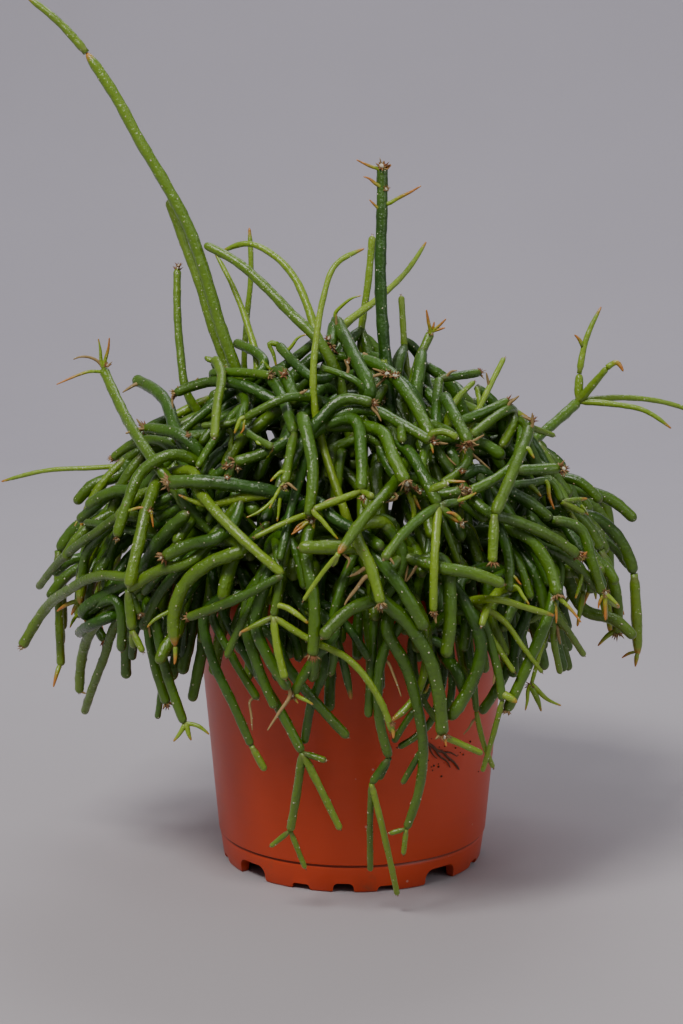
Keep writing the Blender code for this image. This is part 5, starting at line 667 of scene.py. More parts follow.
def grow(plant, rng, shoot, parent, start, az, rise, length, radius, level, name):
    """One free stem and the stems that fork from its tip."""
    p = plant.pos[start].copy()
    ids, radii = [start], [radius * 0.9]
    spans = 3 if length > 0.042 else 2 if length > 0.024 else 1
    a, e = math.radians(az), math.radians(rise)
    for i in range(spans):
        for _ in range(6):                             # bends over below the crown's outline
            d = np.array([math.sin(a) * math.cos(e), -math.cos(a) * math.cos(e), math.sin(e)])
            q = p + d * length / spans
            gx, gy = to_grid(q)
            if gy > crown_outline(gx) or e < math.radians(-60):
                break
            e -= math.radians(9)
        p = q
        reach = math.hypot(p[0] / 0.104, p[1] / 0.106)
        if reach > 1:
            p[0] /= reach
            p[1] /= reach
        ids.append(plant.add_point(p, radius, 2))
        radii.append(radius * (1.0 if i < spans - 1 else 0.92))
        e -= math.radians(rng.uniform(16, 30) if level == 0 else rng.uniform(8, 22))
        e = max(e, math.radians(-86))
        a += math.radians(rng.uniform(-8, 8))
    s = plant.add_stem(name, ids, radii, shoot, parent, 0.1 + 0.18 * level + 0.1 * rng.rand(), "", False)
    plant.stems[-1]["hidden"] = 0
    if level < 2:
        forks = rng.choice([1, 2, 2]) if level == 0 else rng.choice([0, 0, 0, 1])
        for f in range(forks):
            spread = (f - (forks - 1) / 2.0) * 44.0 + rng.uniform(-12, 12)
            grow(plant, rng, shoot, s, ids[-1], math.degrees(a) + spread,
                 math.degrees(e) + rng.uniform(-12, 20), rng.uniform(0.020, 0.034),
                 radius * rng.uniform(0.82, 0.96), level + 1, name + "abc"[f])


def closest(p1, q1, p2, q2):
    """Closest points of many segment pairs: fractions along each."""
    d1, d2, r = q1 - p1, q2 - p2, p1 - p2
    a = np.einsum("ij,ij->i", d1, d1) + 1e-18
    e = np.einsum("ij,ij->i", d2, d2) + 1e-18
    f = np.einsum("ij,ij->i", d2, r)
    c = np.einsum("ij,ij->i", d1, r)
    b = np.einsum("ij,ij->i", d1, d2)
    den = a * e - b * b
    s = np.where(den > 1e-16, np.clip((b * f - c * e) / np.where(den > 1e-16, den, 1), 0, 1), 0.5)
    t = (b * s + f) / e
    s = np.where(t < 0, np.clip(-c / a, 0, 1), np.where(t > 1, np.clip((b - c) / a, 0, 1), s))
    t = np.clip(t, 0, 1)
    return s, t


def relax(plant, rounds=520):
    """Moves stems apart until none of different shoots touch. Stems of the front elevation
    slide along their sight lines only, so that the elevation keeps its drawing."""
    P = np.array(plant.pos)
    P0 = P.copy()
    kind = np.array(plant.kind)
    ray = np.array(plant.ray)
    ray = ray / np.linalg.norm(ray, axis=1)[:, None]
    seg, rads, owner, shoot = [], [], [], []
    order = []
    for si, s in enumerate(plant.stems):
        for i in range(len(s["ids"]) - 1):
            seg.append((s["ids"][i], s["ids"][i + 1]))
            rads.append((s["radii"][i], s["radii"][i + 1]))
            owner.append(si)
            shoot.append(s["shoot"])
            order.append(i)
    seg, rads = np.array(seg), np.array(rads)
    owner, shoot, order = np.array(owner), np.array(shoot), np.array(order)
    par = np.array([s["parent"] for s in plant.stems])
    n = len(P)
    left = np.full(n, -1)
    right = np.full(n, -1)
    for s in plant.stems:
        for i, j in enumerate(s["ids"]):
            if i > 0 and left[j] < 0:
                left[j] = s["ids"][i - 1]
            if i < len(s["ids"]) - 1 and i > 0 and right[j] < 0:
                right[j] = s["ids"][i + 1]
    inner = (left >= 0) & (right >= 0)
    ends = (left >= 0) & (right < 0)
    pairs = None
    eye = np.array(EYE)
    for it in range(rounds):
        if it % 12 == 0:
            A, B = P[seg[:, 0]], P[seg[:, 1]]
            mid = (A + B) / 2
            half = np.linalg.norm(B - A, axis=1) / 2 + rads.max(1)
            m32 = mid.astype(np.float32)
            sq = (m32 ** 2).sum(1)
            d2 = sq[:, None] + sq[None, :] - 2 * m32 @ m32.T
            reach = (half[:, None] + half[None, :] + 0.005).astype(np.float32)
            hit = np.triu(d2 < reach ** 2, 1)
            I, J = np.nonzero(hit)
            same = owner[I] == owner[J]
            share = ((seg[I, 0] == seg[J, 0]) | (seg[I, 0] == seg[J, 1])
                     | (seg[I, 1] == seg[J, 0]) | (seg[I, 1] == seg[J, 1]))
            kin = (shoot[I] == shoot[J]) & (((par[owner[I]] == owner[J]) & (order[I] < 1))
                                            | ((par[owner[J]] == owner[I]) & (order[J] < 1))
                                            | ((par[owner[I]] == par[owner[J]]) & (order[I] < 1) & (order[J] < 1)))
            ok = ~(same | share | kin)
            pairs = (I[ok], J[ok])
        I, J = pairs
        a0, a1, b0, b1 = seg[I, 0], seg[I, 1], seg[J, 0], seg[J, 1]
        s, t = closest(P[a0], P[a1], P[b0], P[b1])
        pa = P[a0] * (1 - s)[:, None] + P[a1] * s[:, None]
        pb = P[b0] * (1 - t)[:, None] + P[b1] * t[:, None]
        ra = rads[I, 0] * (1 - s) + rads[I, 1] * s
        rb = rads[J, 0] * (1 - t) + rads[J, 1] * t
        kin = shoot[I] == shoot[J]
        need = ra + rb + np.where(kin, 0.0001, STEM_MARGIN)
        d = pb - pa
        dist = np.linalg.norm(d, axis=1)
        bad = dist < need
        if it % 40 == 39 or it == rounds - 1:
            worst = float((need - dist)[bad & ~kin].max()) if (bad & ~kin).any() else 0.0
            plant.report = (it, int((bad & ~kin).sum()), worst * 1000)
            if worst < 0.00008 and it > 200:
                break
        if not bad.any():
            continue
        I, J, s, t, d, dist, need = I[bad], J[bad], s[bad], t[bad], d[bad], dist[bad], need[bad]
        a0, a1, b0, b1 = seg[I, 0], seg[I, 1], seg[J, 0], seg[J, 1]
        ka = np.where(s < 0.5, kind[a0], kind[a1])
        kb = np.where(t < 0.5, kind[b0], kind[b1])
        u = (pa[bad] + pb[bad]) / 2 - eye
        u = u / np.linalg.norm(u, axis=1)[:, None]
        du = np.einsum("ij,ij->i", d, u)
        perp2 = np.maximum(dist ** 2 - du ** 2, 0)
        sgn = np.where(np.abs(du) > 1e-5, np.sign(du), np.where(I < J, 1.0, -1.0))
        want = np.sqrt(np.maximum(need ** 2 - perp2, 0))
        both = (ka == 1) & (kb == 1)
        push_ray = np.clip(want - np.abs(du), 0, 0.0012)
        unit = d / np.maximum(dist, 1e-7)[:, None]
        # a hidden stem gives way to a drawn one, mostly to the rear
        toward = np.where((ka == 2) & (kb == 1), -1.0, np.where((ka == 1) & (kb == 2), 1.0, 0.0))
        mix = unit + 0.55 * u * toward[:, None]
        mix = mix / np.maximum(np.linalg.norm(mix, axis=1), 1e-7)[:, None]
        push_free = np.clip(need - dist, 0, 0.0012)
        vec = np.where(both[:, None], u * (sgn * push_ray)[:, None], mix * push_free[:, None])
        mob = np.array([0.0, 1.0, 2.5])
        wa, wb = mob[ka], mob[kb]
        tot = np.maximum(wa + wb, 1e-9)
        fa, fb = wa / tot, wb / tot
        step = 0.62
        move = np.zeros_like(P)
        weight = np.zeros(n)
        for idx, w, v in ((a0, 1 - s, -vec * fa[:, None]), (a1, s, -vec * fa[:, None]),
                          (b0, 1 - t, vec * fb[:, None]), (b1, t, vec * fb[:, None])):
            norm = np.maximum((w ** 2 + (1 - w) ** 2), 0.5)
            np.add.at(move, idx, v * (w / norm)[:, None])
            np.add.at(weight, idx, w)
        move = move / np.maximum(weight, 1.0)[:, None] ** 0.5 * step
        # drawn points slide along their sight line
        along = np.einsum("ij,ij->i", move, ray)
        move = np.where((kind == 1)[:, None], ray * along[:, None], move)
        move[kind == 0] = 0
        P = P + move
        # keep the displacement smooth along each stem
        if it < rounds * 0.7:
            lam = 0.10
            D = P - P0
            S = D.copy()
            S[inner] += lam * (D[left[inner]] + D[right[inner]] - 2 * D[inner])
            S[ends] += lam * 0.5 * (D[left[ends]] - D[ends])
            along = np.einsum("ij,ij->i", S, ray)
            S = np.where((kind == 1)[:, None], ray * along[:, None], S)
            S[kind == 0] = 0
            P = P0 + S
        P = clear_pot(P, kind, ray, seg, rads)
    plant.pos = [p for p in P]


def clear_pot(P, kind, ray, seg, rads):
    """Keeps every stem clear of the pot's wall and collar and of the soil."""
    for f in (0.0, 0.5, 1.0):
        Q = P[seg[:, 0]] * (1 - f) + P[seg[:, 1]] * f
        r = rads.max(1) + 0.0007
        rho = np.hypot(Q[:, 0], Q[:, 1])
        z = Q[:, 2]
        inside = rho < POT_TOP_RADIUS - 0.004
        rim = POT_HEIGHT
        # soil and rim seen as a surface under the stems that are above the pot
        floor = np.where(inside, SOIL_TOP + 0.0015, rim)
        over = (rho < POT_COLLAR_RADIUS + r * 0.5) & (z > rim - 0.012) & (z < floor + r)
        lift = np.where(over, floor + r - z, 0.0)
        body = np.clip((z - FOOT_HEIGHT) / (POT_HEIGHT - POT_COLLAR_HEIGHT - FOOT_HEIGHT), 0, 1)
        wall = POT_BASE_RADIUS + (POT_TOP_RADIUS - POT_BASE_RADIUS) * body
        wall = np.where(z > POT_HEIGHT - POT_COLLAR_HEIGHT - 0.004, POT_COLLAR_RADIUS, wall)
        beside = (~over) & (z < rim + r * 0.7) & (rho < wall + r)
        out = np.where(beside, wall + r - rho, 0.0)
        dirxy = np.stack([Q[:, 0], Q[:, 1], np.zeros(len(Q))], 1) / np.maximum(rho, 1e-6)[:, None]
        for end, w in ((0, 1 - f), (1, f)):
            if w == 0:
                continue
            idx = seg[:, end]
            k = kind[idx]
            v = dirxy * out[:, None]
            v[:, 2] += lift
            v = np.clip(v, -0.002, 0.002)
            # drawn points: slide toward the viewer until clear
            facing = np.abs(dirxy[:, 1])
            slide = -(np.where(beside, out / np.maximum(facing, 0.35), 0.0))
            vr = ray[idx] * (np.clip(slide, -0.002, 0.002))[:, None]
            v = np.where((k == 1)[:, None], vr, v)
            v[k == 0] = 0
            mag = np.linalg.norm(v, axis=1)
            pick = mag > 0
            np.add.at(P, idx[pick], v[pick] * 0.5)
    return P


# ---------------------------------------------------------------- node helpers
def new_material(name):
    m = bpy.data.materials.new(name)
    m.use_nodes = True
    nt = m.node_tree
    return m, nt, nt.nodes["Principled BSDF"]


def put(nt, kind, **values):
    n = nt.nodes.new(kind)
    for k, v in values.items():
        setattr(n, k, v)
    return n


def link(nt, a, b):
    nt.links.new(a, b)


def ramp(nt, fac, stops, interpolation="LINEAR"):
    r = put(nt, "ShaderNodeValToRGB")
    cr = r.color_ramp
    cr.interpolation = interpolation
    while len(cr.elements) < len(stops):
        cr.elements.new(0.5)
    for e, (p, c) in zip(cr.elements, stops):
        e.position = p
        e.color = (*c, 1) if len(c) == 3 else c
    if fac is not None:
        link(nt, fac, r.inputs["Fac"])
    return r.outputs["Color"]


def mix(nt, fac, a, b, kind="MIX"):
    n = put(nt, "ShaderNodeMix", data_type="RGBA", blend_type=kind)
    n.clamp_factor = True
    for sock, v in ((n.inputs[0], fac), (n.inputs[6], a), (n.inputs[7], b)):
        if isinstance(v, (int, float)):
            sock.default_value = v
        elif isinstance(v, tuple):
            sock.default_value = (*v, 1)
        else:
            link(nt, v, sock)
    return n.outputs[2]


def calc(nt, op, a, b=None, c=None, clamp=False):
    n = put(nt, "ShaderNodeMath", operation=op)
    n.use_clamp = clamp
    for i, v in enumerate((a, b, c)):
        if v is None:
            continue
        if isinstance(v, (int, float)):
            n.inputs[i].default_value = v
        else:
            link(nt, v, n.inputs[i])
    return n.outputs[0]


def noise(nt, scale, detail=3.0, rough=0.55, coords=None, distortion=0.0):
    n = put(nt, "ShaderNodeTexNoise")
    n.inputs["Scale"].default_value = scale
    n.inputs["Detail"].default_value = detail
    n.inputs["Roughness"].default_value = rough
    n.inputs["Distortion"].default_value = distortion
    if coords is not None:
        link(nt, coords, n.inputs["Vector"])
    return n.outputs["Fac"]


def voronoi(nt, scale, coords=None, feature="F1"):
    n = put(nt, "ShaderNodeTexVoronoi", feature=feature)
    n.inputs["Scale"].default_value = scale
    if coords is not None:
        link(nt, coords, n.inputs["Vector"])
    return n.outputs["Distance"]


def bump(nt, bsdf, height, strength, distance):
    b = put(nt, "ShaderNodeBump")
    b.inputs["Strength"].default_value = strength
    b.inputs["Distance"].default_value = distance
    link(nt, height, b.inputs["Height"])
    link(nt, b.outputs["Normal"], bsdf.inputs["Normal"])


def attribute(nt, name):
    n = put(nt, "ShaderNodeAttribute")
    n.attribute_name = name
    return n.outputs["Fac"]


def object_coords(nt):
    return put(nt, "ShaderNodeTexCoord").outputs["Object"]


# ---------------------------------------------------------------- materials
def stem_material():
    m, nt, b = new_material("stem_skin")
    xyz = object_coords(nt)
    youth, tip, tone, scar = (attribute(nt, n) for n in ("youth", "tipness", "tone", "scar"))
    blotch = noise(nt, 150, 3, 0.6, xyz)
    fine = noise(nt, 900, 2, 0.6, xyz)
    old = mix(nt, ramp(nt, blotch, [(0.30, (0, 0, 0)), (0.70, (1, 1, 1))]), (0.0125, 0.047, 0.0020), (0.035, 0.108, 0.0045))
    old = mix(nt, calc(nt, "MULTIPLY", tone, 0.75), old, (0.072, 0.165, 0.009))
    young = mix(nt, blotch, (0.180, 0.310, 0.016), (0.300, 0.420, 0.030))
    col = mix(nt, ramp(nt, youth, [(0.12, (0, 0, 0)), (0.95, (1, 1, 1))]), old, young)
    # pale pinpricks of wax in the skin
    cell = voronoi(nt, 620, xyz)
    specks = calc(nt, "MULTIPLY", ramp(nt, cell, [(0.10, (1, 1, 1)), (0.17, (0, 0, 0))]),
                  ramp(nt, noise(nt, 260, 1, 0.5, xyz), [(0.50, (0, 0, 0)), (0.60, (1, 1, 1))]))
    col = mix(nt, calc(nt, "MULTIPLY", specks, 0.75), col, (0.52, 0.60, 0.36))
    # orange-brown growing points and corky joints
    tipc = mix(nt, blotch, (0.42, 0.135, 0.022), (0.52, 0.235, 0.045))
    col = mix(nt, ramp(nt, tip, [(0.18, (0, 0, 0)), (0.85, (1, 1, 1))]), col, tipc)
    cork = mix(nt, fine, (0.115, 0.105, 0.040), (0.235, 0.175, 0.085))
    col = mix(nt, calc(nt, "MULTIPLY", scar, calc(nt, "ADD", calc(nt, "MULTIPLY", fine, 0.9), 0.15), clamp=True), col, cork)
    link(nt, col, b.inputs["Base Color"])
    rough = calc(nt, "ADD", 0.20, calc(nt, "MULTIPLY", blotch, 0.20))
    rough = calc(nt, "ADD", rough, calc(nt, "MULTIPLY", scar, 0.22), clamp=True)
    link(nt, rough, b.inputs["Roughness"])
    b.inputs["Specular IOR Level"].default_value = 0.5
    b.inputs["Coat Weight"].default_value = 0.12
    b.inputs["Coat Roughness"].default_value = 0.20
    height = calc(nt, "ADD", calc(nt, "MULTIPLY", noise(nt, 620, 3, 0.6, xyz), 0.9), calc(nt, "MULTIPLY", fine, 0.45))
    bump(nt, b, height, 0.75, 0.00060)
    m.diffuse_color = (0.08, 0.18, 0.03, 1)
    return m


def wool_material():
    m, nt, b = new_material("areole_wool")
    xyz = object_coords(nt)
    n = noise(nt, 2600, 3, 0.7, xyz)
    big = noise(nt, 130, 1, 0.5, xyz)
    col = mix(nt, n, (0.44, 0.40, 0.26), (0.80, 0.77, 0.62))
    col = mix(nt, ramp(nt, big, [(0.5, (0, 0, 0)), (0.72, (1, 1, 1))]), col, (0.30, 0.17, 0.075))
    link(nt, col, b.inputs["Base Color"])
    b.inputs["Roughness"].default_value = 0.9
    b.inputs["Specular IOR Level"].default_value = 0.25
    bump(nt, b, n, 0.6, 0.00015)
    m.diffuse_color = (0.6, 0.55, 0.4, 1)
    return m


def bud_material():
    m, nt, b = new_material("bud_scales")
    xyz = object_coords(nt)
    n = noise(nt, 1500, 3, 0.65, xyz)
    big = noise(nt, 160, 1, 0.5, xyz)
    col = mix(nt, n, (0.120, 0.042, 0.016), (0.300, 0.135, 0.050))
    col = mix(nt, ramp(nt, big, [(0.42, (0, 0, 0)), (0.66, (1, 1, 1))]), col, (0.34, 0.22, 0.10))
    link(nt, col, b.inputs["Base Color"])
    b.inputs["Roughness"].default_value = 0.7
    b.inputs["Specular IOR Level"].default_value = 0.35
    bump(nt, b, n, 0.5, 0.0002)
    m.diffuse_color = (0.25, 0.12, 0.05, 1)
    return m


def twig_material():
    """Dry papery tips and remains of flowers."""
    m, nt, b = new_material("dry_tip")
    xyz = object_coords(nt)
    n = noise(nt, 700, 3, 0.6, xyz)
    col = mix(nt, n, (0.20, 0.125, 0.045), (0.40, 0.275, 0.105))
    link(nt, col, b.inputs["Base Color"])
    b.inputs["Roughness"].default_value = 0.62
    bump(nt, b, n, 0.5, 0.0002)
    m.diffuse_color = (0.4, 0.28, 0.12, 1)
    return m


def pot_material():
    m, nt, b = new_material("pot_terracotta_plastic")
    xyz = object_coords(nt)
    sep = put(nt, "ShaderNodeSeparateXYZ")
    link(nt, xyz, sep.inputs[0])
    z = sep.outputs["Z"]
    cloud = noise(nt, 22, 3, 0.5, xyz)
    grain = noise(nt, 1400, 2, 0.5, xyz)
    # faint drawn streaks round the wall from the mould
    stretch = put(nt, "ShaderNodeMapping")
    stretch.inputs["Scale"].default_value = (1.0, 1.0, 14.0)
    link(nt, xyz, stretch.inputs["Vector"])
    streak = noise(nt, 18, 3, 0.6, stretch.outputs["Vector"])
    col = mix(nt, cloud, (0.500, 0.044, 0.0085), (0.590, 0.060, 0.0125))
    col = mix(nt, calc(nt, "MULTIPLY", streak, 0.22), col, (0.34, 0.036, 0.0070))
    # dust and splashes of dried soil, most near the foot and under the collar
    dirt = ramp(nt, noise(nt, 75, 4, 0.7, xyz), [(0.60, (0, 0, 0)), (0.78, (1, 1, 1))])
    low = ramp(nt, calc(nt, "DIVIDE", z, POT_HEIGHT), [(0.02, (0.75, 0.75, 0.75)), (0.16, (0.12, 0.12, 0.12)), (0.80, (0.05, 0.05, 0.05)), (0.90, (0.45, 0.45, 0.45))])
    col = mix(nt, calc(nt, "MULTIPLY", dirt, low), col, (0.27, 0.075, 0.030))
    cell = voronoi(nt, 150, xyz)
    fleck = calc(nt, "MULTIPLY", ramp(nt, cell, [(0.055, (1, 1, 1)), (0.085, (0, 0, 0))]),
                 ramp(nt, noise(nt, 60, 1, 0.5, xyz), [(0.56, (0, 0, 0)), (0.62, (1, 1, 1))]))
    col = mix(nt, calc(nt, "MULTIPLY", fleck, 0.6), col, (0.55, 0.42, 0.34))
    # painted shade: a dark line at the groove above the foot band, where shade falls under the wall's lower edge
    line = calc(nt, "COMPARE", z, 0.0106, 0.0005)
    col = mix(nt, calc(nt, "MULTIPLY", line, 0.7), col, (0.12, 0.022, 0.008))
    link(nt, col, b.inputs["Base Color"])
    rough = calc(nt, "ADD", 0.30, calc(nt, "MULTIPLY", cloud, 0.14))
    rough = calc(nt, "ADD", rough, calc(nt, "MULTIPLY", calc(nt, "MULTIPLY", dirt, low), 0.35), clamp=True)
    link(nt, rough, b.inputs["Roughness"])
    b.inputs["Specular IOR Level"].default_value = 0.42
    height = calc(nt, "ADD", calc(nt, "MULTIPLY", grain, 0.25), calc(nt, "MULTIPLY", streak, 0.9))
    bump(nt, b, height, 0.10, 0.0004)
    m.diffuse_color = (0.5, 0.08, 0.02, 1)
    return m


def peat_material():
    m, nt, b = new_material("peat")
    xyz = object_coords(nt)
    n = noise(nt, 320, 4, 0.7, xyz)
    big = noise(nt, 60, 2, 0.5, xyz)
    col = mix(nt, n, (0.010, 0.0065, 0.0045), (0.062, 0.038, 0.022))
    col = mix(nt, ramp(nt, big, [(0.52, (0, 0, 0)), (0.70, (1, 1, 1))]), col, (0.085, 0.048, 0.024))
    link(nt, col, b.inputs["Base Color"])
    b.inputs["Roughness"].default_value = 0.95
    b.inputs["Specular IOR Level"].default_value = 0.2
    bump(nt, b, n, 0.9, 0.0012)
    m.diffuse_color = (0.05, 0.03, 0.02, 1)
    return m


def root_material():
    m, nt, b = new_material("dry_root")
    xyz = object_coords(nt)
    n = noise(nt, 900, 4, 0.7, xyz)
    col = mix(nt, n, (0.030, 0.012, 0.007), (0.180, 0.085, 0.045))
    link(nt, col, b.inputs["Base Color"])
    b.inputs["Roughness"].default_value = 0.85
    bump(nt, b, n, 0.8, 0.0004)
    m.diffuse_color = (0.1, 0.05, 0.03, 1)
    return m


def paper_material():
    m, nt, b = new_material("studio_paper")
    xyz = object_coords(nt)
    sep = put(nt, "ShaderNodeSeparateXYZ")
    link(nt, xyz, sep.inputs[0])
    cloud = noise(nt, 3.0, 4, 0.55, xyz)
    fibre = noise(nt, 260, 3, 0.6, xyz)
    # painted shade and light: the paper darkens and browns towards the front and grows paler towards the back
    near = ramp(nt, calc(nt, "MULTIPLY_ADD", sep.outputs["Y"], 0.6, 0.45), [(0.0, (0.345, 0.305, 0.298)), (0.55, (0.480, 0.450, 0.480)), (1.0, (0.560, 0.530, 0.590))])
    col = mix(nt, ramp(nt, cloud, [(0.35, (0, 0, 0)), (0.70, (1, 1, 1))]), near, mix(nt, 0.08, near, (0.25, 0.23, 0.24)))
    col = mix(nt, calc(nt, "MULTIPLY", fibre, 0.05), col, (0.30, 0.28, 0.28))
    link(nt, col, b.inputs["Base Color"])
    b.inputs["Roughness"].default_value = 0.85
    b.inputs["Specular IOR Level"].default_value = 0.2
    bump(nt, b, fibre, 0.08, 0.0005)
    return m


# ---------------------------------------------------------------- stems
SIDES = 14


def smooth_line(P, step):
    """Dense samples along a smooth curve through the points P (not evenly spaced)."""
    P = np.array(P, float)
    keep = [0]
    for i in range(1, len(P)):
        if np.linalg.norm(P[i] - P[keep[-1]]) > 1e-5:
            keep.append(i)
    idx = keep
    P = P[keep]
    n = len(P)
    h = np.linalg.norm(np.diff(P, axis=0), axis=1) ** 0.75
    d = np.diff(P, axis=0) / h[:, None]
    M = np.zeros_like(P)
    for i in range(1, n - 1):
        M[i] = (d[i] * h[i - 1] + d[i - 1] * h[i]) / (h[i - 1] + h[i])
    if n > 2:
        M[0] = 1.5 * d[0] - 0.5 * M[1]
        M[-1] = 1.5 * d[-1] - 0.5 * M[-2]
    else:
        M[0] = M[-1] = d[0]
    out, at = [], []
    for i in range(n - 1):
        k = max(3, int(math.ceil(np.linalg.norm(P[i + 1] - P[i]) / (step * 0.5))))
        for j in range(k):
            u = j / k
            h00, h10 = 2 * u ** 3 - 3 * u ** 2 + 1, u ** 3 - 2 * u ** 2 + u
            h01, h11 = -2 * u ** 3 + 3 * u ** 2, u ** 3 - u ** 2
            out.append(h00 * P[i] + h10 * h[i] * M[i] + h01 * P[i + 1] + h11 * h[i] * M[i + 1])
            at.append(idx[i] + (idx[i + 1] - idx[i]) * u)
    out.append(P[-1])
    at.append(idx[-1])
    return np.array(out), np.array(at)


class Skin:
    """Collects the faces of one piece, with its attributes and material numbers."""

    def __init__(self):
        self.v, self.f, self.m = [], [], []
        self.att = {k: [] for k in ("youth", "tipness", "tone", "scar")}
        self.n = 0

    def add(self, verts, faces, mat, youth=0.0, tipness=0.0, tone=0.5, scar=0.0):
        verts = np.asarray(verts, float)
        k = len(verts)
        self.v.append(verts)
        self.f.extend([tuple(i + self.n for i in f) for f in faces])
        self.m.extend([mat] * len(faces))
        for key, val in (("youth", youth), ("tipness", tipness), ("tone", tone), ("scar", scar)):
            self.att[key].append(np.broadcast_to(np.asarray(val, float), (k,)))
        self.n += k

    def make(self, name, materials):
        me = bpy.data.meshes.new(name)
        me.from_pydata(np.concatenate(self.v).tolist(), [], self.f)
        for mt in materials:
            me.materials.append(mt)
        me.polygons.foreach_set("material_index", self.m)
        me.polygons.foreach_set("use_smooth", [True] * len(me.polygons))
        for key, rows in self.att.items():
            a = me.attributes.new(key, "FLOAT", "POINT")
            a.data.foreach_set("value", np.concatenate(rows).astype(np.float32))
        me.update()
        ob = bpy.data.objects.new(name, me)
        bpy.context.scene.collection.objects.link(ob)
        return ob


def frames(line):
    """Tangent, normal and side at each sample, without twist."""
    t = np.gradient(line, axis=0)
    t /= np.linalg.norm(t, axis=1)[:, None] + 1e-12
    nrm = np.zeros_like(line)
    ref = np.cross(t[0], (0.31, 0.52, 0.79))
    ref /= np.linalg.norm(ref)
    for i in range(len(line)):
        ref = ref - t[i] * float(ref @ t[i])
        ref /= np.linalg.norm(ref) + 1e-12
        nrm[i] = ref
    return t, nrm, np.cross(t, nrm)


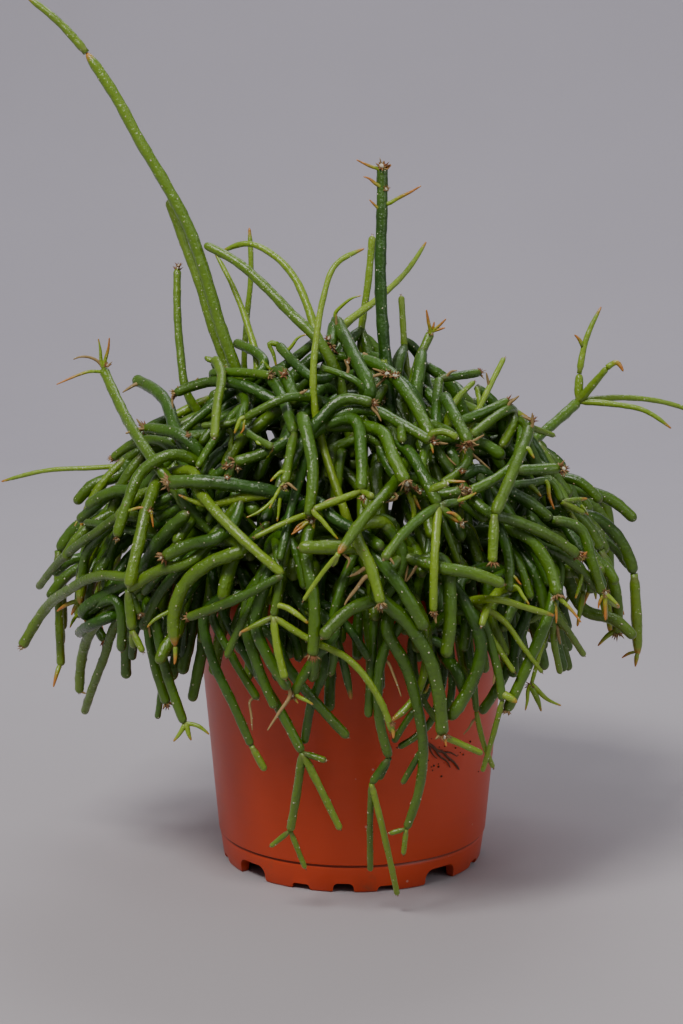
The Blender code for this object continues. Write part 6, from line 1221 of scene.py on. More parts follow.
def stem_skin(skin, rng, P, R, youth, tip, parent_r, tone, step=0.0015, sides=SIDES, areoles=True,
              taper=None, mat=0, dry=0.0, open_base=True):
    """One round stem: narrowed joint at its foot, slightly uneven girth, areoles, and its end."""
    dense, at = smooth_line(P, step)
    seg = np.linalg.norm(np.diff(dense, axis=0), axis=1)
    s = np.concatenate([[0], np.cumsum(seg)])
    L = s[-1]
    if L < 1e-4:
        return None
    R = np.asarray(R, float)
    rd = np.interp(at, np.arange(len(R)), R)
    r_end = float(rd[-1])
    cap = min(1.15 * r_end, L * 0.45)
    body = max(3, int(round((L - cap) / step)))
    stations = np.linspace(0, L - cap, body + 1)
    dome = L - cap + cap * np.sin(np.linspace(0, math.pi / 2, 6))[1:]
    stations = np.concatenate([stations, dome])
    line = np.stack([np.interp(stations, s, dense[:, k]) for k in range(3)], 1)
    r = np.interp(stations, s, rd)
    # wobble of the girth
    ph, ph2 = rng.uniform(0, 6.28, 2)
    lam = rng.uniform(0.008, 0.014)
    r = r * (1 + 0.035 * np.sin(stations / lam * 6.28 + ph) + 0.02 * np.sin(stations / (lam * 0.41) * 6.28 + ph2))
    # joint at the foot
    if parent_r > 0:
        x = (stations - parent_r * 0.9) / max(0.55 * r_end, 0.0006)
        r = r * (1 - 0.26 * np.where(x < 0, 1.0, np.exp(-x * x)))
    # taper of young growing points
    if taper:
        reach, low = taper
        x = np.clip((stations - (L - reach)) / reach, 0, 1)
        r = r * (1 - (1 - low) * x ** 1.5)
    u = np.clip((stations - (L - cap)) / cap, 0, 1)
    r = r * np.sqrt(np.clip(1 - u ** 2, 0, 1))
    t, nrm, side = frames(line)
    n = len(stations)
    ang = np.arange(sides) * 2 * math.pi / sides
    rr = np.repeat(r[:, None], sides, 1)
    spots = []
    if areoles and L > 0.006:
        gap = 0.0028 + 0.0008 * rng.rand()
        sa = (parent_r + 0.0022) + gap * rng.rand()
        th = rng.uniform(0, 6.28)
        while sa < L - cap * 0.8:
            spots.append((sa, th % (2 * math.pi)))
            sa += gap * rng.uniform(0.75, 1.25)
            th += 2.4 + rng.uniform(-0.35, 0.35)
        for sa, th in spots:
            ds = (stations - sa) / 0.0011
            da = (ang - th + math.pi) % (2 * math.pi) - math.pi
            near = np.abs(ds) < 2.5
            if near.any():
                rr[near] *= 1 + 0.075 * np.exp(-ds[near] ** 2)[:, None] * np.exp(-(da / 0.5) ** 2)[None, :]
    ring = (nrm[:, None, :] * np.cos(ang)[None, :, None] + side[:, None, :] * np.sin(ang)[None, :, None])
    V = line[:, None, :] + ring * rr[:, :, None]
    V = V[:-1].reshape(-1, 3)
    tip_p = line[-1]
    verts = np.concatenate([V, tip_p[None, :]])
    rows = n - 1
    faces = []
    for i in range(rows - 1):
        a = i * sides
        for k in range(sides):
            m = (k + 1) % sides
            faces.append((a + k, a + m, a + m + sides, a + k + sides))
    a = (rows - 1) * sides
    top = rows * sides
    for k in range(sides):
        faces.append((a + k, a + (k + 1) % sides, top))
    faces.append(tuple(range(sides - 1, -1, -1)))
    st = stations[:-1]
    if tip == "t":
        tipness = np.clip((st - (L - 0.0050)) / 0.0050, 0, 1) * 0.95
    elif tip == "o":
        tipness = np.clip((st - L * 0.15) / (L * 0.7), 0.05, 1)
    elif tip == "y":
        tipness = np.clip((st - (L - 0.0028)) / 0.0028, 0, 1) * 0.8
    else:
        tipness = np.zeros_like(st)
    yth = np.clip(youth + 0.16 * np.clip((st - L * 0.55) / (L * 0.45 + 1e-9), 0, 1) * (1 if youth < 0.7 else 0), 0, 1)
    scar = np.zeros_like(st)
    if parent_r > 0:
        scar = 0.75 * np.exp(-((st - parent_r * 1.02) / 0.0007) ** 2)
    if tip in ("w", "b", ""):
        scar = np.maximum(scar, (0.85 if tip == "w" else 0.45) * np.clip((st - (L - 0.0011)) / 0.0011, 0, 1))
    scar = np.maximum(scar, dry)

    def spread(x, last):
        return np.concatenate([np.repeat(x, sides), [last]])

    skin.add(verts, faces, mat, spread(yth, yth[-1]), spread(tipness, 1.0 if tip in ("t", "o", "y") else 0.0),
             tone, spread(scar, scar[-1]))
    # pads of wool on the areoles
    for sa, th in spots:
        p = np.array([np.interp(sa, s, dense[:, k]) for k in range(3)])
        j = min(n - 2, int(np.searchsorted(stations, sa)))
        ra = float(np.interp(sa, stations, r))
        out = nrm[j] * math.cos(th) + side[j] * math.sin(th)
        along = t[j]
        across = np.cross(out, along)
        size = rng.uniform(0.00024, 0.00040) * (0.8 if youth > 0.7 else 1.0)
        c = p + out * (ra * 1.065 - 0.00006)
        ring_v = [c + (along * math.cos(q) * 1.15 + across * math.sin(q)) * size - out * 0.00006 for q in np.arange(6) * math.pi / 3]
        skin.add(np.array(ring_v + [c + out * size * 0.62]),
                 [(k, (k + 1) % 6, 6) for k in range(6)] + [(5, 4, 3, 2, 1, 0)], 1)
    return dict(line=line, r=r, L=L, end=line[-1], dir=t[-1], r_end=r_end, stations=stations)


def cone(skin, base, d, length, radius, mat, sides=5, tone=0.5, youth=0.0, bend=None):
    d = d / (np.linalg.norm(d) + 1e-12)
    a = np.cross(d, (0.3, 0.5, 0.81))
    a /= np.linalg.norm(a) + 1e-12
    b = np.cross(d, a)
    bend = np.zeros(3) if bend is None else bend
    verts = []
    for z, q in ((0.0, 1.0), (0.35, 0.95), (0.75, 0.5)):
        for k in range(sides):
            g = 2 * math.pi * k / sides
            verts.append(base + d * length * z + bend * z * z + (a * math.cos(g) + b * math.sin(g)) * radius * q)
    verts.append(base + d * length + bend)
    faces = []
    for i in range(2):
        for k in range(sides):
            m = (k + 1) % sides
            faces.append((i * sides + k, i * sides + m, (i + 1) * sides + m, (i + 1) * sides + k))
    for k in range(sides):
        faces.append((2 * sides + k, 2 * sides + (k + 1) % sides, 3 * sides))
    faces.append(tuple(range(sides - 1, -1, -1)))
    skin.add(np.array(verts), faces, mat, youth, 0.0, tone, 0.0)


def bud_cluster(skin, rng, c, d, size, woolly=0.5):
    """Papery scales round a woolly crown, as at the end of a resting stem."""
    d = d / (np.linalg.norm(d) + 1e-12)
    a = np.cross(d, (0.3, 0.5, 0.81))
    a /= np.linalg.norm(a) + 1e-12
    b = np.cross(d, a)
    for k in range(3):
        g = rng.uniform(0, 6.28)
        q = c + (a * math.cos(g) + b * math.sin(g)) * size * 0.30 * k / 2 + d * size * 0.05
        cone(skin, q, d, size * 0.55, size * 0.42, 1 if rng.rand() < woolly else 2, 6)
    for k in range(13):
        g = 2 * math.pi * k / 13 + rng.uniform(-0.25, 0.25)
        lean = rng.uniform(0.45, 1.25)
        o = a * math.cos(g) + b * math.sin(g)
        q = c + o * size * 0.32 - d * size * 0.1
        cone(skin, q, d * math.cos(lean) + o * math.sin(lean), size * rng.uniform(0.80, 1.75), size * rng.uniform(0.15, 0.24),
             2 if rng.rand() < 0.75 else 3, 4, bend=-o * size * 0.12 * rng.rand())


def fill_crown(skins, built):
    """Short inner stems that fork from the trunks and close the crown from within."""
    rng = np.random.RandomState(77)
    spots, shoots, girth = [], [], []
    for res in built:
        inner = res["name"].startswith(("trunk", "P"))
        for i in range(2, len(res["line"]) - 1):
            p = res["line"][i]
            deep = math.hypot(p[0], p[1]) < 0.075 and p[2] > SOIL_TOP + 0.010
            if deep and (inner or p[1] > crown_y(*to_grid(p)) + 0.022):
                spots.append(p)
                shoots.append(res["shoot"])
                girth.append(res["r"][i])
    spots = np.array(spots)
    goals = []
    for n in range(250):                               # inner shell of the crown
        az = rng.uniform(-180, 180)
        e = math.radians(rng.uniform(-14, 78))
        a = math.radians(az)
        k = rng.uniform(0.66, 0.88)
        rz = 0.074 if e > 0 else 0.13
        q = np.array([CROWN_RX * math.cos(e) * math.sin(a), -CROWN_RY * math.cos(e) * math.cos(a), rz * math.sin(e)]) * k
        q[2] += CROWN_Z + 0.004
        goals.append((q, rng.uniform(0.010, 0.022), rng.uniform(0.4, 1.0)))
    for n in range(104):                               # skirt that hides the rim
        a = math.radians(-128 + 256 * (n + rng.uniform(-0.6, 0.6)) / 104.0) if n < 78 else math.radians(rng.uniform(125, 235))
        if n < 78:
            a = math.radians(-128 + 256 * (n + rng.uniform(-0.5, 0.5)) / 78.0)
        r = rng.uniform(0.0675, 0.0760)
        q = np.array([r * math.sin(a), -r * math.cos(a), rng.uniform(0.113, 0.131)])
        goals.append((q, rng.uniform(0.018, 0.040), 2.2))
    for q, droop, steep in goals:
        gx, gy = to_grid(q)
        for _ in range(60):
            if gy > crown_outline(gx) + 12:
                break
            q[2] -= 0.0012
            gx, gy = to_grid(q)
        if q[1] < -0.01:
            q[1] = max(q[1], crown_y(gx, gy) + 0.009)
        rho = math.hypot(q[0], q[1])
        d = np.linalg.norm(spots - q, axis=1)
        back = np.hypot(spots[:, 0], spots[:, 1]) < max(rho - 0.006, 0.012)
        cost = np.abs(d - 0.030) + np.where(back, 0, 0.05) + rng.uniform(0, 0.008, len(d))
        i = int(np.argmin(cost))
        base, shoot = spots[i], shoots[i]
        out = np.array([q[0], q[1], 0.0]) / max(rho, 1e-4)
        mid = base * 0.45 + q * 0.55 + np.array([0, 0, 0.006])
        knee = q + out * droop * 0.35 / steep + np.array([0, 0, -0.45 * droop * min(steep, 1.3)])
        end = q + out * droop * (0.62 / steep) + np.array([0, 0, -droop * min(1.0, 0.55 + 0.4 * steep)])
        if end[1] < -0.02 and steep < 2:
            ex, ey = to_grid(end)
            end[1] = max(end[1], crown_y(ex, ey) + 0.006)
        for p in (mid, q, knee, end):
            rr = math.hypot(p[0], p[1])
            need = wall_radius(p[2]) + 0.0032
            if p[2] < POT_HEIGHT + 0.003 and rr < need:
                p[0] *= need / rr
                p[1] *= need / rr
        r0 = rng.uniform(0.0020, 0.0025)
        line = [base, mid, q, knee, end]
        stem_skin(skins[shoot], rng, line, [r0 * 0.8, r0, r0, r0 * 0.97, r0 * 0.9], rng.uniform(0.0, 0.3),
                  rng.choice(["", "b", "w", ""]), girth[i], float(np.clip(rng.normal(0.3, 0.25), 0, 1)), step=0.0021, sides=9)


def build_shoots(plant):
    mats = [stem_material(), wool_material(), bud_material(), twig_material()]
    skins = {k: Skin() for k in sorted(set(s["shoot"] for s in plant.stems))}
    rng = np.random.RandomState(23)
    built = []
    for si, s in enumerate(plant.stems):
        P = [np.array(plant.pos[j]) for j in s["ids"]]
        R = list(s["radii"])
        front = s["front"]
        name = s["name"]
        tip, youth = s["tip"], s["youth"]
        R = [r * (1.10 if youth < 0.5 else 1.04) for r in R]
        parent_r = 0.0
        if s["parent"] >= 0:
            par = plant.stems[s["parent"]]
            where = par["ids"].index(s["ids"][0]) if s["ids"][0] in par["ids"] else len(par["ids"]) - 1
            parent_r = par["radii"][where]
            R[0] = min(R[0], parent_r * 0.98)
        if name.startswith("trunk"):
            root = P[0].copy()
            root[2] = SOIL_TOP - 0.004
            knee = P[0].copy()
            knee[2] = SOIL_TOP + 0.0012
            P = [root, knee] + P[1:]
            R = [R[0] * 1.05, R[0] * 1.05] + R[1:]
        leaf = not any(t["parent"] == si for t in plant.stems)
        if not front and leaf and not name.startswith("trunk"):
            tip = rng.choice(["t", "b", "w", "", "t"])
            if tip == "t":
                youth = min(0.8, youth + 0.25)
        taper = (0.007, 0.42) if tip == "t" else None
        tone = float(np.clip(rng.normal(0.45, 0.28), 0, 1))
        dry = 0.35 if name.startswith("trunk") else 0.0
        sides = SIDES if front else 12
        res = stem_skin(skins[s["shoot"]], rng, P, R, youth, tip, parent_r, tone,
                        step=0.0014 if front else 0.0019, sides=sides, taper=taper, dry=dry)
        if res is None:
            continue
        res.update(si=si, shoot=s["shoot"], front=front, name=name, leaf=leaf, tip=tip, youth=youth, tone=tone)
        built.append(res)
        sk = skins[s["shoot"]]
        if tip == "b":
            bud_cluster(sk, rng, res["end"] - res["dir"] * 0.0004, res["dir"], res["r_end"] * 1.05)
        elif tip == "w":
            c = res["end"] - res["dir"] * res["r_end"] * 0.12
            cone(sk, c - res["dir"] * 0.0003, res["dir"], 0.0007, res["r_end"] * 0.45, 1, 8)
            for q in range(4):
                d = res["dir"] + rng.normal(0, 0.5, 3)
                cone(sk, c, d, 0.0011, 0.00016, 2, 4)
        elif tip == "" and leaf and rng.rand() < 0.6:
            c = res["end"] - res["dir"] * 0.0003
            for q in range(3):
                d = res["dir"] + rng.normal(0, 0.6, 3)
                cone(sk, c, d, 0.0009, 0.00018, 1 if q else 2, 4)
        # hidden side: small new growth at the ends
        if not front and leaf and not name.startswith("trunk") and rng.rand() < 0.55:
            base = res["end"] - res["dir"] * res["r_end"] * 0.9
            for q in range(rng.randint(1, 4)):
                d = res["dir"] + rng.normal(0, 0.62, 3)
                d /= np.linalg.norm(d)
                ln = rng.uniform(0.0045, 0.0125)
                line = [base, base + d * ln * 0.5 + np.array([0, 0, ln * 0.05]), base + d * ln + np.array([0, 0, ln * 0.04 - 0.001])]
                kind = rng.choice(["y", "o", "y", "t"])
                r0 = rng.uniform(0.0007, 0.0011)
                stem_skin(sk, rng, line, [r0, r0 * 0.9, r0 * 0.6], 0.9, kind, res["r_end"] * 0.7, 0.5, step=0.0010, sides=8,
                          areoles=False, taper=(ln * 0.5, 0.5))
    fill_crown(skins, built)
    # samples of the drawn stems, for what grows on them
    gx, gy, yy, rr, who, dd, pp = [], [], [], [], [], [], []
    for k, res in enumerate(built):
        if not res["front"]:
            continue
        t = np.gradient(res["line"], axis=0)
        for i in range(0, len(res["line"]), 1):
            x, y = to_grid(res["line"][i])
            gx.append(x)
            gy.append(y)
            yy.append(res["line"][i][1])
            rr.append(res["r"][i])
            who.append(k)
            dd.append(t[i])
            pp.append(res["line"][i])
    gx, gy, yy, rr, who = map(np.array, (gx, gy, yy, rr, who))
    rp = rr / 0.00039

    def seat(x, y):
        d = np.hypot(gx - x, gy - y)
        near = d < rp + 2.5
        if near.any():
            i = int(np.argmin(np.where(near, yy, 9.0)))
        else:
            i = int(np.argmin(d))
        return i, float(d[i])

    for w0, w1, kind, line in SPROUTS:
        i, gap = seat(*line[0])
        res = built[who[i]]
        y0 = yy[i] + (-0.3 if kind in "yo" else 0.1) * rr[i]
        pts, run = [], 0.0
        if gap > 3:
            pts.append(np.array(pp[i]))
        for j, (x, y) in enumerate(line):
            if j:
                run += math.dist(line[j - 1], line[j]) * 0.00039
            pts.append(grid_point(x, y, y0 - 0.22 * run))
        rad = [0.58 * w * unit_to_m(y0) for w in np.linspace(w0, w1, len(pts))]
        youth = {"g": 0.55, "y": 0.95, "o": 0.9, "t": 0.8, "w": 0.5}[kind]
        form = {"g": "y", "y": "y", "o": "o", "t": "o", "w": "w"}[kind]
        sk = skins[res["shoot"]]
        length = sum(float(np.linalg.norm(b - a)) for a, b in zip(pts, pts[1:]))
        out = stem_skin(sk, rng, pts, rad, youth, form, rr[i] * 0.5, 0.6, step=0.0009, sides=10,
                        areoles=length > 0.008, taper=(length * 0.45, 0.55) if kind != "w" else None,
                        mat=3 if kind == "t" else 0)
        if out and kind == "w":
            cone(sk, out["end"] - out["dir"] * 0.0005, out["dir"], 0.0008, out["r_end"] * 0.55, 1, 8)
    for x, y, w in BUDS:
        i, gap = seat(x, y)
        res = built[who[i]]
        p = grid_point(x, y, yy[i] - rr[i] * 0.55)
        d = p - np.array(pp[i])
        if np.linalg.norm(d) < 1e-5:
            d = -grid_ray(x, y)
        d = d / np.linalg.norm(d) * 0.5 + np.array([0, -0.5, 0.25])
        bud_cluster(skins[res["shoot"]], rng, p, d, 0.74 * w * 0.00039)
    for k, sk in skins.items():
        node = "shoot_%02d" % (k + 1)
        ob = sk.make("stems_%02d" % (k + 1), mats)
        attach(ob, "root")
        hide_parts(node)
    return built


# ---------------------------------------------------------------- pot and soil
def add_mesh(name, verts, faces, material=None):
    me = bpy.data.meshes.new(name)
    me.from_pydata([tuple(map(float, v)) for v in verts], [], faces)
    me.validate()
    bm = bmesh.new()
    bm.from_mesh(me)
    bmesh.ops.recalc_face_normals(bm, faces=bm.faces)
    bm.to_mesh(me)
    bm.free()
    if material is not None:
        me.materials.append(material)
    ob = bpy.data.objects.new(name, me)
    bpy.context.scene.collection.objects.link(ob)
    return ob


def lathe(profile, count):
    verts, rows, faces = [], [], []
    for r, z in profile:
        if r < 1e-9:
            rows.append([len(verts)] * count)
            verts.append((0, 0, z))
        else:
            rows.append(list(range(len(verts), len(verts) + count)))
            for k in range(count):
                a = 2 * math.pi * k / count
                verts.append((r * math.cos(a), r * math.sin(a), z))
    n = len(rows)
    for i in range(n):
        a, b = rows[i], rows[(i + 1) % n]
        if a[0] == a[1] and b[0] == b[1]:
            continue
        for k in range(count):
            m = (k + 1) % count
            f = [a[k], a[m], b[m], b[k]]
            f = [v for j, v in enumerate(f) if v not in f[:j]]
            faces.append(tuple(f))
    return verts, faces


def prism(points, y0, y1, turn):
    n = len(points)
    verts, faces = [], []
    c, s = math.cos(turn), math.sin(turn)
    for y in (y0, y1):
        for x, z in points:
            verts.append((x * c - y * s, x * s + y * c, z))
    faces.append(tuple(range(n)))
    faces.append(tuple(range(2 * n - 1, n - 1, -1)))
    for k in range(n):
        m = (k + 1) % n
        faces.append((k, k + n, m + n, m))
    return verts, faces


def arc(cx, cz, r, a0, a1, n):
    return [(cx + r * math.cos(math.radians(a0 + (a1 - a0) * i / n)), cz + r * math.sin(math.radians(a0 + (a1 - a0) * i / n))) for i in range(n + 1)]


def build_fine_pot():
    h, t = POT_HEIGHT, POT_WALL
    collar = h - POT_COLLAR_HEIGHT
    F, B, T, C = POT_FOOT_RADIUS, POT_BASE_RADIUS, POT_TOP_RADIUS, POT_COLLAR_RADIUS
    profile = [(0.0, 0.0098), (F - 0.0060, 0.0098)]
    profile += arc(F - 0.0050, 0.0088, 0.0010, 90, 10, 3)
    profile += [(F - 0.0034, 0.0004), (F - 0.0031, 0.0)]
    profile += [(F - 0.0008, 0.0), (F - 0.0002, 0.0003), (F + 0.0002, 0.0010)]
    foot_out = F + 0.0013
    profile += [(foot_out, FOOT_HEIGHT - 0.0012), (foot_out - 0.0001, FOOT_HEIGHT - 0.0005),
                (B - 0.0011, FOOT_HEIGHT - 0.0001), (B - 0.0012, FOOT_HEIGHT + 0.0003),
                (B - 0.0006, FOOT_HEIGHT + 0.0006), (B - 0.0001, FOOT_HEIGHT + 0.0009), (B, FOOT_HEIGHT + 0.0016)]
    for i in range(1, 13):
        f = i / 12.0
        profile.append((B + (T - B) * f, FOOT_HEIGHT + 0.0016 + (collar - 0.0008 - FOOT_HEIGHT - 0.0016) * f))
    profile += [(T + 0.0003, collar - 0.0002), (C - 0.0009, collar + 0.0002), (C - 0.0003, collar + 0.0007), (C, collar + 0.0018)]
    profile += [(C, h - 0.0022)]
    profile += arc(C - 0.0010, h - 0.0010, 0.0010, 0, 180, 8)
    profile += [(C - 0.0021, h - 0.0020), (T - t + 0.0002, collar + 0.0005)]
    for i in range(0, 9):
        f = i / 8.0
        profile.append(((T - t) + (B - T) * f, collar - 0.0010 + (FLOOR_TOP + 0.0024 - collar + 0.0010) * f))
    profile += arc(B - t - 0.0022, FLOOR_TOP + 0.0020, 0.0020, -10, -90, 4)
    profile += [(0.0, FLOOR_TOP)]
    verts, faces = lathe(profile, 160)
    mat = pot_material()
    pot = add_mesh("pot_fine", verts, faces, mat)
    cuts = bpy.data.collections.new("pot_cuts")
    bpy.context.scene.collection.children.link(cuts)
    made = []

    def cut(v, f):
        o = add_mesh("pot_cut_%02d" % len(made), v, f)
        bpy.context.scene.collection.objects.unlink(o)
        cuts.objects.link(o)
        made.append(o)

    def notch(width, depth, angle):
        w = width / 2.0
        r = min(depth * 0.55, w * 0.6)
        pts = [(-w - 0.0012, -0.001), (w + 0.0012, -0.001), (w + 0.0004, 0.0002), (w, 0.0010)]
        pts += arc(w - r, depth - r, r, 0, 90, 6)
        pts += arc(-w + r, depth - r, r, 90, 180, 6)
        pts += [(-w, 0.0010), (-w - 0.0004, 0.0002)]
        cut(*prism(pts, 0.040, 0.060, math.radians(180 + angle)))

    for q in range(4):
        base = NOTCH_PHASE + 90.0 * q
        notch(0.0145, 0.0062, base - 45.0)
        notch(0.0078, 0.0037, base)
        notch(0.0070, 0.0024, base - 18.7)
        notch(0.0070, 0.0024, base + 18.7)
    for q in range(5):
        a = math.radians(72 * q + 10)
        r = 0.030
        n = 24
        ring = [(r * math.cos(a) + 0.0035 * math.cos(j * 2 * math.pi / n),
                 r * math.sin(a) + 0.0035 * math.sin(j * 2 * math.pi / n)) for j in range(n)]
        v = [(x, y, 0.008) for x, y in ring] + [(x, y, 0.0145) for x, y in ring]
        f = [tuple(range(n - 1, -1, -1)), tuple(range(n, 2 * n))]
        f += [(k, (k + 1) % n, n + (k + 1) % n, n + k) for k in range(n)]
        cut(v, f)
    mod = pot.modifiers.new("drainage", "BOOLEAN")
    mod.operation = "DIFFERENCE"
    mod.solver = "EXACT"
    mod.operand_type = "COLLECTION"
    mod.collection = cuts
    deps = bpy.context.evaluated_depsgraph_get()
    me = bpy.data.meshes.new_from_object(pot.evaluated_get(deps))
    old = pot.data
    pot.modifiers.clear()
    pot.data = me
    bpy.data.meshes.remove(old)
    for o in made:
        om = o.data
        bpy.data.objects.remove(o, do_unlink=True)
        bpy.data.meshes.remove(om)
    bpy.data.collections.remove(cuts)
    me.materials.clear()
    me.materials.append(mat)
    me.polygons.foreach_set("material_index", [0] * len(me.polygons))
    me.shade_smooth()
    me.set_sharp_from_angle(angle=math.radians(32))
    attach(pot, "root")
    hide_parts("pot")
    return pot


def build_fine_soil():
    rng = np.random.RandomState(9)
    mat = peat_material()

    def inner(z):
        f = (z - FOOT_HEIGHT) / (POT_HEIGHT - POT_COLLAR_HEIGHT - FOOT_HEIGHT)
        return POT_BASE_RADIUS + (POT_TOP_RADIUS - POT_BASE_RADIUS) * f - POT_WALL - GAP - 0.0004

    count = 96
    verts, faces = [(0, 0, FLOOR_TOP + GAP)], []
    rows = [(inner(FLOOR_TOP) - 0.0022, FLOOR_TOP + GAP, 0), (inner(0.016) - 0.0004, 0.0165, 0), (inner(0.06), 0.06, 0),
            (inner(SOIL_TOP - 0.003), SOIL_TOP - 0.0028, 0), (inner(SOIL_TOP) - 0.0008, SOIL_TOP - 0.0010, 0.5)]
    radii = np.linspace(inner(SOIL_TOP) - 0.0025, 0.0018, 26)
    rows += [(float(r), SOIL_TOP, 1.0) for r in radii]

    def lump(x, y):
        v = 0.0
        for k, (fx, fy, p) in enumerate(((190, 130, 0.3), (-160, 240, 1.7), (410, 330, 2.9), (-520, 460, 4.1), (900, -760, 5.3), (1300, 1120, 0.9))):
            v += math.sin(fx * x + fy * y + p) * (0.00045 / (1 + 0.45 * k))
        return v

    for r, z, w in rows:
        for k in range(count):
            a = 2 * math.pi * (k + (0.5 * (w > 0.9))) / count
            x, y = r * math.cos(a), r * math.sin(a)
            verts.append((x, y, z + w * (lump(x, y) + rng.uniform(-0.00035, 0.00035))))
    verts.append((0, 0, SOIL_TOP))
    top = len(verts) - 1
    for k in range(count):
        m = (k + 1) % count
        faces.append((0, 1 + m, 1 + k))
        for i in range(len(rows) - 1):
            a, b = 1 + i * count, 1 + (i + 1) * count
            faces.append((a + k, a + m, b + m, b + k))
        a = 1 + (len(rows) - 1) * count
        faces.append((a + k, a + m, top))
    # loose crumbs on the surface
    phi = (1 + 5 ** 0.5) / 2
    ico = np.array([(-1, phi, 0), (1, phi, 0), (-1, -phi, 0), (1, -phi, 0), (0, -1, phi), (0, 1, phi), (0, -1, -phi), (0, 1, -phi),
                    (phi, 0, -1), (phi, 0, 1), (-phi, 0, -1), (-phi, 0, 1)]) / math.sqrt(1 + phi * phi)
    icof = [(0, 11, 5), (0, 5, 1), (0, 1, 7), (0, 7, 10), (0, 10, 11), (1, 5, 9), (5, 11, 4), (11, 10, 2), (10, 7, 6), (7, 1, 8),
            (3, 9, 4), (3, 4, 2), (3, 2, 6), (3, 6, 8), (3, 8, 9), (4, 9, 5), (2, 4, 11), (6, 2, 10), (8, 6, 7), (9, 8, 1)]
    for q in range(900):
        r = inner(SOIL_TOP) * math.sqrt(rng.rand()) * 0.985 - 0.0008
        a = rng.uniform(0, 6.2832)
        x, y = r * math.cos(a), r * math.sin(a)
        size = rng.uniform(0.0005, 0.0014) if rng.rand() < 0.9 else rng.uniform(0.0014, 0.0024)
        stretch = rng.uniform(0.5, 1.3, 3)
        turn = rng.uniform(0, 3.14)
        c, s = math.cos(turn), math.sin(turn)
        p = ico * stretch * size * rng.uniform(0.75, 1.2, (12, 1))
        p = np.stack([p[:, 0] * c - p[:, 1] * s + x, p[:, 0] * s + p[:, 1] * c + y, p[:, 2] * 0.8 + SOIL_TOP + lump(x, y) + size * 0.25], 1)
        base = len(verts)
        verts += [tuple(v) for v in p]
        faces += [tuple(i + base for i in f) for f in icof]
    me = bpy.data.meshes.new("peat_fine")
    me.from_pydata([tuple(map(float, v)) for v in verts], [], faces)
    me.materials.append(mat)
    me.polygons.foreach_set("use_smooth", [True] * len(me.polygons))
    me.update()
    ob = bpy.data.objects.new("peat_fine", me)
    bpy.context.scene.collection.objects.link(ob)
    bm = bmesh.new()
    bm.from_mesh(me)
    bmesh.ops.recalc_face_normals(bm, faces=bm.faces)
    bm.to_mesh(me)
    bm.free()
    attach(ob, "root")
    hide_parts("soil")
    return ob


def wall_point(gx, gy, proud):
    """Point on the outside of the pot's wall on the sight line through a grid point."""
    y = -0.05
    for _ in range(20):
        p = grid_point(gx, gy, y)
        r = wall_radius(p[2]) + proud
        y = -math.sqrt(max(r * r - p[0] ** 2, 1e-8))
    return grid_point(gx, gy, y)


def build_root_scrap():
    """A dry rootlet and a few crumbs of peat that stick to the pot's wall."""
    mats = [root_material(), peat_material()]
    rng = np.random.RandomState(4)
    sk = Skin()
    lines = [
        (3.6, ((424, 741), (430, 744), (436, 749), (441, 750), (447, 756), (453, 761), (458, 768))),
        (2.2, ((434, 748), (439, 755), (446, 760), (449, 766))),
        (1.8, ((441, 751), (449, 751), (456, 755))),
        (1.6, ((428, 744), (431, 752), (436, 757))),
    ]
    for w, line in lines:
        pts = [wall_point(x, y, 0.00045) for x, y in line]
        rad = [0.5 * w * 0.00037 * f for f in np.linspace(1, 0.5, len(pts))]
        stem_skin(sk, rng, pts, rad, 0, "", 0, 0.5, step=0.0008, sides=7, areoles=False, mat=0)
    for q in range(26):
        x, y = 440 + rng.normal(0, 14), 755 + rng.normal(0, 9)
        p = wall_point(x, y, 0.00012)
        size = rng.uniform(0.00015, 0.00045)
        d = np.array([p[0], p[1], 0]) / math.hypot(p[0], p[1])
        cone(sk, p - d * 0.0002, d + rng.normal(0, 0.4, 3), size * 1.6, size, 1 if rng.rand() < 0.6 else 0, 6)
    ob = sk.make("root_scrap", mats)
    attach(ob, "root")
    return ob


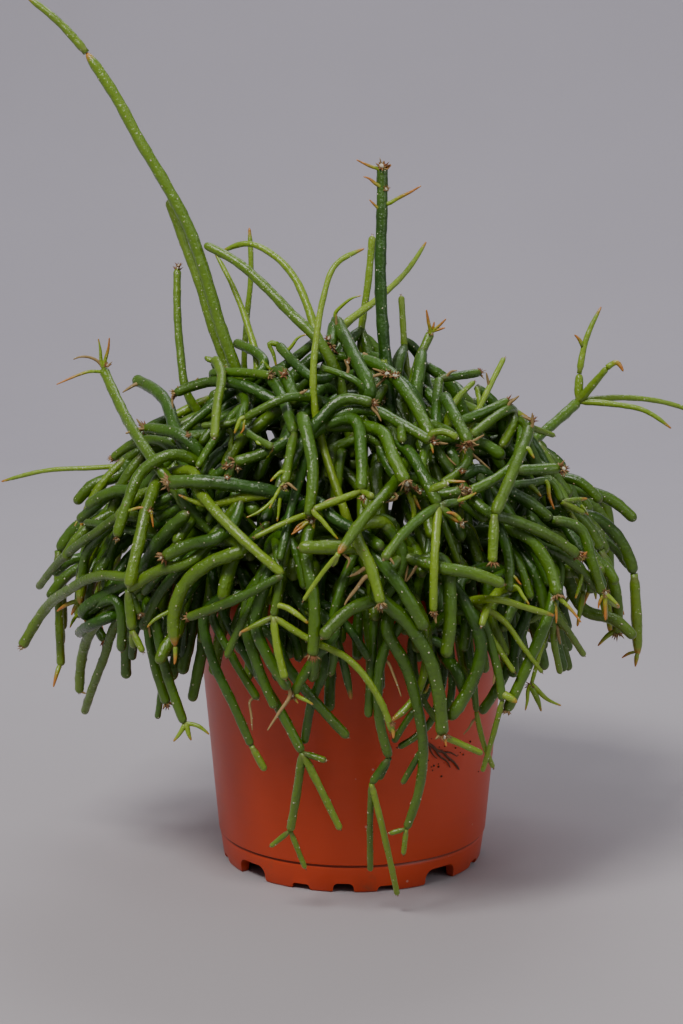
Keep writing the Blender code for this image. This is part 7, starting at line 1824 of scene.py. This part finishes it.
# ---------------------------------------------------------------- studio
def build_stage():
    rows = []
    for y in np.linspace(-2.2, 0.95, 12):
        rows.append((y, 0.0))
    rad = 0.85
    for i in range(1, 17):
        a = math.pi / 2 * i / 16
        rows.append((0.95 + rad * math.sin(a), rad * (1 - math.cos(a))))
    for z in (1.4, 2.2, 3.2):
        rows.append((0.95 + rad, z))
    verts, faces = [], []
    xs = np.linspace(-2.6, 2.6, 14)
    for y, z in rows:
        for x in xs:
            verts.append((x, y, z))
    w = len(xs)
    for i in range(len(rows) - 1):
        for k in range(w - 1):
            a = i * w + k
            faces.append((a, a + 1, a + 1 + w, a + w))
    me = bpy.data.meshes.new("studio_sweep")
    me.from_pydata([tuple(map(float, v)) for v in verts], [], faces)
    me.polygons.foreach_set("use_smooth", [True] * len(me.polygons))
    me.materials.append(paper_material())
    ob = bpy.data.objects.new("studio_sweep", me)
    bpy.context.scene.collection.objects.link(ob)


def area_light(name, loc, target, size, power, color):
    d = bpy.data.lights.new(name, "AREA")
    d.shape = "RECTANGLE"
    d.size, d.size_y = size
    d.energy = power
    d.color = color
    o = bpy.data.objects.new(name, d)
    bpy.context.scene.collection.objects.link(o)
    o.location = loc
    v = Vector(target) - Vector(loc)
    o.rotation_euler = v.to_track_quat("-Z", "Y").to_euler()
    return o


def build_lights():
    area_light("key_light", (-0.45, -0.80, 1.35), (0, 0, 0.13), (0.50, 0.40), 19.0, (1.0, 0.985, 0.95))
    area_light("fill_light", (1.3, -0.9, 0.9), (0, 0, 0.13), (0.8, 0.8), 4.5, (0.96, 0.97, 1.0))
    area_light("back_light", (0.3, 0.9, 1.6), (0, 0, 0.15), (0.9, 0.6), 10.0, (0.97, 0.97, 1.0))
    world = bpy.data.worlds.new("studio_world")
    world.use_nodes = True
    bg = world.node_tree.nodes["Background"]
    bg.inputs["Color"].default_value = (0.80, 0.80, 0.86, 1)
    bg.inputs["Strength"].default_value = 0.28
    bpy.context.scene.world = world


def build_camera():
    d = bpy.data.cameras.new("camera")
    d.sensor_fit = "VERTICAL"
    d.sensor_height = 36.0
    d.lens = GRID_REACH / 1024.0 * 36.0
    d.clip_start = 0.02
    o = bpy.data.objects.new("camera", d)
    bpy.context.scene.collection.objects.link(o)
    o.location = EYE
    o.rotation_euler = (math.pi / 2 - EYE_PITCH, 0, 0)
    bpy.context.scene.camera = o


build_camera()
build_lights()
build_stage()
plant = build_plant()
build_fine_pot()
build_fine_soil()
build_shoots(plant)
build_root_scrap()
bpy.context.view_layer.update()
